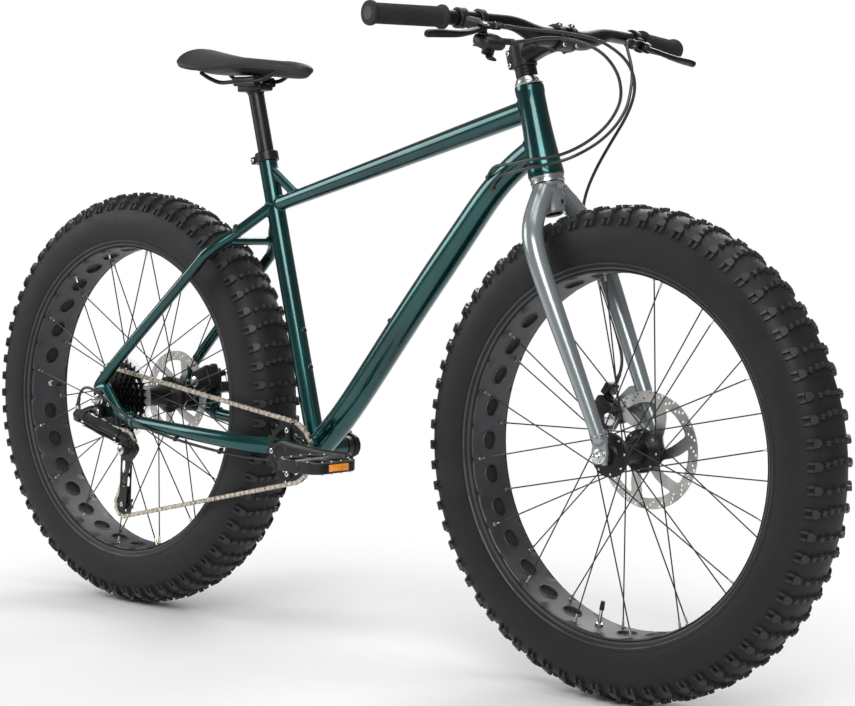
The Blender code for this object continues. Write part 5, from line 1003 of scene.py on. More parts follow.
def draw_hub(name, hub, body, valve, shell, flanges, node, bike):
    """A hub shell with crossed spokes, their heads and their plated nipples."""
    shape = Shape()
    shape.turn(shell, hub, ACROSS, "black", 48, True)
    radius = bike.spoke_radius
    spokes = RIM_HOLES // 2
    step = math.tau / spokes
    for flange, row, first in ((flanges[0], 0.026, 0), (flanges[1], -0.026, 1)):
        outside = 1 if flange > 0 else -1
        start = valve + math.tau * (first + 0.5) / RIM_HOLES
        for edge in (-0.0016, 0.0016):
            rim = FLANGE_RADIUS - 0.0006
            line = [hub + polar(rim, angle, flange + edge) for angle in turns(48)]
            shape.tube(line, 0.0011, "black", 6, closed=True)
        for i in range(spokes):
            ahead = 1 if i % 2 else -1
            rim_angle = start + i * step
            hub_angle = rim_angle + ahead * 3 * step
            inner = hub + polar(FLANGE_RADIUS - 0.0045, hub_angle, flange + ahead * 0.0019)
            outer = hub + polar(RIM_FLOOR - 0.0004, rim_angle, row)
            way = (inner - outer).normalized()
            inward = ACROSS * ahead
            shape.rod(outer + way * 0.012, inner, radius, "black", sides=8)
            shape.rod(inner - inward * 0.0052, inner + inward * 0.0003, radius, "black", sides=8)
            shape.turn(SPOKE_HEAD, inner - inward * 0.0048, -inward, "nipple", 10)
            shape.turn(NIPPLE, outer, way, "nipple", 10)
        for i in range(8):
            angle = start + i * step * 2 + 0.1
            spot = hub + polar(FLANGE_RADIUS - 0.0115, angle, flange + outside * 0.0024)
            shape.turn([(0.0028, 0), (0.0028, 0.0002)], spot, ACROSS * outside, "plastic", 12)
    shape.piece(name, body, "black_metal", [node], hub, 35)


def hub_shell(points, bore):
    """A hub's section from (radius, y) points, with rounded fillets."""
    smooth = []
    for i, point in enumerate(points):
        if i in (0, len(points) - 1):
            smooth.append(point)
            continue
        point = Vector(point)
        for other in (points[i - 1], points[i + 1]):
            other = Vector(other)
            reach = min((other - point).length * 0.4, 0.0009)
            smooth.append(tuple(point + (other - point).normalized() * reach))
    return [(bore, points[0][1]), *smooth, (bore, points[-1][1])]


def draw_rotor(name, hub, body, radius, y, node):
    """A drilled brake disc with swept arms, on a black carrier with six bolts."""
    shape = Shape()
    inner, outer = 0.0300, radius - 0.0165
    loops = [circle(radius, 144), circle(0.0175, 48)]
    for start in turns(6):
        low = [(inner, 0.10 + 0.52 * t) for t in (0, 0.5, 1)]
        high = [(outer, 1.16 - 0.78 * t) for t in (0, 0.33, 0.66, 1)]
        rise = [(inner + (outer - inner) * t, 0.62 + 0.54 * t**0.8) for t in (0.35, 0.7)]
        fall = [(outer + (inner - outer) * t, 0.38 - 0.28 * t**1.3) for t in (0.35, 0.7)]
        window = [around(reach, start + a) for reach, a in [*low, *rise, *high, *fall]]
        loops.append(softened(window, 0.3, 2))
    for i in range(24):
        for j, inset in enumerate((0.0032, 0.0073, 0.0114)):
            spot = around(radius - inset, math.tau * (i + 0.26 * j) / 24)
            loops.append(circle(0.0019, 10, spot))
    shape.side_plate(hub, loops, 0.0018, y, "disc", 0.0001)
    spider = [around(0.0262 + 0.0052 * math.cos(6 * angle), angle) for angle in turns(72)]
    shape.side_plate(hub, [spider, circle(0.0155, 36)], 0.0032, y + 0.0014, "black", 0.0004)
    for angle in turns(6):
        shape.bolt(hub + polar(0.0245, angle, y + 0.0030), ACROSS, 0.0034, 0.0018, "silver")
    shape.piece(name, body, "disc_steel", [node], hub, 40)


# The hubs' outlines as (radius, y) points from left to right
FRONT_SHELL = (
    (0.0110, 0.0652), (0.0145, 0.0573), (0.0145, 0.0513), (0.0235, 0.0513), (0.0235, 0.0362),
    (0.0330, 0.0362), (0.0330, 0.0318), (0.0200, 0.0270), (0.0165, 0.0220), (0.0165, -0.0340),
    (0.0200, -0.0390), (0.0330, -0.0438), (0.0330, -0.0482), (0.0180, -0.0500), (0.0140, -0.0540),
    (0.0110, -0.0652),
)
REAR_SHELL = (
    (0.0115, 0.0927), (0.0145, 0.0848), (0.0145, 0.0788), (0.0235, 0.0788), (0.0235, 0.0622),
    (0.0330, 0.0622), (0.0330, 0.0578), (0.0230, 0.0520), (0.0190, 0.0460), (0.0190, -0.0310),
    (0.0230, -0.0370), (0.0330, -0.0418), (0.0330, -0.0462), (0.0190, -0.0462), (0.0190, -0.0500),
)
GUARD_OUTLINE = (
    (0.0194, 0.0012), (0.0300, 0.0012), (0.0320, 0.0019), (0.0340, 0.0012), (0.0740, 0.0012),
    (0.0760, 0.0006), (0.0740, 0.0), (0.0194, 0.0),
)


def draw_wheels(bike):
    """Both wheels with their tyres, rims, hubs, spokes and brake discs."""
    wheels = (
        ("front", FRONT_HUB, FRONT_VALVE, FRONT_SHELL, 0.0053, (0.034, -0.046), FRONT_BRAKE),
        ("rear", REAR_HUB, REAR_VALVE, REAR_SHELL, 0.0058, (0.060, -0.044), REAR_BRAKE),
    )
    for name, hub, *_ in wheels:
        draw_tyre(f"{name}_tyre", hub, f"{name}_wheel", bike)
    for name, hub, valve, *_ in wheels:
        draw_rim(f"{name}_rim", hub, f"{name}_wheel", valve, f"rim_{name}")
    for name, hub, valve, shell, bore, flanges, _ in wheels:
        section = hub_shell(shell, bore)
        body, node = f"{name}_wheel", f"hub_{name}"
        draw_hub(f"{name}_hub", hub, body, valve, section, flanges, node, bike)
    for name, hub, *_, brake in wheels:
        body = f"{name}_wheel"
        draw_rotor(f"{name}_rotor", hub, body, brake.disc_radius, brake.disc_y, f"rotor_{name}")
    guard = Shape()
    guard.turn(GUARD_OUTLINE, REAR_HUB + ACROSS * -0.0497, ACROSS, "clear", 72, True)
    guard.piece("spoke_guard", "rear_wheel", "clear_plastic", ["spoke_protector"], REAR_HUB)


def axle_nut(shape, hub, side, face, radius):
    """A flanged nut on the end of a threaded axle."""
    way = ACROSS * side
    foot = hub + way * face
    shape.turn([(0.0112, 0), (0.0112, 0.0010), (0.0098, 0.0019)], foot, way, "silver", 32)
    shape.turn([(0.0094, 0.0016), (0.0094, 0.0070), (0.0080, 0.0080)], foot, way, "silver", 6)
    threads = knurled(radius, radius - 0.0004, 0.0080, 0.00062, 9)
    shape.turn([*threads, (radius - 0.0008, 0.0135)], foot, way, "silver", 20)
    shape.rod(hub + way * (face - 0.020), foot + way * 0.0080, radius, "silver")


def draw_axles(bike):
    """The axles with their nuts and locknuts."""
    for name, hub, body, half, depths, radius in (
        ("front_axle", FRONT_HUB, "steering", 0.0675, (0.006, 0.006), 0.0045),
        ("rear_axle", REAR_HUB, "frame_body", 0.095, (0.0045, 0.0088), 0.005),
    ):
        shape = Shape()
        for side, depth in ((1, depths[0]), (-1, depths[1])):
            axle_nut(shape, hub, side, half + depth + GAP, radius)
            lock = hub + ACROSS * (side * (half - GAP))
            washer = [(0.0083, 0), (0.0085, 0.0003), (0.0085, 0.0015)]
            shape.turn(washer, lock, ACROSS * -side, "black", 24)
        shape.pin(hub, ACROSS * (half - 0.001), radius, "black")
        shape.piece(f"{name}_nuts", body, "black_metal", [name], hub)


# Frame


def hub_place(hub, forward, side, up):
    """A point measured from a hub's centre."""
    return hub + Vector((forward, side, up))


def down_tube_axis():
    """The down tube's upper end, its way up and the way out of its top side."""
    end = by_head(0.052)
    lean = (end - BOTTOM_BRACKET).normalized()
    return end, lean, Vector((-lean.z, 0, lean.x))


def fork_end(radius):
    """The half circle in which an axle slot ends, from front to rear."""
    return [around(radius, math.pi * i / 8) for i in range(9)]


def dropout_loop():
    """The rear dropout's outline with its slot for the axle."""
    return [
        (-0.018, 0.016), (-0.004, 0.030), (0.010, 0.036), (0.036, 0.002), (0.062, -0.020),
        (0.034, -0.030), (0.0090, -0.0310), (0.0062, -0.0300), (0.0056, -0.0270),
        *fork_end(0.0056), (-0.0056, -0.0230), (-0.0075, -0.0225), (-0.013, -0.019),
    ]


# The frame's drawn shapes, in metres
HEAD_TUBE_PROFILE = (
    (0.0165, 0.0004), (0.0280, 0.0), (0.0284, 0.0004), (0.0283, 0.0060), (0.0277, 0.0120),
    (0.0270, 0.0200), (0.0248, 0.0450), (0.0231, 0.0750), (0.0223, 0.1050), (0.0221, 0.1290),
    (0.0231, 0.1350), (0.0232, 0.1450), (0.0228, 0.1459), (0.0165, 0.1460),
)
# Each: (share of the way up the down tube, share of its bow)
DOWN_TUBE_LINE = (
    (0.0, 0.0), (0.154, -0.2), (0.453, 0.45), (0.694, 0.85), (0.823, 1.0), (0.909, 0.68),
    (1.0, -0.1),
)
# Each: (share of the way down the seat stay, half of the stays' distance)
SEAT_STAY_SPREAD = ((0.0, 0.016), (0.11, 0.042), (0.23, 0.076), (0.36, 0.082), (1.0, STAY_SPREAD))
# The seat stay's bend over the dropout, as (x, z) from the hub
SEAT_STAY_HOOD = (
    (0.0180, 0.0215), (0.0337, 0.0018), (0.0500, -0.0145), (0.0697, -0.0245), (0.0960, -0.0275),
)
SEAT_STAY_RADIUS = 0.0096
# Each: (share of the way from hub to bottom bracket, y, half width, half height)
CHAIN_STAY_LINE = (
    (0.195, 0.100, 0.0112, 0.0112), (0.400, 0.093, 0.0112, 0.0118),
    (0.560, 0.088, 0.0112, 0.0128), (0.710, 0.080, 0.0108, 0.0140),
    (0.800, 0.0675, 0.0100, 0.0148), (0.862, 0.0545, 0.0092, 0.0152),
    (0.905, 0.0445, 0.0092, 0.0154), (0.980, 0.0370, 0.0100, 0.0155),
)
REAR_TAB = (
    (0.024, 0.008), (0.040, -0.010), (0.075, -0.024), (0.094, -0.018), (0.098, 0.010),
    (0.094, 0.054), (0.083, 0.054), (0.070, 0.012), (0.040, 0.020),
)
# Each port: (share of the way up the down tube, lift above its middle)
CABLE_PORTS = ((0.868, 0.0105), (0.862, -0.0080))
GUSSET_RADIUS = 0.0087
SHELL_HALF = 0.050


def boss(shape, foot, face, way):
    """A threaded boss with its bolt, for a bottle cage."""
    shape.rod(foot, face, 0.0052, "frame", sides=24, edge=0.0005)
    shape.bolt(face, way, 0.0042, 0.0024, "black")


def draw_stays(shape, side, stay_top, stay_low, bead):
    """One side's seat stay, chain stay, dropout and rack boss; gives the seat stay's line."""
    stay = [stay_top.lerp(stay_low, t) + ACROSS * (out * side) for t, out in SEAT_STAY_SPREAD]
    stay += [hub_place(REAR_HUB, x, STAY_SPREAD * side, z) for x, z in SEAT_STAY_HOOD]
    stay[0] = stay[0] + (stay[0] - stay[1]).normalized() * 0.014
    stay = route(stay, 7)
    shape.tube(stay, SEAT_STAY_RADIUS, "frame", 24)
    reach = BOTTOM_BRACKET - REAR_HUB
    stations = []
    for t, out, broad, tall in CHAIN_STAY_LINE:
        spot = hub_place(REAR_HUB, reach.x * t, out * side, reach.z * (0.46 + 0.54 * t))
        stations.append((*spot, broad, tall))
    shape.eased_loft(stations, "frame", 6)
    start = Vector(stations[0][:3])
    ahead = (Vector(stations[1][:3]) - start).normalized()
    shape.bead_ring(start + ahead * 0.006, ahead, 0.0112, "frame", bead * 1.2)
    shape.bead_ring(stay[-5], stay[-4] - stay[-5], 0.0095, "frame", bead * 0.9)
    seat_tube = (BOTTOM_BRACKET, SEAT_UP, SEAT_TUBE_RADIUS + 0.0004)
    shape.weld(stay[4], stay[1] - stay[4], SEAT_STAY_RADIUS, *seat_tube, "frame", bead)
    shape.side_plate(REAR_HUB, [dropout_loop()], 0.0045, (0.095 + 0.00225) * side, "frame", 0.0004)
    rack = stay_top.lerp(stay_low, 0.125) + Vector((0.004, 0.050 * side, 0.004))
    tip = rack + Vector((0.007, 0.004 * side, 0.009))
    shape.rod(rack, tip, 0.0050, "frame", sides=20, edge=0.0004)
    shape.bolt(tip, tip - rack, 0.0040, 0.0022, "black")
    yoke = BOTTOM_BRACKET + Vector((-0.0535, 0.0365 * side, 0.001))
    shape.weld(yoke, AHEAD, 0.0120, BOTTOM_BRACKET, ACROSS, 0.0240, "frame", bead)
    return stay


def draw_frame(bike):
    """The welded main frame: tubes, stays, dropouts, bosses and weld beads."""
    shape = Shape()
    bead = bike.weld_bead
    shape.turn(HEAD_TUBE_PROFILE, by_head(0), HEAD_UP, "frame", 64, True)
    top_front = by_head(HEAD_TUBE_LENGTH - 0.0366)
    top_rear = seat_point(SEAT_TUBE_LENGTH - 0.0932)
    shares = [i / 16 for i in range(17)]
    slim = [min(max((t - 0.05) * 0.75 + max(t - 0.2, 0) * 0.36, 0), 1) for t in shares]
    line = [top_front.lerp(top_rear, t) for t in shares]
    shape.tube(line, [0.018 - 0.0058 * share for share in slim], "frame", 32)
    down_end, _, rise = down_tube_axis()
    down = []
    for t, bow in DOWN_TUBE_LINE:
        down.append(BOTTOM_BRACKET.lerp(down_end, t) + rise * (DOWN_TUBE_BOW * bow))
    down = route(down, 8)
    down_radii = []
    for point in down:
        share = (point - BOTTOM_BRACKET).length / (down_end - BOTTOM_BRACKET).length
        down_radii.append(DOWN_TUBE_RADIUS - 0.0027 * min(max((share - 0.6) / 0.3, 0), 1))
    shape.tube(down, down_radii, "frame", 40)
    seat_radii = (SEAT_TUBE_RADIUS, SEAT_TUBE_RADIUS, 0.0138)
    shape.ring(seat_point(0), seat_point(SEAT_TUBE_LENGTH), *seat_radii, "frame", 0.0004)
    shape.band(BOTTOM_BRACKET, ACROSS * SHELL_HALF, 0.0237, 0.0174, "frame", 0.0008)
    gusset_top = seat_point(SEAT_TUBE_LENGTH - 0.022)
    gusset_low = top_rear.lerp(top_front, 0.10)
    shape.rod(gusset_top, gusset_low, GUSSET_RADIUS, "frame")
    stay_top = seat_point(SEAT_TUBE_LENGTH - 0.1018, -0.0141)
    stay_low = hub_place(REAR_HUB, 0.0079, 0, 0.0392)
    bridge = stay_top.lerp(stay_low, 0.17)
    shape.pin(bridge, ACROSS * 0.056, 0.0067, "frame")
    shape.pin(BOTTOM_BRACKET.lerp(REAR_HUB, 0.115), ACROSS * 0.048, 0.0092, "frame")
    for side in (-1, 1):
        stay = draw_stays(shape, side, stay_top, stay_low, bead)
        start, way = bridge + ACROSS * (0.030 * side), ACROSS * side
        onto = (stay[6], stay[7] - stay[5], 0.0098)
        shape.weld(start, way, 0.0067, *onto, "frame", bead * 0.8)
    for height in (0.138, 0.202):
        face = seat_point(height, SEAT_TUBE_RADIUS + 0.0018)
        boss(shape, seat_point(height, 0.008), face, SEAT_FORWARD)
        base = BOTTOM_BRACKET.lerp(down_end, height / SEAT_TUBE_LENGTH + 0.13)
        boss(shape, base + rise * 0.01, base + rise * (DOWN_TUBE_RADIUS + 0.0100), rise)
    shape.side_plate(REAR_HUB, [softened(REAR_TAB, 0.25, 3)], 0.006, STAY_SPREAD, "frame", 0.0006)
    head, seat = (by_head(0), HEAD_UP), (BOTTOM_BRACKET, SEAT_UP)
    shell = (BOTTOM_BRACKET, ACROSS, 0.0239)
    gusset_way = gusset_low - gusset_top
    gusset_middle = gusset_top + gusset_way * 0.5
    top_way = top_front - top_rear
    for start, way, radius, onto, thick in (
        (top_front.lerp(top_rear, 0.2), top_way, 0.0182, (*head, 0.0226), 1),
        (down[-9], down[-1] - down[-9], 0.0207, (*head, 0.0247), 1),
        (top_rear.lerp(top_front, 0.1), -top_way, 0.0126, (*seat, 0.0161), 1),
        (down[10], BOTTOM_BRACKET - down[10], 0.0234, shell, 1),
        (seat_point(0.06), -SEAT_UP, SEAT_TUBE_RADIUS + 0.0002, shell, 1),
        (gusset_middle, -gusset_way, 0.0088, (*seat, 0.0161), 0.8),
        (gusset_middle, gusset_way, 0.0088, (top_rear, top_way, 0.0129), 0.8),
    ):
        shape.weld(start, way, radius, *onto, "frame", bead * thick)
    grommet = [(0.0046, -0.001), (0.0048, 0.0012), (0.0040, 0.0020), (0.0028, 0.0020)]
    for share, lift in CABLE_PORTS:
        shape.turn(grommet, down_port(share, lift), -ACROSS, "plastic", 20)
    shape.piece("main_frame", "frame_body", "frame_green", ["frame"])


def down_port(share, lift):
    """A cable port's place on the down tube's right side."""
    end, _, up = down_tube_axis()
    reach = math.sqrt(DOWN_TUBE_RADIUS**2 - lift**2)
    middle = BOTTOM_BRACKET.lerp(end, share - 0.010) + up * (DOWN_TUBE_BOW * 0.98 + lift)
    return middle - ACROSS * (reach - 0.002)


def draw_seat_collar(bike):
    """The clamp ring round the top of the seat tube, with its bolt."""
    shape = Shape()
    top = SEAT_TUBE_LENGTH + 0.0015
    low, high = seat_point(top - 0.016), seat_point(top)
    wide, lip = SEAT_TUBE_RADIUS + 0.0042, SEAT_TUBE_RADIUS + 0.001
    shape.ring(low, high, wide, wide, SEAT_TUBE_RADIUS + GAP, "black", 0.0008)
    shape.ring(high - SEAT_UP * 0.0030, high, lip, lip, 0.0139, "black", 0.0004)
    behind = seat_point(top - 0.008, -(SEAT_TUBE_RADIUS + 0.0078))
    for side in (-1, 1):
        placing = facing(behind + ACROSS * (0.0062 * side), SEAT_UP)
        shape.box((0.0095, 0.0130, 0.0125), placing, "black", 0.0016, 3)
    spot = behind - SEAT_FORWARD * 0.0012
    shape.bolt(spot - ACROSS * 0.0108, -ACROSS, 0.0038, 0.0026, "silver")
    shape.rod(spot - ACROSS * 0.008, spot + ACROSS * 0.0108, 0.0024, "silver")
    shape.piece("seat_clamp", "frame_body", "black_metal", ["seat_collar"])


def draw_bottom_bracket(bike):
    """The bottom bracket's cups, with thin dark discs that paint the shade in the notches for their
    tool.
    """
    shape = Shape()
    for side in (-1, 1):
        way = ACROSS * side
        low = BOTTOM_BRACKET + way * (SHELL_HALF + GAP)
        shape.ring(low, low + way * 0.005, 0.0212, 0.0206, 0.0105, "dark", 0.0005)
        # Each notch is a thin black disc on the cup: painted shade, not a cut.
        for angle in turns(8):
            spot = low + polar(0.0190, angle, 0.0048 * side)
            shape.turn([(0.0017, 0), (0.0017, 0.0004)], spot, way, "plastic", 12)
    shape.pin(BOTTOM_BRACKET, ACROSS * SHELL_HALF, 0.0170, "dark")
    shape.piece("bottom_bracket_cups", "frame_body", "dark_metal", ["bottom_bracket"])


# Seat


SADDLE_LENGTH = 0.268
SADDLE_HALF_WIDTH = 0.075
SADDLE_NOSE_HALF = 0.022


def saddle_ring(station, count, grow):
    """One cross-section of the saddle from (share, spread, top, depth)."""
    share, spread, top, depth = station
    tail = seat_point(SEAT_TUBE_LENGTH + 0.1545) + Vector((-0.127, 0, 0.030))
    reach = max(SADDLE_NOSE_HALF + (SADDLE_HALF_WIDTH - SADDLE_NOSE_HALF) * spread, 0.004)
    centre = tail + Vector((SADDLE_LENGTH * share, 0, top))
    ring = []
    for i in range(count):
        across, up = around(1, math.tau * (i + 0.5) / count)
        y = (reach + grow) * math.copysign(abs(across) ** 0.8, across)
        if up > 0:
            crown = 1 - abs(across) ** 2.4
            z = depth * 0.34 * (abs(up) ** 0.7 - 1) + depth * 0.05 * crown + grow
        else:
            y *= 1.0 - 0.20 * min(abs(up) * 1.6, 1)
            fall = abs(up) ** 0.7 * (0.55 + 0.45 * (1 - abs(across)))
            z = -depth * 0.34 - depth * 0.66 * fall
        z -= 0.018 * (abs(y) / SADDLE_HALF_WIDTH) ** 2
        grooved = up > 0 and 0.15 < share < 0.8
        groove = 0.0022 * math.exp(-((y / 0.0090) ** 2)) if grooved else 0.0
        ring.append(centre + Vector((0, y, z - groove)))
    return ring


SADDLE_STATIONS = [
    (0.000, 0.20, -0.001, 0.018),
    (0.008, 0.56, 0.0025, 0.026),
    (0.024, 0.80, 0.0045, 0.034),
    (0.080, 0.98, 0.0020, 0.040),
    (0.200, 1.00, -0.004, 0.038),
    (0.340, 0.82, -0.010, 0.033),
    (0.500, 0.36, -0.014, 0.030),
    (0.680, 0.10, -0.018, 0.029),
    (0.860, 0.00, -0.023, 0.028),
    (0.950, -0.05, -0.0272, 0.024),
    (0.985, -0.16, -0.0305, 0.018),
    (1.000, -0.34, -0.0340, 0.010),
]


def draw_saddle(bike):
    """The padded saddle with its sewn edge, over a moulded shell."""
    cushion = Shape()
    rows = [saddle_ring(row, 40, 0.0004) for row in eased(SADDLE_STATIONS, 4)]
    cushion.skin(rows, "saddle")
    for side in (0, 19):
        seam = [row[side] + Vector((0, 0, 0.0002)) for row in rows[2:-2]]
        cushion.tube(seam, 0.0008, "saddle", 8)
    piece = cushion.piece("saddle_cushion", "seat", "saddle_cover", ["saddle"], sharp=70)
    shell = Shape()
    tail = rows[6]
    middle = sum(tail, Vector()) / len(tail)
    for side in (-1, 1):
        spot = middle + Vector((-0.002, 0.0352 * side, -0.012))
        shell.box((0.030, 0.012, 0.008), spot, "plastic", 0.002, 3)
    nose = middle + Vector((0.205, 0, -0.022))
    shell.box((0.030, 0.030, 0.007), nose, "plastic", 0.002, 3)
    shell.piece("saddle_shell_sockets", "seat", "saddle_cover")


def rail_route(side):
    """One saddle rail, from the shell's rear through the clamp to the nose."""
    clamp = seat_point(SEAT_TUBE_LENGTH + 0.1290)
    offsets = [
        (-0.098, 0.016, 1.6),
        (-0.080, 0.006, 1.4),
        (-0.062, -0.0010, 1.0),
        (-0.030, -0.0005, 1.0),
        (0.0, 0.0003, 1.0),
        (0.040, 0.002, 1.0),
        (0.066, 0.012, 0.8),
        (0.084, 0.0225, 0.55),
    ]
    return [clamp + Vector((x, 0.022 * side * out, z)) for x, z, out in offsets]


def draw_seatpost(bike):
    """The seat post, its rail clamp with two bolts, and the saddle's rails."""
    shape = Shape()
    radius = 0.0136
    top = SEAT_TUBE_LENGTH + 0.122
    foot = seat_point(SEAT_TUBE_LENGTH - 0.228)
    shape.rod(foot, seat_point(top - 0.004), radius, "black", sides=48, edge=0.0005)
    up = Vector((-0.06, 0, 1))
    points = [seat_point(top - 0.0160), seat_point(top - 0.0100), seat_point(top - 0.004)]
    shape.loft(points, [radius, 0.0150, 0.0168], [radius, 0.0160, 0.0230], "black", 40)
    head = facing(seat_point(top - 0.0042) + up * 0.0006, up)
    shape.box((0.034, 0.056, 0.0125), head, "black", 0.0030, 3)
    lid = seat_point(SEAT_TUBE_LENGTH + 0.1359)
    shape.box((0.054, 0.032, 0.0050), facing(lid, up, AHEAD), "black", 0.0020, 3)
    for side in (-1, 1):
        for level in (0.1255, 0.1322):
            spot = seat_point(SEAT_TUBE_LENGTH + level) + ACROSS * (0.022 * side)
            shape.pin(spot, AHEAD * 0.026, 0.0052, "black", sides=20, edge=0.0010)
    for ahead in (-0.019, 0.019):
        spot = lid + Vector((ahead, 0, 0.0022))
        shape.rod(spot - up * 0.024, spot, 0.0026, "silver", sides=16)
        shape.bolt(spot - up * 0.0215, -up, 0.0042, 0.0034, "silver")
    shape.piece("seat_post", "seat", "black_metal", ["seatpost", "saddle_clamp"])
    rails = Shape()
    left, right = rail_route(1), rail_route(-1)
    nose = (left[-1] + right[-1]) / 2 + Vector((0.010, 0, 0.0015))
    rails.tube(route([*left, nose, *right[::-1]], 7), 0.0036, "dark", 16)
    rails.piece("rails", "seat", "dark_metal", ["saddle_rails"])


# Fork and cockpit


FORK_LEG_RADIUS = 0.0165
FORK_TIP_THINNER = 0.0057


def fork_leg(side):
    """Points and radii of one fork leg from the crown to the axle."""
    crown = by_head(-0.0250, 0.003, 0.020 * side)
    tip = FRONT_HUB + Vector((0, 0.0735 * side, 0.026))
    wide = by_head(-0.0950, 0.0085, 0.080 * side)
    points = [crown]
    for t, out in ((0.35, 0.002), (0.75, 0.004)):
        points.append(crown.lerp(wide, t) + ACROSS * (out * side))
    points.append(wide)
    for share, out in ((0.15, 0.0035), (0.35, 0.003), (0.7, 0.001)):
        points.append(wide.lerp(tip, share) + ACROSS * (out * side))
    points = relaxed([*points, tip], 0.008, 24)
    length = (tip - wide).length
    shares = [min(max(1 - (point - tip).length / length, 0), 1) for point in points]
    return points, [FORK_LEG_RADIUS - FORK_TIP_THINNER * share**1.3 for share in shares]


CROWN_PROFILE = (
    (0.0185, 0.0), (0.0190, 0.0006), (0.0192, 0.0040), (0.0202, 0.0340), (0.0215, 0.0375),
    (0.0250, 0.0425), (0.0256, 0.0435), (0.0256, 0.0476), (0.0252, 0.0480),
)
FRONT_TAB = (
    (-0.008, 0.030), (-0.045, 0.034), (-0.052, 0.050), (-0.078, 0.056), (-0.074, 0.072),
    (-0.050, 0.094), (-0.030, 0.092),
)
FORK_DROPOUT = (
    (-0.012, 0.040), (-0.0135, 0.006), (-0.012, -0.012), (-0.0051, -0.013),
    *fork_end(0.0051)[::-1], (0.0051, -0.013), (0.012, -0.012), (0.0135, 0.006), (0.010, 0.040),
)


def draw_fork(bike):
    """The rigid fork: crown tube, bent tapering legs, dropouts and the brake's bracket."""
    shape = Shape()
    bead = bike.weld_bead
    foot = by_head(-0.0605)
    shape.turn(CROWN_PROFILE, foot, HEAD_UP, "fork", 56)
    shape.rod(by_head(-0.013), by_head(0.170), STEERER_RADIUS, "fork")
    for side in (-1, 1):
        points, radii = fork_leg(side)
        shape.tube(points, radii, "fork", 36)
        start = points[5]
        shape.weld(start, points[1] - start, 0.0166, foot, HEAD_UP, 0.0204, "fork", bead)
        shape.side_plate(FRONT_HUB, [FORK_DROPOUT], 0.006, 0.0705 * side, "fork", 0.0006)
        end = points[-1]
        cap = [(0.0108, 0), (0.0100, 0.0050), (0.0070, 0.0085), (0.0020, 0.0100)]
        shape.turn(cap, end, end - points[-2], "fork", 28)
        seam = end + Vector((0, 0.0002 * side, 0.004))
        shape.bead_ring(seam, points[-2] - end, 0.0109, "fork", bead * 0.7)
    shape.side_plate(FRONT_HUB, [softened(FRONT_TAB, 0.22, 3)], 0.006, 0.0715, "fork", 0.0006)
    hole = by_head(-0.045, 0.0186)
    eyelet = [(0.0062, 0), (0.0060, 0.0016), (0.0046, 0.0022), (0.0040, 0.0022)]
    shape.turn(eyelet, hole, HEAD_FORWARD, "fork", 32)
    # A black disc fills the eyelet's bore: painted shade of the hole.
    shape.turn([(0.0038, 0), (0.0038, 0.0024)], hole, HEAD_FORWARD, "plastic", 24)
    plug = [(0.0150, 0), (0.0150, 0.0006), (0.0120, 0.0026)]
    shape.turn(plug, foot, -HEAD_UP, "plastic", 32)
    shape.piece("rigid_fork", "steering", "fork_grey", ["fork"])


CONE_HEIGHT = 0.0142
SPACER_HEIGHT = 0.0155
STEM_HEIGHT = 0.036


def draw_headset(bike):
    """The lower cup, upper cone, spacer and top cap on the steering axis."""
    cup = Shape()
    section = [
        (0.0155, 0), (0.0262, 0), (0.0268, 0.0006), (0.0266, 0.0046), (0.0256, 0.0052),
        (0.0256, 0.0060), (0.0268, 0.0066), (0.0271, 0.0108), (0.0155, 0.0112),
    ]
    cup.turn(section, by_head(-0.0115), HEAD_UP, "silver", 56, True)
    cup.piece("lower_cup", "frame_body", "silver_metal", ["headset_lower_cup"])
    bore = STEERER_RADIUS + GAP
    start = by_head(HEAD_TUBE_LENGTH + GAP)
    cone = Shape()
    section = [
        (bore, 0), (0.0216, 0), (0.0221, 0.0008), (0.0221, 0.0030), (0.0216, 0.0036),
        (0.0214, 0.0044), (0.0180, 0.0118), (0.0166, 0.0136), (0.0160, CONE_HEIGHT),
        (bore, CONE_HEIGHT),
    ]
    cone.turn(section, start, HEAD_UP, "silver", 56, True)
    cone.piece("upper_cone", "steering", "silver_metal", ["headset_cone"])
    spacer = Shape()
    foot = start + HEAD_UP * (CONE_HEIGHT + GAP)
    for low, high in ((0.0, 0.0050), (0.0052, 0.0102), (0.0104, SPACER_HEIGHT)):
        ends = (foot + HEAD_UP * low, foot + HEAD_UP * high)
        spacer.ring(*ends, 0.0172, 0.0172, bore, "black", 0.0004)
    spacer.piece("spacer_rings", "steering", "black_metal", ["spacers"])
    cap = Shape()
    top = head_point(stem_heights()[1] + GAP)
    section = [(0.0170, 0), (0.0174, 0.0006), (0.0170, 0.0030), (0.0154, 0.0048), (0.0070, 0.0050)]
    cap.turn(section, top, HEAD_UP, "black", 48)
    cap.bolt(top + HEAD_UP * 0.0030, HEAD_UP, 0.0052, 0.0024, "silver")
    cap.piece("steerer_cap", "steering", "black_metal", ["top_cap"])


def stem_heights():
    """The stem's lower and upper heights up the steering axis."""
    low = AXLE_TO_HEAD + HEAD_TUBE_LENGTH + GAP + CONE_HEIGHT + GAP + SPACER_HEIGHT + GAP
    return low, low + STEM_HEIGHT


def bar_centre():
    """The middle of the handlebar, held at the stem's front."""
    return head_point(stem_heights()[0] + 0.0225, 0.079)


CLAMP_BORE = 0.0161
CLAMP_RADIUS = 0.0207
CLAMP_HALF = 0.0215
CLAMP_EDGE = 0.0006


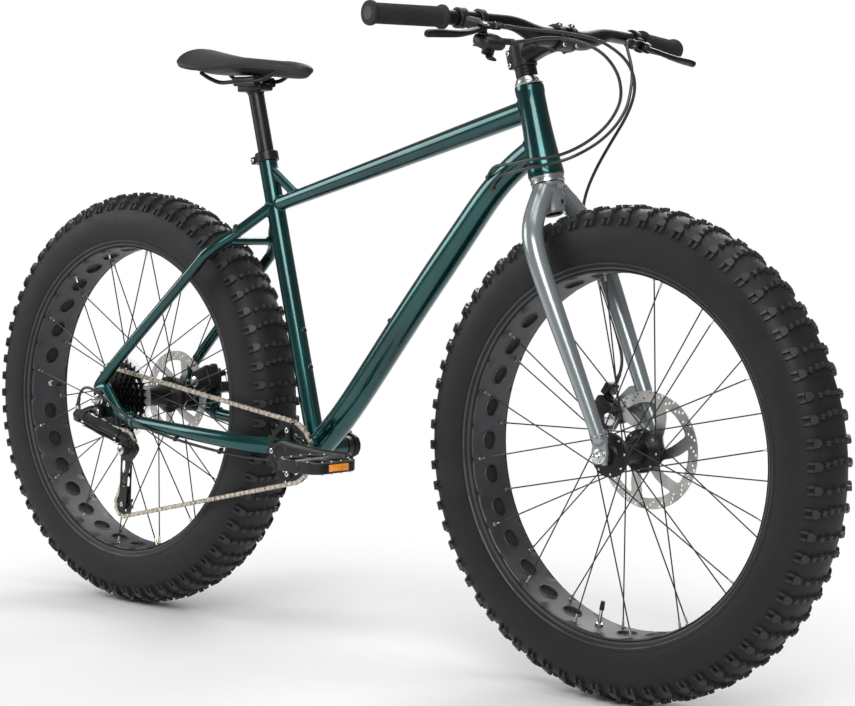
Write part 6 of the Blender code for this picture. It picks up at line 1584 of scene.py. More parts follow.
def clamp_arc(shape, centre, start, end, low=-CLAMP_HALF, high=CLAMP_HALF):
    """A curved band of the bar clamp between two angles, in degrees, round the bar."""
    section = [
        (CLAMP_BORE, low),
        (CLAMP_RADIUS - CLAMP_EDGE, low),
        (CLAMP_RADIUS, low + CLAMP_EDGE),
        (CLAMP_RADIUS, high - CLAMP_EDGE),
        (CLAMP_RADIUS - CLAMP_EDGE, high),
        (CLAMP_BORE, high),
    ]
    steps = 14
    rows = []
    for i in range(steps + 1):
        angle = math.radians(start + (end - start) * i / steps)
        way = HEAD_FORWARD * math.cos(angle) + HEAD_UP * math.sin(angle)
        rows.append([centre + (way * reach + ACROSS * y) for reach, y in section])
    shape.skin(rows, "black")


def clamp_bolts(centre):
    """Where the bar clamp's four bolts pass the handlebar."""
    for lift in (-0.0158, 0.0158):
        for side in (-0.0155, 0.0155):
            yield centre + HEAD_UP * lift + ACROSS * side


def draw_stem(bike):
    """The forged stem with its two-part bar clamp and bolts."""
    shape = Shape()
    low, high = stem_heights()
    middle = (low + high) / 2
    bore = STEERER_RADIUS + 0.0001
    shape.ring(head_point(low), head_point(high), 0.0196, 0.0196, bore, "black", 0.0012)
    centre = bar_centre()
    start, end = head_point(middle, 0.008), centre - HEAD_FORWARD * 0.0130
    stations = []
    for share, wide, tall in (
        (0, 0.0172, 0.0158), (0.25, 0.0160, 0.0146), (0.55, 0.0152, 0.0138),
        (0.85, 0.0180, 0.0150), (1, 0.0200, 0.0165),
    ):
        stations.append((*start.lerp(end, share), wide, tall))
    shape.eased_loft(stations, "black", 5, sides=40, squareness=0.72)
    clamp_arc(shape, centre, 93, 267)
    behind = head_point(middle, -0.0215)
    for side in (-1, 1):
        ear = facing(behind + ACROSS * (0.0052 * side) + HEAD_FORWARD * 0.001, HEAD_UP)
        shape.box((0.0080, 0.0130, 0.0310), ear, "black", 0.0018, 3)
    for lift in (-0.0095, 0.0095):
        spot = behind + HEAD_UP * lift - HEAD_FORWARD * 0.0008
        shape.bolt(spot - ACROSS * 0.0090, -ACROSS, 0.0036, 0.0022, "silver")
        ends = (spot - ACROSS * 0.004, spot + ACROSS * 0.0094)
        shape.rod(*ends, 0.0022, "silver", sides=16)
    for spot in clamp_bolts(centre):
        ends = (spot - HEAD_FORWARD * 0.013, spot - HEAD_FORWARD * 0.0010)
        shape.rod(*ends, 0.0048, "black", sides=20, edge=0.0006)
    shape.piece("forged_stem", "steering", "black_metal", ["stem"])
    plate = Shape()
    for start, end in ((-86, -34), (34, 86)):
        clamp_arc(plate, centre, start, end)
    for low, high in ((-CLAMP_HALF, -0.0100), (0.0100, CLAMP_HALF)):
        clamp_arc(plate, centre, -36, 36, low, high)
    for spot in clamp_bolts(centre):
        ends = (spot + HEAD_FORWARD * 0.0016, spot + HEAD_FORWARD * 0.0140)
        plate.rod(*ends, 0.0048, "black", sides=20, edge=0.0006)
        plate.bolt(spot + HEAD_FORWARD * 0.0138, HEAD_FORWARD, 0.0036, 0.0026, "silver")
    plate.piece("bar_clamp_plate", "steering", "black_metal", ["stem_faceplate"])


def bar_point(y):
    """A point on the handlebar's middle line: straight, then risen and swept back."""
    centre = bar_centre()
    away = abs(y)
    lift = 0.015 * smoothstep((away - 0.045) / 0.085)
    sweep = 0.0525 * max(away - 0.105, 0) / (BAR_HALF_WIDTH - 0.105)
    drop = 0.005 * max(away - 0.20, 0) / (BAR_HALF_WIDTH - 0.20)
    return Vector((centre.x - sweep, y, centre.z + lift - drop))


def bar_direction(y):
    """The handlebar's direction at y, pointing away from the stem."""
    step = math.copysign(0.004, y)
    return (bar_point(y + step) - bar_point(y - step)).normalized()


def draw_bar(bike):
    """The handlebar and its ribbed grips."""
    shape = Shape()
    ends = BAR_HALF_WIDTH - 0.001
    places = [-ends + 2 * ends * i / 96 for i in range(97)]
    radii = [0.0159 - 0.0048 * smoothstep((abs(y) - 0.045) / 0.085) for y in places]
    shape.tube([bar_point(y) for y in places], radii, "black", 32)
    shape.piece("riser_bar", "steering", "black_metal", ["handlebar"])
    for side, name in ((1, "left"), (-1, "right")):
        grip = Shape()
        start = bar_point((BAR_HALF_WIDTH - GRIP_LENGTH) * side)
        end = bar_point(BAR_HALF_WIDTH * side)
        length = (end - start).length
        profile = [
            (0.0114, 0), (0.0172, 0.0), (0.0182, 0.0010), (0.0184, 0.0040), (0.0172, 0.0066),
            (0.0150, 0.0090),
        ]
        reach = 0.0110
        while reach < length - 0.0090:
            rib = ((0.0143, 0), (0.0152, 0.0007), (0.0152, 0.0019), (0.0143, 0.0026))
            profile += [(radius, reach + height) for radius, height in rib]
            reach += 0.0036
        flange = (
            (0.0148, -0.0070), (0.0180, -0.0040), (0.0184, -0.0005), (0.0176, 0.0024),
            (0.0120, 0.0030),
        )
        profile += [(radius, length + height) for radius, height in flange]
        grip.turn(profile, start, end - start, "grip", 40)
        face = end + (end - start).normalized() * 0.0029
        grip.turn([(0.0100, 0), (0.0098, 0.0004)], face, end - start, "plastic", 32)
        grip.piece(f"ribbed_grip_{name}", "steering", "grip_rubber", [f"grip_{name}"])


def lever_frame(side):
    """A brake lever's clamp on the bar, the ways along and ahead, its hinge and hinge axis."""
    y = LEVER_PLACE * side
    clamp = bar_point(y)
    along = bar_direction(y)
    ahead = Vector((0.905, 0, -0.425))
    ahead = (ahead - along * ahead.dot(along)).normalized()
    hinge = clamp + ahead * 0.036 - along * 0.018
    axis = ahead.cross(along).normalized() * -side
    return clamp, along, ahead, hinge, axis


BAR_BORE = 0.0113
# A blade's (way out, lead, half depth, half thickness) from its hinge to its tip
BLADE_STATIONS = (
    (-0.002, 0.001, 0.0050, 0.0038), (0.003, 0.002, 0.0056, 0.0038),
    (0.020, 0.008, 0.0062, 0.0040), (0.042, 0.019, 0.0058, 0.0042),
    (0.065, 0.027, 0.0052, 0.0050), (0.090, 0.0288, 0.0052, 0.0058),
    (0.112, 0.030, 0.0052, 0.0060), (0.124, 0.0325, 0.0050, 0.0056),
    (0.128, 0.0340, 0.0034, 0.0040),
)


def draw_levers(bike):
    """Both brake levers: bands, bodies, barrel adjusters and two-finger blades."""
    for side, name in ((1, "left"), (-1, "right")):
        clamp, along, ahead, hinge, axis = lever_frame(side)
        shape = Shape()
        shape.band(clamp, along * 0.0075, 0.0156, BAR_BORE, "plastic", 0.0012)
        shape.bolt(clamp - ahead * 0.0040 + axis * 0.0145, axis, 0.0034, 0.0024, "silver")
        foot = clamp + ahead * 0.011 - along * 0.002
        web = hinge - ahead * 0.0118
        arm = ([foot, foot.lerp(web, 0.5), web], [0.0080, 0.0085, 0.0105], [0.0090, 0.0092, 0.0096])
        shape.loft(*arm, "plastic", 28, across=along, squareness=0.8)
        for way in (-1, 1):
            spots = (web - ahead * 0.002, hinge + ahead * 0.002, hinge + ahead * 0.0075)
            spots = [spot + axis * (0.0062 * way) for spot in spots]
            cheek = (spots, [0.0095, 0.0085, 0.0040], [0.0014, 0.0014, 0.0012])
            shape.loft(*cheek, "plastic", 24, across=along, squareness=0.8)
        for way in (axis, -axis):
            shape.bolt(hinge + way * 0.0072, way, 0.0034, 0.0016, "silver")
        barrel = hinge - ahead * 0.0125 - along * 0.002
        shape.rod(barrel, barrel - along * 0.026, 0.0060, "plastic", 0.0052, 28, 0.0006)
        knurl = knurled(0.0061, 0.0054, 0.0275, 0.0016, 7)
        profile = [(0.0040, 0.0255), *knurl, (0.0040, 0.0392), (0.0036, 0.0440)]
        shape.turn(profile, barrel, -along, "plastic", 24)
        shape.turn([(0.0064, 0.0262), (0.0064, 0.0272)], barrel, -along, "silver", 28)
        shape.piece(f"lever_body_{name}", "steering", "black_plastic", [f"lever_clamp_{name}"])
        blade = Shape()
        blade.pin(hinge, axis * 0.0043, 0.0064, "black", sides=28, edge=0.0006)
        stations = []
        for out, lead, deep, thick in BLADE_STATIONS:
            stations.append((*(hinge + along * out + ahead * lead), deep, thick))
        blade.eased_loft(stations, "black", 5, sides=28, across=ahead, squareness=0.85)
        body, node = f"{name}_blade", f"brake_blade_{name}"
        blade.piece(f"blade_{name}", body, "black_metal", [node], sharp=60)


def shifter_frame():
    """The shifter's middle and its ways along the bar, forward, down and to its barrel."""
    y = -(LEVER_PLACE - 0.036)
    centre = bar_point(y)
    along = bar_direction(y)
    core = centre + Vector((0.022, 0, -0.0340))
    forward = Vector((1, 0, -0.35))
    forward = (forward - along * forward.dot(along)).normalized()
    down = forward.cross(along).normalized()
    down = down if down.z < 0 else -down
    return core, along, forward, down, centre


def shifter_outlet():
    """The end of the shifter's barrel and the way that the housing leaves it."""
    core, along, forward, down, _ = shifter_frame()
    return core - along * (0.041 + GAP) + forward * 0.005 - down * 0.004, -along


# The shifter's housing: (way along the bar, half depth, half height)
SHIFTER_STATIONS = (
    (0.0245, 0.0090, 0.0045), (0.0225, 0.0125, 0.0072), (0.017, 0.0185, 0.0100),
    (0.002, 0.0190, 0.0106), (-0.012, 0.0182, 0.0100), (-0.0195, 0.0130, 0.0080),
    (-0.0222, 0.0085, 0.0050),
)
# A paddle: (way back from its tip, share of its sweep, drop, half width, half thickness)
PADDLE_STATIONS = (
    (0.014, 0.55, 0.0006, 0.0062, 0.0017), (0.006, 0.85, 0.0014, 0.0082, 0.0021),
    (0.001, 0.98, 0.0026, 0.0078, 0.0019), (0.0, 1.0, 0.0030, 0.0056, 0.0013),
)


def draw_shifter(bike):
    """The trigger shifter under the bar with its two levers."""
    core, along, forward, down, centre = shifter_frame()
    shape = Shape()
    shape.band(centre, along * 0.0055, 0.0158, BAR_BORE, "plastic", 0.0010)
    ends = (centre + Vector((0.003, 0, -0.010)), core - Vector((0.009, 0, 0)))
    shape.rod(*ends, 0.0070, "plastic", sides=28)
    stations = []
    for reach, deep, tall in SHIFTER_STATIONS:
        stations.append((*(core + along * reach), deep, tall))
    shape.eased_loft(stations, "plastic", 5, sides=36, across=forward, squareness=0.75)
    cover = core - down * 0.0098
    disc = [(0.0125, 0), (0.0125, 0.0010), (0.0110, 0.0016)]
    shape.turn(disc, cover, -down, "black", 40)
    shape.bolt(cover - down * 0.0012, -down, 0.0030, 0.0010, "silver")
    outlet, way = shifter_outlet()
    end = outlet - way * GAP
    shape.rod(end - way * 0.024, end - way * 0.012, 0.0050, "plastic", sides=24)
    knurl = knurled(0.0050, 0.0043, 0.0008, 0.0018, 6)
    profile = [(0.0034, 0), *knurl, (0.0034, 0.0120)]
    shape.turn(profile, end - way * 0.0120, way, "plastic", 24)
    shape.rod(core + down * 0.006, core + down * 0.0206, 0.0025, "silver", sides=20)
    shape.piece("shifter_housing", "steering", "black_plastic", ["shifter_body"])
    for name, depth, reach, sweep, lead in (
        ("thumb", 0.0129, 0.036, -0.006, -1),
        ("release", 0.0172, 0.026, 0.010, 1),
    ):
        paddle = Shape()
        middle = core + down * depth
        paddle.band(middle, down * 0.0018, 0.0095, 0.0029, "plastic", 0.0004)
        ahead = forward * lead
        stations = [(*(middle + ahead * 0.004), 0.0060, 0.0016)]
        for back, share, drop, wide, thick in PADDLE_STATIONS:
            spot = middle + ahead * (reach - back) + along * sweep * share + down * drop
            stations.append((*spot, wide, thick))
        paddle.eased_loft(stations, "plastic", 5, sides=28, across=along, squareness=0.8)
        body, node = f"{name}_lever", f"shift_{name}_lever"
        paddle.piece(f"{name}_paddle", body, "black_plastic", [node], sharp=60)


# Drive


def pitch_radius(teeth):
    """The radius on which the chain's pins lie round a sprocket."""
    return teeth * CHAIN_PITCH / math.tau


GUIDE = REAR_HUB + Vector((0.030, COG_Y, -6.102 * CHAIN_PITCH))
TENSION = REAR_HUB + Vector((0.0275, COG_Y, -14.803 * CHAIN_PITCH))
LINK = Vector((0.055, 0.027, -0.027))
LINK_PIN = Vector((0, 1, 1)).normalized()
UPPER_PINS = REAR_HUB + Vector((-0.0065, -0.127, -0.035))
LOWER_PINS = UPPER_PINS + LINK
CAGE_PIVOT = Vector((LOWER_PINS.x + 0.012, COG_Y, LOWER_PINS.z - 0.023))


def tangent(first, second):
    """Where a straight run leaves one wheel and meets the next, as (x, z) vectors."""
    (centre, teeth, sense), (other, other_teeth, other_sense) = first, second
    start, end = Vector((centre.x, centre.z)), Vector((other.x, other.z))
    apart = end - start
    k = sense * pitch_radius(teeth) - other_sense * pitch_radius(other_teeth)
    turn = math.asin(k / apart.length)
    heading = apart.normalized()
    ahead, aside = around(1, turn)
    run_x = heading.x * ahead - heading.y * aside
    run_y = heading.x * aside + heading.y * ahead
    out = Vector((run_y, -run_x))
    leaving = start + out * (sense * pitch_radius(teeth))
    return leaving, end + out * (other_sense * pitch_radius(other_teeth))


def chain_pins():
    """Each pin's (x, z) place round the loop, and the first pin's angle on each wheel."""
    ring = Vector((BOTTOM_BRACKET.x, CHAINRING_Y, BOTTOM_BRACKET.z))
    cog = Vector((REAR_HUB.x, COG_Y, REAR_HUB.z))
    wheels = [
        (ring, CHAINRING_TEETH, -1),
        (TENSION, PULLEY_TEETH, -1),
        (GUIDE, PULLEY_TEETH, 1),
        (cog, COG_TEETH[COG_IN_USE], -1),
    ]
    runs = [tangent(wheels[i], wheels[(i + 1) % 4]) for i in range(4)]
    arcs, phases = [], []
    for i, (centre, teeth, sense) in enumerate(wheels):
        middle = Vector((centre.x, centre.z))
        arrive, leave = runs[i - 1][1] - middle, runs[i][0] - middle
        start = math.atan2(arrive.y, arrive.x)
        arc = (sense * (math.atan2(leave.y, leave.x) - start)) % math.tau
        step = math.tau / teeth
        whole = math.floor(arc / step + 0.000001)
        first = start + sense * (arc - whole * step) / 2
        radius = pitch_radius(teeth)
        angles = [first + sense * step * j for j in range(whole + 1)]
        arcs.append([middle + Vector(around(radius, angle)) for angle in angles])
        phases.append(first)
    pins = []
    for i, arc in enumerate(arcs):
        pins += arc
        last, target = arc[-1], arcs[(i + 1) % 4][0]
        links = max(1, round((target - last).length / CHAIN_PITCH))
        pins += [last.lerp(target, j / links) for j in range(1, links)]
    return pins, phases


def chain_y(x):
    """The chain runs from the cog in use out to the chainring."""
    back, front = REAR_HUB.x + 0.09, BOTTOM_BRACKET.x - 0.056
    share = min(max((x - back) / (front - back), 0), 1)
    return COG_Y + (CHAINRING_Y - COG_Y) * share


PLATE_THICKNESS = 0.0008


def chain_plate(shape, start, end, y_shift, radius):
    """One side plate of a link, round at its pins and slim between them."""
    along = end - start
    length = along.length
    along = along.normalized()
    up = along.cross(ACROSS).normalized()
    outline = []
    for centre, first, waist in ((length, -60, 0.74), (0, 120, -0.74)):
        for i in range(7):
            x, y = around(radius, math.radians(first + 20 * i))
            outline.append((centre + x, y))
        outline.append((length / 2, radius * waist))
    rows = []
    for side in (-1, 1):
        shift = ACROSS * (y_shift + side * PLATE_THICKNESS / 2)
        rows.append([start + along * x + up * z + shift for x, z in outline])
    shape.skin(rows, "chain")


def draw_chain(bike):
    """The roller chain, link by link."""
    pins, _ = chain_pins()
    shape = Shape()
    spots = [Vector((p.x, chain_y(p.x), p.y)) for p in pins]
    for i, spot in enumerate(spots):
        after = spots[(i + 1) % len(spots)]
        y_shift, radius = (0.0024, 0.0042) if i % 2 else (0.0016, 0.0043)
        for side in (-1, 1):
            chain_plate(shape, spot, after, y_shift * side, radius)
        shape.pin(spot, ACROSS * 0.0012, 0.0039, "chain", sides=14)
        shape.pin(spot, ACROSS * 0.0031, 0.0017, "silver", sides=10, edge=0.0003)
    shape.piece("roller_chain", "frame_body", "chain_steel", ["chain"], sharp=30)


def toothed(teeth, phase, tall=0.0031, deep=0.0040):
    """A sprocket's outline, with a tooth gap at the phase angle."""
    radius = pitch_radius(teeth)
    tooth = (
        (0.0, -deep), (0.13, -deep * 0.92), (0.24, -deep * 0.55), (0.35, tall * 0.30),
        (0.45, tall), (0.55, tall), (0.65, tall * 0.30), (0.76, -deep * 0.55),
        (0.87, -deep * 0.92),
    )
    outline = []
    for i in range(teeth):
        for share, lift in tooth:
            outline.append(around(radius + lift, phase + math.tau * (i + share) / teeth))
    return outline


def sector(inner, outer, start, end):
    """A window between two radii and two angles with rounded corners."""
    steps = 5
    low = [(inner, start + (end - start) * i / steps) for i in range(steps + 1)]
    high = [(outer, end + (start - end) * i / steps) for i in range(steps + 1)]
    return softened([around(radius, angle) for radius, angle in low + high], 0.25, 2)


def draw_cassette(bike):
    """Nine toothed cogs on their carrier, with spacers and a lockring."""
    _, phases = chain_pins()
    shape = Shape()
    thickness, carrier = 0.0016, 0.0150
    for i, teeth in enumerate(COG_TEETH):
        y = LARGEST_COG_Y - i * COG_STEP_Y
        phase = phases[3] + i * 0.21 if i != COG_IN_USE else phases[3]
        loops = [toothed(teeth, phase), circle(carrier, 40)]
        outer = pitch_radius(teeth) - 0.0115
        if outer > 0.034:
            for middle in turns(6, phase):
                loops.append(sector(0.0290, outer, middle - 0.34, middle + 0.34))
        shape.side_plate(REAR_HUB, loops, thickness, y, "cog", 0.0002)
        if i:
            start = REAR_HUB + ACROSS * (y + thickness / 2)
            far = start + ACROSS * (COG_STEP_Y - thickness)
            shape.ring(start, far, 0.0190, 0.0190, carrier, "cog", 0.0002, 36)
    end = REAR_HUB + ACROSS * -0.0927
    shape.rod(REAR_HUB + ACROSS * (LARGEST_COG_Y + 0.0018), end, carrier, "cog", sides=36)
    lockring = (end + ACROSS * 0.0010, end + ACROSS * 0.0035)
    shape.ring(*lockring, 0.0168, 0.0178, 0.0120, "dark", 0.0004, 48)
    for angle in turns(24):
        spline = Matrix.Translation(end + polar(0.0118, angle, 0.0003))
        placing = spline @ Matrix.Rotation(-angle, 4, "Y")
        shape.box((0.0016, 0.0024, 0.0014), placing, "dark", 0.0002, 1)
    shape.piece("nine_cogs", "cassette_body", "dark_metal", ["cassette"], REAR_HUB, 30)


def crank_way(side):
    """The direction in which a crank points from the bottom bracket."""
    turn = CRANK_TURN if side < 0 else CRANK_TURN + math.pi
    return Vector((math.cos(turn), 0, math.sin(turn)))


# A crank arm: (way out, y, half height, half thickness)
CRANK_STATIONS = (
    (-0.0195, 0.0810, 0.0090, 0.0052), (-0.014, 0.0810, 0.0165, 0.0066),
    (0.004, 0.0812, 0.0222, 0.0072), (0.030, 0.0830, 0.0196, 0.0073),
    (0.060, 0.0865, 0.0170, 0.0072), (0.110, 0.0970, 0.0140, 0.0070),
    (0.152, 0.1048, 0.0132, 0.0072), (0.172, 0.1052, 0.0128, 0.0070),
    (0.1795, 0.1052, 0.0090, 0.0056), (0.1815, 0.1052, 0.0040, 0.0030),
)
# A spider arm: (way out, sideways, half thickness, half width)
SPIDER_STATIONS = (
    (0.010, -0.001, 0.0034, 0.0082), (0.026, 0.0, 0.0024, 0.0066),
    (0.038, 0.0006, 0.0018, 0.0062), (0.0425, 0.0006, 0.0012, 0.0040),
)


def draw_cranks(bike):
    """Crank arms with bosses and pedal spindles, the toothed chainring and the crank bolts."""
    _, phases = chain_pins()
    for side, name in ((-1, "right"), (1, "left")):
        shape = Shape()
        out = crank_way(side)
        beside = ACROSS * side
        stations = []
        for reach, y, tall, thick in CRANK_STATIONS:
            stations.append((*(BOTTOM_BRACKET + out * reach + beside * y), thick, tall))
        shape.eased_loft(stations, "dark", 6, sides=36, squareness=0.72)
        ends = (BOTTOM_BRACKET + beside * 0.0628, BOTTOM_BRACKET + beside * 0.0892)
        shape.ring(*ends, 0.0176, 0.0172, 0.0118, "dark", 0.0012)
        ends = (BOTTOM_BRACKET + beside * 0.0630, BOTTOM_BRACKET + beside * 0.0820)
        shape.rod(*ends, 0.0120, "dark")
        end = BOTTOM_BRACKET + out * CRANK_LENGTH
        shape.rod(end + beside * 0.100, end + beside * 0.219, 0.005, "silver", sides=20)
        collar = [(0.0078, 0), (0.0078, 0.0060), (0.0066, 0.0070)]
        shape.turn(collar, end + beside * 0.108, beside, "silver", 6)
        if side < 0:
            foot = BOTTOM_BRACKET + ACROSS * -0.0695
            for away in (polar(1, CRANK_TURN + math.pi / 2 * i) for i in range(4)):
                stations = []
                for reach, y, thick, wide in SPIDER_STATIONS:
                    stations.append((*(foot + away * reach + ACROSS * y), thick, wide))
                shape.eased_loft(stations, "dark", 5, sides=24, squareness=0.7)
                spot = foot + away * 0.0365 + ACROSS * -0.0016
                shape.bolt(spot, -ACROSS, 0.0044, 0.0020, "silver")
        shape.piece(f"crank_arm_{name}", "crankset", "dark_metal", [f"crank_{name}"], sharp=40)
    ring = Shape()
    loops = [toothed(CHAINRING_TEETH, phases[0]), circle(0.0190, 40)]
    for i in range(4):
        middle = CRANK_TURN + math.pi / 2 * (i + 0.5)
        loops.append(sector(0.0262, 0.0405, middle - 0.46, middle + 0.46))
    ring.side_plate(BOTTOM_BRACKET, loops, 0.0018, CHAINRING_Y, "black", 0.0002)
    ring.piece("toothed_chainring", "crankset", "black_metal", ["chainring"], BOTTOM_BRACKET, 30)
    bolts = Shape()
    half = 0.0818
    bolts.pin(BOTTOM_BRACKET, ACROSS * half, 0.0100, "silver")
    for way in (-ACROSS, ACROSS):
        foot = BOTTOM_BRACKET + way * half
        bolts.turn([(0.0104, 0), (0.0104, 0.0016), (0.0096, 0.0022)], foot, way, "silver", 36)
        bolts.bolt(foot + way * 0.0016, way, 0.0076, 0.0026, "silver")
    bolts.piece("crank_bolts", "crankset", "silver_metal", ["crank_spindle"], BOTTOM_BRACKET)


PEDAL_OUTLINE = (
    (0.049, 0.036), (0.037, 0.050), (-0.035, 0.050), (-0.049, 0.036), (-0.049, -0.036),
    (-0.035, -0.050), (0.037, -0.050), (0.049, -0.036),
)
PEDAL_PINS = (
    *((x, y) for x in (-0.0445, 0.0445) for y in (-0.031, -0.0105, 0.0105, 0.031)),
    *((x, y) for y in (-0.0455, 0.0455) for x in (-0.026, 0.026)),
)


def draw_pedals(bike):
    """Platform pedals with windows, traction pins and amber reflectors."""
    for side, name in ((-1, "right"), (1, "left")):
        shape = Shape()
        centre = BOTTOM_BRACKET + crank_way(side) * CRANK_LENGTH
        middle = Vector((centre.x, 0.175 * side, centre.z))
        loops = [softened(PEDAL_OUTLINE, 0.22, 4)]
        for way in (-1, 1):
            inner, outer = 0.0125 * way, 0.0400 * way
            low = [(inner, -0.0395), (outer, -0.0335), (outer, -0.0032), (inner, -0.0032)]
            high = [(inner, 0.0032), (outer, 0.0032), (outer, 0.0335), (inner, 0.0395)]
            loops += [softened(low, 0.16, 3), softened(high, 0.16, 3)]
        shape.plate(loops, 0.0180, Matrix.Translation(middle), "plastic", 0.0014)
        start = Vector((centre.x, 0.1158 * side, centre.z))
        end = Vector((centre.x, 0.2262 * side, centre.z))
        shape.ring(start, end, 0.0110, 0.0108, 0.0056, "plastic", 0.0012, 32)
        cap = end - ACROSS * (0.0004 * side)
        shape.turn([(0.0070, 0), (0.0066, 0.0006)], cap, ACROSS * side, "black", 24)
        for x, y in PEDAL_PINS:
            for up in (-1, 1):
                foot = middle + Vector((x, y, 0.0086 * up))
                tip = foot + Vector((0, 0, 0.0022 * up))
                shape.rod(foot, tip, 0.0019, "silver", 0.0014, 10)
        for way in (-1, 1):
            face = middle + Vector((0.0486 * way, 0, 0))
            shape.box((0.0028, 0.050, 0.0150), face, "plastic", 0.0009, 2)
            lens = face + Vector((0.0006 * way, 0, 0))
            shape.box((0.0030, 0.044, 0.0112), lens, "amber", 0.0008, 2)
        body, node = f"{name}_pedal", f"pedal_{name}"
        shape.piece(f"platform_pedal_{name}", body, "black_plastic", [node])


def link_placing(origin):
    """Local X runs along the links, Y from the outer to the inner one, Z along their pins."""
    along = LINK.normalized()
    turn = Matrix((along, LINK_PIN.cross(along), LINK_PIN)).transposed()
    return Matrix.Translation(origin) @ turn.to_4x4()


# A link: (share of its length, share of its height, share of its thickness, bulge)
LINK_STATIONS = (
    (-0.085, 0.45, 0.45, 0.0), (-0.060, 0.78, 0.75, 0.0), (0.0, 0.92, 0.92, 0.0),
    (0.25, 0.90, 0.95, 0.10), (0.50, 1.0, 1.0, 0.18), (0.75, 0.86, 0.95, 0.10),
    (1.0, 0.92, 0.92, 0.0), (1.060, 0.78, 0.75, 0.0), (1.085, 0.45, 0.45, 0.0),
)
LINK_OFFSET = 0.008


def draw_links():
    """Both arched sides of the derailleur's parallelogram, with the heads of their pins."""
    placing = link_placing(UPPER_PINS)
    for name, offset, tall, deep in (
        ("outer", -LINK_OFFSET, 0.0102, 0.0056),
        ("inner", LINK_OFFSET, 0.0090, 0.0048),
    ):
        shape = Shape()
        stations = []
        for share, high, thick, bulge in LINK_STATIONS:
            y = offset + math.copysign(bulge * deep, offset)
            spot = placing @ Vector((LINK.length * share, y, 0))
            stations.append((*spot, tall * high, deep * thick))
        shape.eased_loft(stations, "dark", 5, sides=32, across=LINK_PIN, squareness=0.62)
        for share in (0, 1):
            spot = placing @ Vector((LINK.length * share, offset, 0))
            half = LINK_PIN * (tall + 0.0005)
            shape.pin(spot, half, 0.0027, "silver", sides=20, edge=0.0005)
        node = f"{name}_link"
        shape.piece(f"arched_{node}", f"link_{name}", "dark_metal", [node], sharp=55)


# Where the derailleur hangs, and the barrel that its housing ends in
HANGER_FACE = 0.0995 + GAP + 0.004 + GAP
HANGER_BOLT = Vector((REAR_HUB.x + 0.0075, -HANGER_FACE, REAR_HUB.z - 0.020))
BARREL_FOOT = REAR_HUB + Vector((-0.022, -0.133, -0.026))
BARREL_RUN = Vector((-0.0055, 0.0045, 0.0170))
BARREL_END = BARREL_FOOT + BARREL_RUN
CAGE_HALF = 0.0060
PIVOT_DEPTH = 0.034


def draw_knuckles():
    """The knuckle on the hanger with the cable's barrel, and the one that holds the cage."""
    upper = Shape()
    placing = link_placing(UPPER_PINS)
    bolt = HANGER_BOLT
    upper.rod(bolt, bolt - ACROSS * 0.0120, 0.0086, "plastic", sides=40, edge=0.0008)
    middle = placing @ Vector((-0.0170, 0, 0))
    arm = [
        bolt - ACROSS * 0.0072,
        bolt + Vector((-0.010, -0.0072, 0.0015)),
        bolt + Vector((-0.019, -0.0072, 0.002)),
        middle + Vector((-0.001, 0.004, 0.002)),
    ]
    arm = route(arm, 6)
    upper.tube(arm, [0.0074 - 0.0008 * i / len(arm) for i in range(len(arm))], "plastic", 28)
    core = placing @ Matrix.Translation((-0.0170, 0, 0))
    upper.box((0.0135, 0.0250, 0.0145), core, "plastic", 0.0034, 4)
    for offset in (-LINK_OFFSET, LINK_OFFSET):
        eye = placing @ Matrix.Translation((-0.0090, offset, 0))
        upper.box((0.0110, 0.0080, 0.0115), eye, "plastic", 0.0020, 3)
    foot, run = BARREL_FOOT, BARREL_END - BARREL_FOOT
    upper.rod(foot, BARREL_END, 0.0045, "plastic", edge=0.0005)
    ends = (foot - run * 0.25, foot + run * 0.20)
    upper.rod(*ends, 0.0062, "plastic", sides=28, edge=0.0010)
    node = "derailleur_knuckle_upper"
    upper.piece("upper_knuckle", "frame_body", "black_plastic", [node], sharp=50)
    lower = Shape()
    placing = link_placing(LOWER_PINS)
    core = placing @ Matrix.Translation((0.0155, 0, 0))
    lower.box((0.0125, 0.0240, 0.0140), core, "plastic", 0.0034, 4)
    for offset in (-LINK_OFFSET, LINK_OFFSET):
        eye = placing @ Matrix.Translation((0.0085, offset, 0))
        lower.box((0.0100, 0.0080, 0.0112), eye, "plastic", 0.0020, 3)
    inside = Vector((CAGE_PIVOT.x, COG_Y - CAGE_HALF - GAP, CAGE_PIVOT.z))
    outside = inside - ACROSS * PIVOT_DEPTH
    lower.ring(inside, outside, 0.0100, 0.0096, 0.0047, "plastic", 0.0010)
    ends = (inside - ACROSS * 0.004, inside - ACROSS * 0.010)
    lower.ring(*ends, 0.0108, 0.0108, 0.0048, "dark", 0.0008)
    core, end = placing @ Vector((0.0160, 0, 0)), inside - ACROSS * 0.020
    lower.tube([core, core.lerp(end, 0.5), end], [0.0092, 0.0090, 0.0088], "plastic", 28)
    ends = (inside - ACROSS * 0.032, inside - ACROSS * 0.0335)
    lower.rod(*ends, 0.0090, "plastic", sides=32)
    body, node = "lower_knuckle", "knuckle_lower"
    lower.piece("lower_knuckle_body", body, "black_plastic", [node], sharp=50)


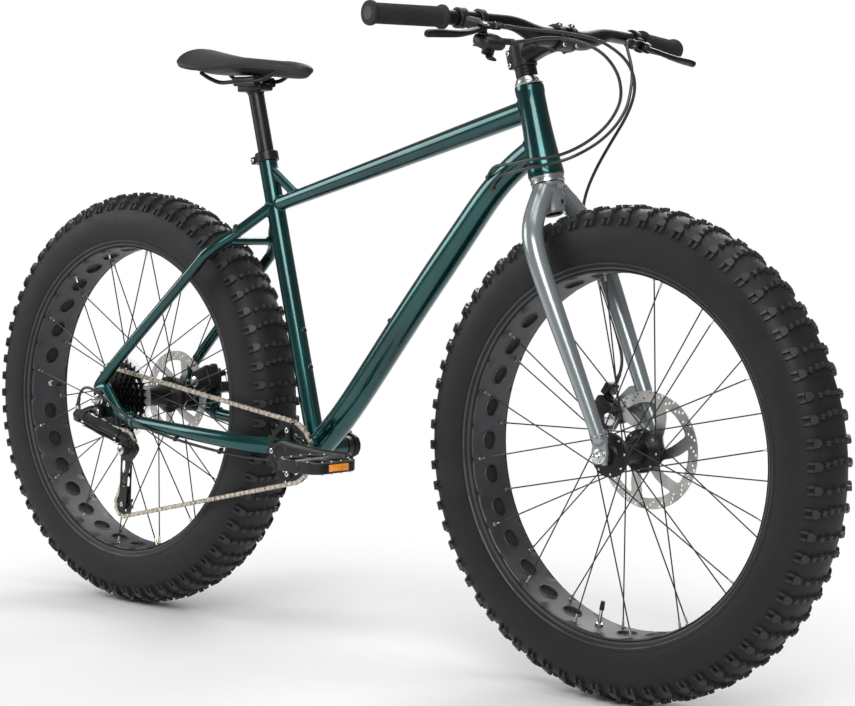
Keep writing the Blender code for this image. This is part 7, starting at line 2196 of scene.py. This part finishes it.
# The cage's plates, as (x, z) points from the wheel or pivot that each stretch runs round
CAGE_GUIDE_END = ((-0.0095, 0.0050),)
CAGE_TENSION_END = (
    (0.0105, 0.0), (0.0045, -0.0095), (-0.0045, -0.0095), (-0.0105, 0.0), (-0.0070, 0.035),
)
CAGE_REAR_WAIST = ((-0.0085, -0.030),)
CAGE_OUTER = (
    (GUIDE, (*CAGE_GUIDE_END, (0.0, 0.0105))),
    (CAGE_PIVOT, (
        (-0.010, 0.0125), (0.004, 0.0105), (0.0105, 0.0), (0.004, -0.0105), (-0.012, -0.026),
    )),
    (TENSION, ((0.0125, 0.050), *CAGE_TENSION_END)),
    (GUIDE, CAGE_REAR_WAIST),
)
CAGE_INNER = (
    (GUIDE, (*CAGE_GUIDE_END, (0.0, 0.0100), (0.0095, 0.0045), (0.0100, -0.030))),
    (TENSION, ((0.0105, 0.040), *CAGE_TENSION_END)),
    (GUIDE, CAGE_REAR_WAIST),
)


def draw_cage():
    """Both plates of the cage, slotted to save weight, and the pivot and axles between them."""
    shape = Shape()
    middle = GUIDE.lerp(TENSION, 0.5)
    slots = []
    for low, high in ((-0.024, -0.006), (0.0, 0.024)):
        back, front = middle.x - 0.0035, middle.x + 0.0060
        low, high = middle.z + low, middle.z + high
        slots.append(softened([(back, high), (front, high), (front, low), (back, low)], 0.42, 4))
    for stretches, y in ((CAGE_OUTER, -0.00525), (CAGE_INNER, 0.00525)):
        outline = [(root.x + x, root.z + z) for root, points in stretches for x, z in points]
        loops = [softened(outline, 0.34, 4), *slots]
        shape.side_plate(Vector(), loops, 0.0015, COG_Y + y, "black", 0.0002)
    for wheel in (GUIDE, TENSION):
        shape.pin(wheel, ACROSS * 0.0066, 0.0028, "silver", sides=20)
    start = Vector((CAGE_PIVOT.x, COG_Y - 0.0050, CAGE_PIVOT.z))
    shape.rod(start, start - ACROSS * 0.017, 0.0041, "silver", sides=28)
    ends = (start + ACROSS * 0.0012, start - ACROSS * 0.0006)
    shape.ring(*ends, 0.0088, 0.0088, 0.0030, "dark", 0.0004)
    shape.piece("slotted_cage", "cage_body", "dark_metal", ["cage"])


def draw_derailleur(bike):
    """The derailleur: pulleys, links, knuckles, cage and bolts."""
    _, phases = chain_pins()
    for name, centre, phase in (("guide", GUIDE, phases[2]), ("tension", TENSION, phases[1])):
        shape = Shape()
        loops = [toothed(PULLEY_TEETH, phase, 0.0022, 0.0040), circle(0.0040, 24)]
        loops += [circle(0.0026, 14, around(0.0118, angle)) for angle in turns(5)]
        shape.side_plate(centre, loops, 0.0024, centre.y, "plastic", 0.0003)
        shape.band(centre, ACROSS * 0.0039, 0.0066, 0.0036, "plastic", 0.0004, 32)
        body, node = f"{name}_wheel", f"{name}_pulley"
        shape.piece(f"{name}_jockey", body, "black_plastic", [node], centre, 30)
    draw_links()
    draw_knuckles()
    draw_cage()
    shape = Shape()
    foot = HANGER_BOLT - ACROSS * 0.0120
    shape.turn([(0.0078, -0.001), (0.0078, 0.0010), (0.0070, 0.0018)], foot, -ACROSS, "silver", 36)
    # A thin black hexagon paints the shade of the bolt's socket.
    shape.turn([(0.0036, 0.0015), (0.0036, 0.0020)], foot, -ACROSS, "plastic", 6)
    screw = REAR_HUB + Vector((0.0150, -0.1037, 0.0070))
    for shift in (Vector(), Vector((0.0105, 0, -0.0145))):
        shape.bolt(screw + shift, -ACROSS, 0.0036, 0.0016, "silver")
    knurl = knurled(0.0052, 0.0046, 0.0055, 0.0016, 6)
    profile = [(0.0044, 0.0045), *knurl, (0.0044, 0.0152), (0.0034, 0.0186)]
    shape.turn(profile, BARREL_FOOT, BARREL_RUN, "silver", 24)
    shape.piece("derailleur_bolts", "frame_body", "silver_metal")
    cap = Shape()
    end = Vector((CAGE_PIVOT.x, COG_Y - CAGE_HALF - GAP - PIVOT_DEPTH, CAGE_PIVOT.z))
    cap.turn([(0.0086, -0.001), (0.0086, 0.0008), (0.0078, 0.0014)], end, -ACROSS, "silver", 36)
    # A thin black hexagon paints the shade of the cap's socket.
    cap.turn([(0.0034, 0.0012), (0.0034, 0.0017)], end, -ACROSS, "plastic", 6)
    cap.piece("cage_pivot_cap", "lower_knuckle", "silver_metal")
    bolts = Shape()
    for wheel in (GUIDE, TENSION):
        for way in (-ACROSS, ACROSS):
            bolts.bolt(wheel + way * 0.0066, way, 0.0038, 0.0014, "silver")
    bolts.piece("pulley_bolts", "cage_body", "silver_metal")


# Brakes


def caliper_ways(brake):
    """The way out from the hub to the caliper, and the way round the disc there."""
    sine, cosine = math.sin(brake.turn), math.cos(brake.turn)
    return Vector((cosine, 0, sine)), Vector((-sine, 0, cosine))


def caliper_place(brake, reach, along, y):
    """A point measured out from the disc's edge, round the disc and sideways."""
    out, round_disc = caliper_ways(brake)
    return brake.hub + out * (brake.disc_radius + reach) + round_disc * along + ACROSS * y


def cable_stop(brake):
    """Where a caliper's housing ends, and the way that it leaves."""
    spot = caliper_place(brake, 0.0300, -0.0360 - GAP, brake.tab + 0.0022)
    return spot, -caliper_ways(brake)[1]


def caliper_block(shape, brake, place, span, size, look, edge):
    """A block at (reach, along) with its (low, high) y and its size outwards and round."""
    low, high = span
    spot = caliper_place(brake, *place, (low + high) / 2)
    placing = facing(Vector(), ACROSS, caliper_ways(brake)[0])
    size = (*size, high - low)
    shape.box(size, Matrix.Translation(spot) @ placing, look, edge, 3)


def draw_caliper(brake):
    """A brake's caliper, with its pad adjuster, bolts and cable adjuster."""
    disc_y, outer, tab = brake.disc_y, brake.outer, brake.tab
    inner = disc_y - 0.0140
    shape = Shape()
    for place, span, size, look, edge in (
        ((0.006, 0), (disc_y + 0.0018, outer), (0.044, 0.042), "black", 0.0032),
        ((0.006, 0), (inner, disc_y - 0.0018), (0.044, 0.038), "black", 0.0032),
        ((0.0195, 0), (inner + 0.002, outer - 0.001), (0.0165, 0.036), "black", 0.0028),
        ((-0.0050, 0), (disc_y - 0.0036, disc_y - 0.0010), (0.020, 0.026), "chain", 0.0004),
        ((-0.0050, 0), (disc_y + 0.0010, disc_y + 0.0036), (0.020, 0.026), "chain", 0.0004),
        ((0.0290, -0.0265), (outer - 0.0140, tab + 0.0050), (0.0130, 0.0190), "black", 0.0020),
    ):
        caliper_block(shape, brake, place, span, size, look, edge)
    axis = caliper_place(brake, -0.0115, 0, 0)
    ends = (axis + ACROSS * (outer - 0.003), axis + ACROSS * (tab + 0.0003))
    shape.rod(*ends, 0.0090, "black", sides=36, edge=0.0008)
    ends = (axis + ACROSS * (tab - 0.002), axis + ACROSS * (tab + 0.0062))
    shape.rod(*ends, 0.0030, "silver", sides=20)
    shape.bolt(axis + ACROSS * (tab + 0.0054), ACROSS, 0.0058, 0.0022, "silver")
    pad = axis + ACROSS * (inner + 0.001)
    shape.turn([(0.0102, 0), (0.0102, 0.0016), (0.0090, 0.0024)], pad, -ACROSS, "silver", 36)
    for angle in turns(12):
        spot = pad + polar(0.0096, angle, -0.0012)
        shape.turn([(0.0011, 0), (0.0011, 0.0008)], spot, -ACROSS, "black", 8)
    for along in (-0.0190, 0.0190):
        spot = caliper_place(brake, 0.0190, along * 0.78, outer - 0.0006)
        shape.bolt(spot, ACROSS, 0.0044, 0.0020, "silver")
    stop, leave = cable_stop(brake)
    knurl = knurled(0.0052, 0.0045, 0.001, 0.0018, 5)
    profile = [(0.0036, 0), *knurl, (0.0036, 0.0104), (0.0030, 0.0130)]
    shape.turn(profile, stop - leave * 0.0120, leave, "silver", 24)
    name = brake.name
    shape.piece(f"{name}_brake_caliper", brake.body, "black_metal", [f"{name}_caliper"])


def draw_brake_arm(brake):
    """A caliper's arm and the bare cable that pulls it."""
    arm = Shape()
    y = brake.tab + 0.0005 + GAP + 0.0020
    start, end = caliper_place(brake, -0.0115, 0, y), caliper_place(brake, 0.0300, 0, y)
    arm.band(start, ACROSS * 0.0018, 0.0086, 0.0034, "silver", 0.0004, 36)
    cable, leave = cable_stop(brake)
    points = []
    for t in (0.12, 0.3, 0.5, 0.7, 0.9, 1.0):
        points.append(start.lerp(end, t) - leave * (0.0015 * math.sin(math.pi * t)))
    wide = [0.0062, 0.0050, 0.0044, 0.0044, 0.0048, 0.0044]
    arm.loft(points, wide, [0.0016] * 6, "silver", 28, across=-leave, squareness=0.6)
    arm.pin(end, ACROSS * 0.0020, 0.0054, "silver", sides=28, edge=0.0005)
    arm.bolt(end + ACROSS * 0.0018, ACROSS, 0.0038, 0.0026, "dark")
    arm.rod(end, end + (cable - end) * 0.35, 0.0008, "silver", sides=8)
    name = brake.name
    arm.piece(f"{name}_brake_arm", f"{name}_arm", "silver_metal", [f"{name}_caliper_arm"])
    wire = Shape()
    wire.rod(cable, cable + (end - cable) * 0.70, 0.0008, "silver", sides=8)
    wire.piece(f"{name}_brake_wire", brake.body, "silver_metal")


def draw_brakes(bike):
    """Cable disc calipers with pad adjusters, bracket bolts, arms and wires."""
    for brake in (FRONT_BRAKE, REAR_BRAKE):
        draw_caliper(brake)
        draw_brake_arm(brake)


# Cables


def port_entry(port):
    """The last points of a housing, ending at its port in the down tube's right side."""
    end, _, up = down_tube_axis()
    share, lift = port
    reach = math.sqrt(DOWN_TUBE_RADIUS**2 - lift**2) * 0.94
    found = []
    for along, out in ((0.030, -0.0105), (0.008, -0.0062), (-0.008, -0.0036), (-0.016, 0.0020)):
        middle = BOTTOM_BRACKET.lerp(end, share + along) + up * (DOWN_TUBE_BOW * 0.98 + lift)
        found.append(middle + ACROSS * (out - reach))
    return found


def lever_outlet(side):
    """The end of a brake lever's barrel and the way that the housing leaves it."""
    _, along, ahead, hinge, _ = lever_frame(side)
    return hinge - ahead * 0.0125 - along * (0.046 + GAP), -along


def draw_housing(name, points, body, node, bike, ends=(True, True), blended=False):
    """One cable housing with ferrules at the ends that show."""
    shape = Shape()
    line = relaxed(points)
    shape.tube(line, bike.housing_radius, "cable", 14)
    ferrule = bike.housing_radius + 0.0007
    for show, index, step in ((ends[0], 0, 3), (ends[1], -1, -4)):
        if show:
            far = line[index].lerp(line[step], 0.85)
            shape.rod(line[index], far, ferrule, "cable", sides=20, edge=0.0003)
    piece = shape.piece(name, None if blended else body, "cable_cover", [node], sharp=50)
    if blended:
        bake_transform(piece)


def along_head(*rows):
    """Points from (rise, forward, side) rows, measured from the head tube's lower end."""
    return [by_head(*row) for row in rows]


# The rear housings' runs from below the bottom bracket, as offsets from its middle
REAR_GEAR_RUN = (
    (-0.036, -0.0335, -0.0225), (-0.064, -0.0560, -0.0200), (-0.100, -0.0730, -0.0170),
    (-0.150, -0.0850, -0.0120), (-0.195, -0.0920, -0.0062), (-0.245, -0.1010, 0.0020),
    (-0.300, -0.1090, 0.0130), (-0.345, -0.1140, 0.0280), (-0.392, -0.1215, 0.0520),
    (-0.424, -0.1260, 0.0720), (-0.455, -0.1270, 0.0830),
)
REAR_BRAKE_RUN = (
    (-0.036, 0.0335, -0.0225), (-0.064, 0.0560, -0.0200), (-0.100, 0.0730, -0.0180),
    (-0.150, 0.0880, -0.0135), (-0.205, 0.0990, -0.0010), (-0.255, 0.1060, 0.0170),
    (-0.293, 0.1090, 0.0370),
)
CLIP_PLACES = ((-0.245, -0.1005, 0.0020), (-0.150, -0.0845, -0.0120))


def draw_cables(bike):
    """The brake and gear cable housings, and the clips that hold one to the stay."""
    start, way = lever_outlet(-1)
    end, leave = cable_stop(FRONT_BRAKE)
    points = [start, start + way * 0.012]
    points += along_head(
        (0.1936, 0.1109, start.y * 0.745), (0.1862, 0.1337, start.y * 0.5),
        (0.1694, 0.1643, -0.020), (0.1347, 0.1879, 0.004), (0.1055, 0.1849, 0.022),
        (0.0817, 0.1658, 0.037), (0.0591, 0.1315, 0.053), (0.0358, 0.0886, 0.066),
        (0.0105, 0.0452, 0.079), (-0.0152, 0.0110, 0.088), (-0.0430, -0.0123, 0.093),
        (-0.0837, -0.0226, 0.096),
    )
    for share, forward, side in (
        (0.689, -0.0149, 0.095), (0.564, -0.0023, 0.093), (0.441, 0.0073, 0.090)
    ):
        points.append(head_point(AXLE_TO_HEAD * share, forward, side))
    points += [end + leave * 0.040 + Vector((-0.012, 0.006, 0)), end + leave * 0.012, end]
    draw_housing("front_brake_cable", points, "steering", "front_brake_housing", bike)

    start, way = shifter_outlet()
    points = [start, start + way * 0.012]
    points += along_head(
        (0.1833, 0.1142, start.y * 0.667), (0.1728, 0.1445, start.y * 0.4),
        (0.1488, 0.1710, -0.030), (0.1116, 0.1814, -0.013), (0.0726, 0.1726, -0.005),
        (0.0426, 0.1424, -0.010), (0.0239, 0.1050, -0.022), (0.0153, 0.0652, -0.036),
        (0.0184, 0.0318, -0.043), (0.0254, -0.0005, -0.043), (0.0276, -0.0383, -0.036),
    )
    points += port_entry(CABLE_PORTS[0])
    ends = (True, False)
    draw_housing("gear_cable", points, "steering", "shift_housing", bike, ends, True)

    start, way = lever_outlet(1)
    points = [start, start + way * 0.010]
    points += along_head(
        (0.1551, 0.1074, start.y * 0.853), (0.1232, 0.1213, start.y * 0.667),
        (0.0781, 0.1280, start.y * 0.44), (0.0473, 0.1200, 0.038), (0.0241, 0.1009, 0.008),
        (0.0070, 0.0691, -0.030), (0.0072, 0.0349, -0.046), (0.0117, 0.0040, -0.048),
        (0.0140, -0.0452, -0.043),
    )
    points += port_entry(CABLE_PORTS[1])
    draw_housing("rear_brake_cable", points, "steering", "rear_brake_housing", bike, ends, True)

    ends = (False, True)
    end, leave = BARREL_END, (BARREL_END - BARREL_FOOT).normalized()
    points = [BOTTOM_BRACKET + Vector(spot) for spot in REAR_GEAR_RUN]
    points.append(end + leave * 0.026 + Vector((0.004, 0, 0.001)))
    points += [end + leave * 0.010, end + leave * GAP]
    draw_housing("gear_cable_rear", points, "frame_body", "shift_housing_rear", bike, ends)

    end, leave = cable_stop(REAR_BRAKE)
    points = [BOTTOM_BRACKET + Vector(spot) for spot in REAR_BRAKE_RUN]
    points += [end + leave * 0.016 + Vector((0.001, 0, 0)), end]
    node = "rear_brake_housing_rear"
    draw_housing("rear_brake_cable_rear", points, "frame_body", node, bike, ends)

    shape = Shape()
    for offset in CLIP_PLACES:
        spot = BOTTOM_BRACKET + Vector(offset)
        shape.band(spot, AHEAD * 0.003, 0.0040, 0.0024, "plastic", 0.0006, 24)
        block = spot + Vector((0, 0.0042, 0.0040))
        shape.box((0.0056, 0.0060, 0.0050), block, "plastic", 0.0008)
    shape.piece("cable_clips", "frame_body", "cable_cover")


def dress_hanger():
    """Gives the derailleur hanger, a CAD piece that stays in view, eased edges and its finish."""
    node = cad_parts["derailleur_hanger"]
    for slot in node.material_slots:
        slot.material = LOOKS["black"].material
    weld = node.modifiers.new("Weld", "WELD")
    weld.merge_threshold = 0.00001
    bevel = node.modifiers.new("Bevel", "BEVEL")
    bevel.width = 0.0007
    bevel.segments = 2
    bevel.limit_method = "ANGLE"
    bevel.angle_limit = math.radians(34)
    bevel.use_clamp_overlap = True


# The stage: lamps as (name, place, aim, size, share of the lamp power), and the camera
LAMPS = (
    ("key lamp", (2.6, -3.4, 3.2), (0, 0, 0.5), 2.6, 1.0),
    ("fill lamp", (-3.6, -2.4, 2.2), (0, 0, 0.5), 2.4, 0.55),
    ("back lamp", (-1.6, 3.6, 3.0), (0, 0, 0.5), 2.4, 0.60),
    ("top lamp", (0.3, 0.2, 4.2), (0, 0, 0), 3.0, 0.50),
)
CAMERA_PLACE = (2.4005, -2.5494, 0.7503)
CAMERA_YAW, CAMERA_PITCH, CAMERA_ROLL = 0.67817, 0.01536, 0.02367
CAMERA_SHIFT = (-0.1185, -0.1417)
SENSOR_WIDTH = 36
FOCAL_LENGTH_PX = 2100.11
PICTURE_WIDTH_PX = 855


# Stage


def draw_floor(bike):
    """The pale floor, which fades to pure white in front of the camera."""
    look = Look("pale floor")
    grain = look.noise(3.0, 3.0)
    tone = tuple(bike.floor_colour)
    look.set("Base Color", look.blend(grain * 0.3, tone, lighter(tone, 0.97, 0)))
    look.set("Roughness", 0.75 + grain * 0.1)
    x, y, _ = look.split()
    reach = (x * x + y * y) ** 0.5
    away = look.ramp(reach, 0.62, 1.12)
    white = look.node("ShaderNodeEmission", values={"Color": (1, 1, 1), "Strength": 1.0})
    shaders = [away * look.seen(), Socket(look, look.surface.outputs[0]), white]
    mixed = look.node("ShaderNodeMixShader", values=shaders)
    look.fill(look.tree.nodes["Material Output"].inputs[0], mixed)
    bm = bmesh.new()
    bmesh.ops.create_grid(bm, x_segments=24, y_segments=24, size=14.0)
    mesh = bpy.data.meshes.new("floor")
    bm.to_mesh(mesh)
    bm.free()
    mesh.materials.append(look.material)
    floor = added("floor", mesh)


def draw_world(bike):
    """White surroundings that are seen at full strength and light the bicycle with less."""
    world = bpy.data.worlds.new("white surroundings")
    world.use_nodes = True
    bpy.context.scene.world = world
    nodes = Nodes(world.node_tree)
    values = {"Value": nodes.seen(), "To Min": bike.surround_strength, "To Max": 1.0}
    background = nodes.tree.nodes["Background"].inputs
    nodes.fill(background["Strength"], nodes.node("ShaderNodeMapRange", values=values))
    nodes.fill(background["Color"], (1, 1, 1))


def place_camera():
    """The camera that the photograph was fitted with."""
    yaw, pitch, roll = CAMERA_YAW, CAMERA_PITCH, CAMERA_ROLL
    level = math.cos(pitch)
    ahead = Vector((-math.sin(yaw) * level, math.cos(yaw) * level, -math.sin(pitch)))
    right = ahead.cross(Vector((0, 0, 1))).normalized()
    up = right.cross(ahead)
    turned_right = right * math.cos(roll) + up * math.sin(roll)
    turned_up = up * math.cos(roll) - right * math.sin(roll)
    view = bpy.data.cameras.new("camera")
    view.sensor_width = SENSOR_WIDTH
    view.lens = SENSOR_WIDTH * FOCAL_LENGTH_PX / PICTURE_WIDTH_PX
    view.shift_x, view.shift_y = CAMERA_SHIFT
    camera = added("camera", view)
    matrix = Matrix((turned_right, turned_up, -ahead)).transposed().to_4x4()
    camera.matrix_world = Matrix.Translation(CAMERA_PLACE) @ matrix
    bpy.context.scene.camera = camera


def draw_stage(bike):
    """The pale floor, the white surroundings, the soft lamps and the camera."""
    draw_floor(bike)
    draw_world(bike)
    for name, place, aim, size, power in LAMPS:
        light = bpy.data.lights.new(name, "AREA")
        light.size = size
        light.energy = bike.lamp_power * power
        lamp = added(name, light)
        lamp.location = place
        lamp.rotation_euler = (Vector(aim) - Vector(place)).to_track_quat("-Z", "Y").to_euler()
    place_camera()
    bpy.context.scene.view_settings.view_transform = "Standard"


# The add-on's panel and operators


class BicycleSettings(bpy.types.PropertyGroup):
    """The bicycle's sizes and colours that may be changed."""

    frame_colour: bpy.props.FloatVectorProperty(
        name="Frame colour", description="Base of the frame's paint", subtype="COLOR",
        default=(0.0025, 0.030, 0.031), min=0, max=1,
    )
    frame_flake: bpy.props.FloatVectorProperty(
        name="Frame flake", description="Bright flakes in the frame's paint", subtype="COLOR",
        default=(0.010, 0.145, 0.140), min=0, max=1,
    )
    fork_colour: bpy.props.FloatVectorProperty(
        name="Fork colour", description="Base of the fork's paint", subtype="COLOR",
        default=(0.235, 0.262, 0.272), min=0, max=1,
    )
    rim_colour: bpy.props.FloatVectorProperty(
        name="Rim colour", description="Coating of the rims", subtype="COLOR",
        default=(0.055, 0.057, 0.061), min=0, max=1,
    )
    tyre_colour: bpy.props.FloatVectorProperty(
        name="Tyre colour", description="Rubber of the tyres", subtype="COLOR",
        default=(0.0060, 0.0062, 0.0068), min=0, max=1,
    )
    saddle_colour: bpy.props.FloatVectorProperty(
        name="Saddle colour", description="Cover of the saddle", subtype="COLOR",
        default=(0.013, 0.013, 0.015), min=0, max=1,
    )
    floor_colour: bpy.props.FloatVectorProperty(
        name="Floor colour", description="The pale floor under the wheels", subtype="COLOR",
        default=(0.86, 0.86, 0.86), min=0, max=1,
    )
    tread_pitches: bpy.props.IntProperty(
        name="Tread pitches", description="Shoulder blocks round one side of a tyre",
        default=68, min=40, max=90,
    )
    tread_height: bpy.props.FloatProperty(
        name="Tread height", description="Height of the centre blocks", unit="LENGTH",
        default=0.0064, min=0.002, max=0.0064,
    )
    spoke_radius: bpy.props.FloatProperty(
        name="Spoke radius", description="Half of a spoke's thickness", unit="LENGTH",
        default=0.0011, min=0.0008, max=0.0015,
    )
    housing_radius: bpy.props.FloatProperty(
        name="Housing radius", description="Half of a cable housing's thickness", unit="LENGTH",
        default=0.0025, min=0.002, max=0.003,
    )
    weld_bead: bpy.props.FloatProperty(
        name="Weld bead", description="Radius of the frame's weld beads", unit="LENGTH",
        default=0.0020, min=0.001, max=0.003,
    )
    lamp_power: bpy.props.FloatProperty(
        name="Lamp power", description="Strength of the key lamp in watts",
        default=150.0, min=0,
    )
    surround_strength: bpy.props.FloatProperty(
        name="Surround light", description="Light from the white surroundings",
        default=0.20, min=0, max=1,
    )


class BicycleOperator(bpy.types.Operator):
    """Draws one group of the bicycle's pieces."""

    work = None

    def execute(self, context):
        type(self).work(context.scene.bicycle)
        return {"FINISHED"}


def look_group(bike):
    """The finishes first, then the CAD piece that keeps its own shape."""
    make_looks(bike)
    dress_hanger()


class BICYCLE_OT_finishes(BicycleOperator):
    """Makes every finish and dresses the hanger, which keeps its CAD shape."""

    bl_idname = "bicycle.finishes"
    bl_label = "Finishes"
    work = staticmethod(look_group)


class BICYCLE_OT_wheels(BicycleOperator):
    """Draws tyres, rims, spoked hubs, discs and the spoke guard."""

    bl_idname = "bicycle.wheels"
    bl_label = "Wheels"
    work = staticmethod(draw_wheels)


class BICYCLE_OT_axles(BicycleOperator):
    """Draws the axles and their nuts."""

    bl_idname = "bicycle.axles"
    bl_label = "Axles"
    work = staticmethod(draw_axles)


class BICYCLE_OT_frame(BicycleOperator):
    """Draws the welded main frame."""

    bl_idname = "bicycle.frame"
    bl_label = "Frame"
    work = staticmethod(draw_frame)


class BICYCLE_OT_seat_clamp(BicycleOperator):
    """Draws the seat clamp."""

    bl_idname = "bicycle.seat_clamp"
    bl_label = "Seat clamp"
    work = staticmethod(draw_seat_collar)


class BICYCLE_OT_bottom_bracket(BicycleOperator):
    """Draws the bottom bracket's cups."""

    bl_idname = "bicycle.bottom_bracket"
    bl_label = "Bottom bracket"
    work = staticmethod(draw_bottom_bracket)


class BICYCLE_OT_saddle(BicycleOperator):
    """Draws the padded saddle and its sockets."""

    bl_idname = "bicycle.saddle"
    bl_label = "Saddle"
    work = staticmethod(draw_saddle)


class BICYCLE_OT_seatpost(BicycleOperator):
    """Draws the seat post, the rail clamp and the rails."""

    bl_idname = "bicycle.seatpost"
    bl_label = "Seat post"
    work = staticmethod(draw_seatpost)


class BICYCLE_OT_fork(BicycleOperator):
    """Draws the rigid fork."""

    bl_idname = "bicycle.fork"
    bl_label = "Fork"
    work = staticmethod(draw_fork)


class BICYCLE_OT_headset(BicycleOperator):
    """Draws the headset, its spacers and its cap."""

    bl_idname = "bicycle.headset"
    bl_label = "Headset"
    work = staticmethod(draw_headset)


class BICYCLE_OT_stem(BicycleOperator):
    """Draws the stem and its front plate."""

    bl_idname = "bicycle.stem"
    bl_label = "Stem"
    work = staticmethod(draw_stem)


class BICYCLE_OT_bar(BicycleOperator):
    """Draws the handlebar and the grips."""

    bl_idname = "bicycle.bar"
    bl_label = "Handlebar"
    work = staticmethod(draw_bar)


class BICYCLE_OT_levers(BicycleOperator):
    """Draws the brake levers."""

    bl_idname = "bicycle.levers"
    bl_label = "Brake levers"
    work = staticmethod(draw_levers)


class BICYCLE_OT_shifter(BicycleOperator):
    """Draws the shifter and its two levers."""

    bl_idname = "bicycle.shifter"
    bl_label = "Shifter"
    work = staticmethod(draw_shifter)


class BICYCLE_OT_chain(BicycleOperator):
    """Draws the roller chain."""

    bl_idname = "bicycle.chain"
    bl_label = "Chain"
    work = staticmethod(draw_chain)


class BICYCLE_OT_cassette(BicycleOperator):
    """Draws the nine cogs."""

    bl_idname = "bicycle.cassette"
    bl_label = "Cogs"
    work = staticmethod(draw_cassette)


class BICYCLE_OT_cranks(BicycleOperator):
    """Draws the cranks, the chainring and the crank bolts."""

    bl_idname = "bicycle.cranks"
    bl_label = "Cranks"
    work = staticmethod(draw_cranks)


class BICYCLE_OT_pedals(BicycleOperator):
    """Draws the pedals."""

    bl_idname = "bicycle.pedals"
    bl_label = "Pedals"
    work = staticmethod(draw_pedals)


class BICYCLE_OT_derailleur(BicycleOperator):
    """Draws the derailleur: its pulleys, links, knuckles, cage and bolts."""

    bl_idname = "bicycle.derailleur"
    bl_label = "Derailleur"
    work = staticmethod(draw_derailleur)


class BICYCLE_OT_brakes(BicycleOperator):
    """Draws the brake calipers, their arms and wires."""

    bl_idname = "bicycle.brakes"
    bl_label = "Brakes"
    work = staticmethod(draw_brakes)


class BICYCLE_OT_cables(BicycleOperator):
    """Draws the cable housings."""

    bl_idname = "bicycle.cables"
    bl_label = "Cables"
    work = staticmethod(draw_cables)


class BICYCLE_OT_stage(BicycleOperator):
    """Sets the floor, the lamps and the camera."""

    bl_idname = "bicycle.stage"
    bl_label = "Stage"
    work = staticmethod(draw_stage)


OPERATORS = (
    BICYCLE_OT_finishes,
    BICYCLE_OT_wheels,
    BICYCLE_OT_axles,
    BICYCLE_OT_frame,
    BICYCLE_OT_seat_clamp,
    BICYCLE_OT_bottom_bracket,
    BICYCLE_OT_saddle,
    BICYCLE_OT_seatpost,
    BICYCLE_OT_fork,
    BICYCLE_OT_headset,
    BICYCLE_OT_stem,
    BICYCLE_OT_bar,
    BICYCLE_OT_levers,
    BICYCLE_OT_shifter,
    BICYCLE_OT_chain,
    BICYCLE_OT_cassette,
    BICYCLE_OT_cranks,
    BICYCLE_OT_pedals,
    BICYCLE_OT_derailleur,
    BICYCLE_OT_brakes,
    BICYCLE_OT_cables,
    BICYCLE_OT_stage,
)


class BICYCLE_PT_panel(bpy.types.Panel):
    """Lists the bicycle's settings and its groups of pieces."""

    bl_label = "Fat tyre bicycle"
    bl_idname = "BICYCLE_PT_panel"
    bl_space_type = "VIEW_3D"
    bl_region_type = "UI"
    bl_category = "Bicycle"

    def draw(self, context):
        settings = context.scene.bicycle
        for label in BicycleSettings.__annotations__:
            self.layout.prop(settings, label)
        for operator in OPERATORS:
            self.layout.operator(operator.bl_idname)


def register():
    """Makes the settings, the operators and the panel known."""
    for group in (BicycleSettings, *OPERATORS, BICYCLE_PT_panel):
        bpy.utils.register_class(group)
    bpy.types.Scene.bicycle = bpy.props.PointerProperty(type=BicycleSettings)


def unregister():
    """Forgets the settings, the operators and the panel."""
    del bpy.types.Scene.bicycle
    for group in (BICYCLE_PT_panel, *OPERATORS[::-1], BicycleSettings):
        bpy.utils.unregister_class(group)


def main():
    """Draws the whole bicycle."""
    register()
    for operator in OPERATORS:
        group, name = operator.bl_idname.split(".")
        getattr(getattr(bpy.ops, group), name)()


if __name__ == "__main__":
    main()
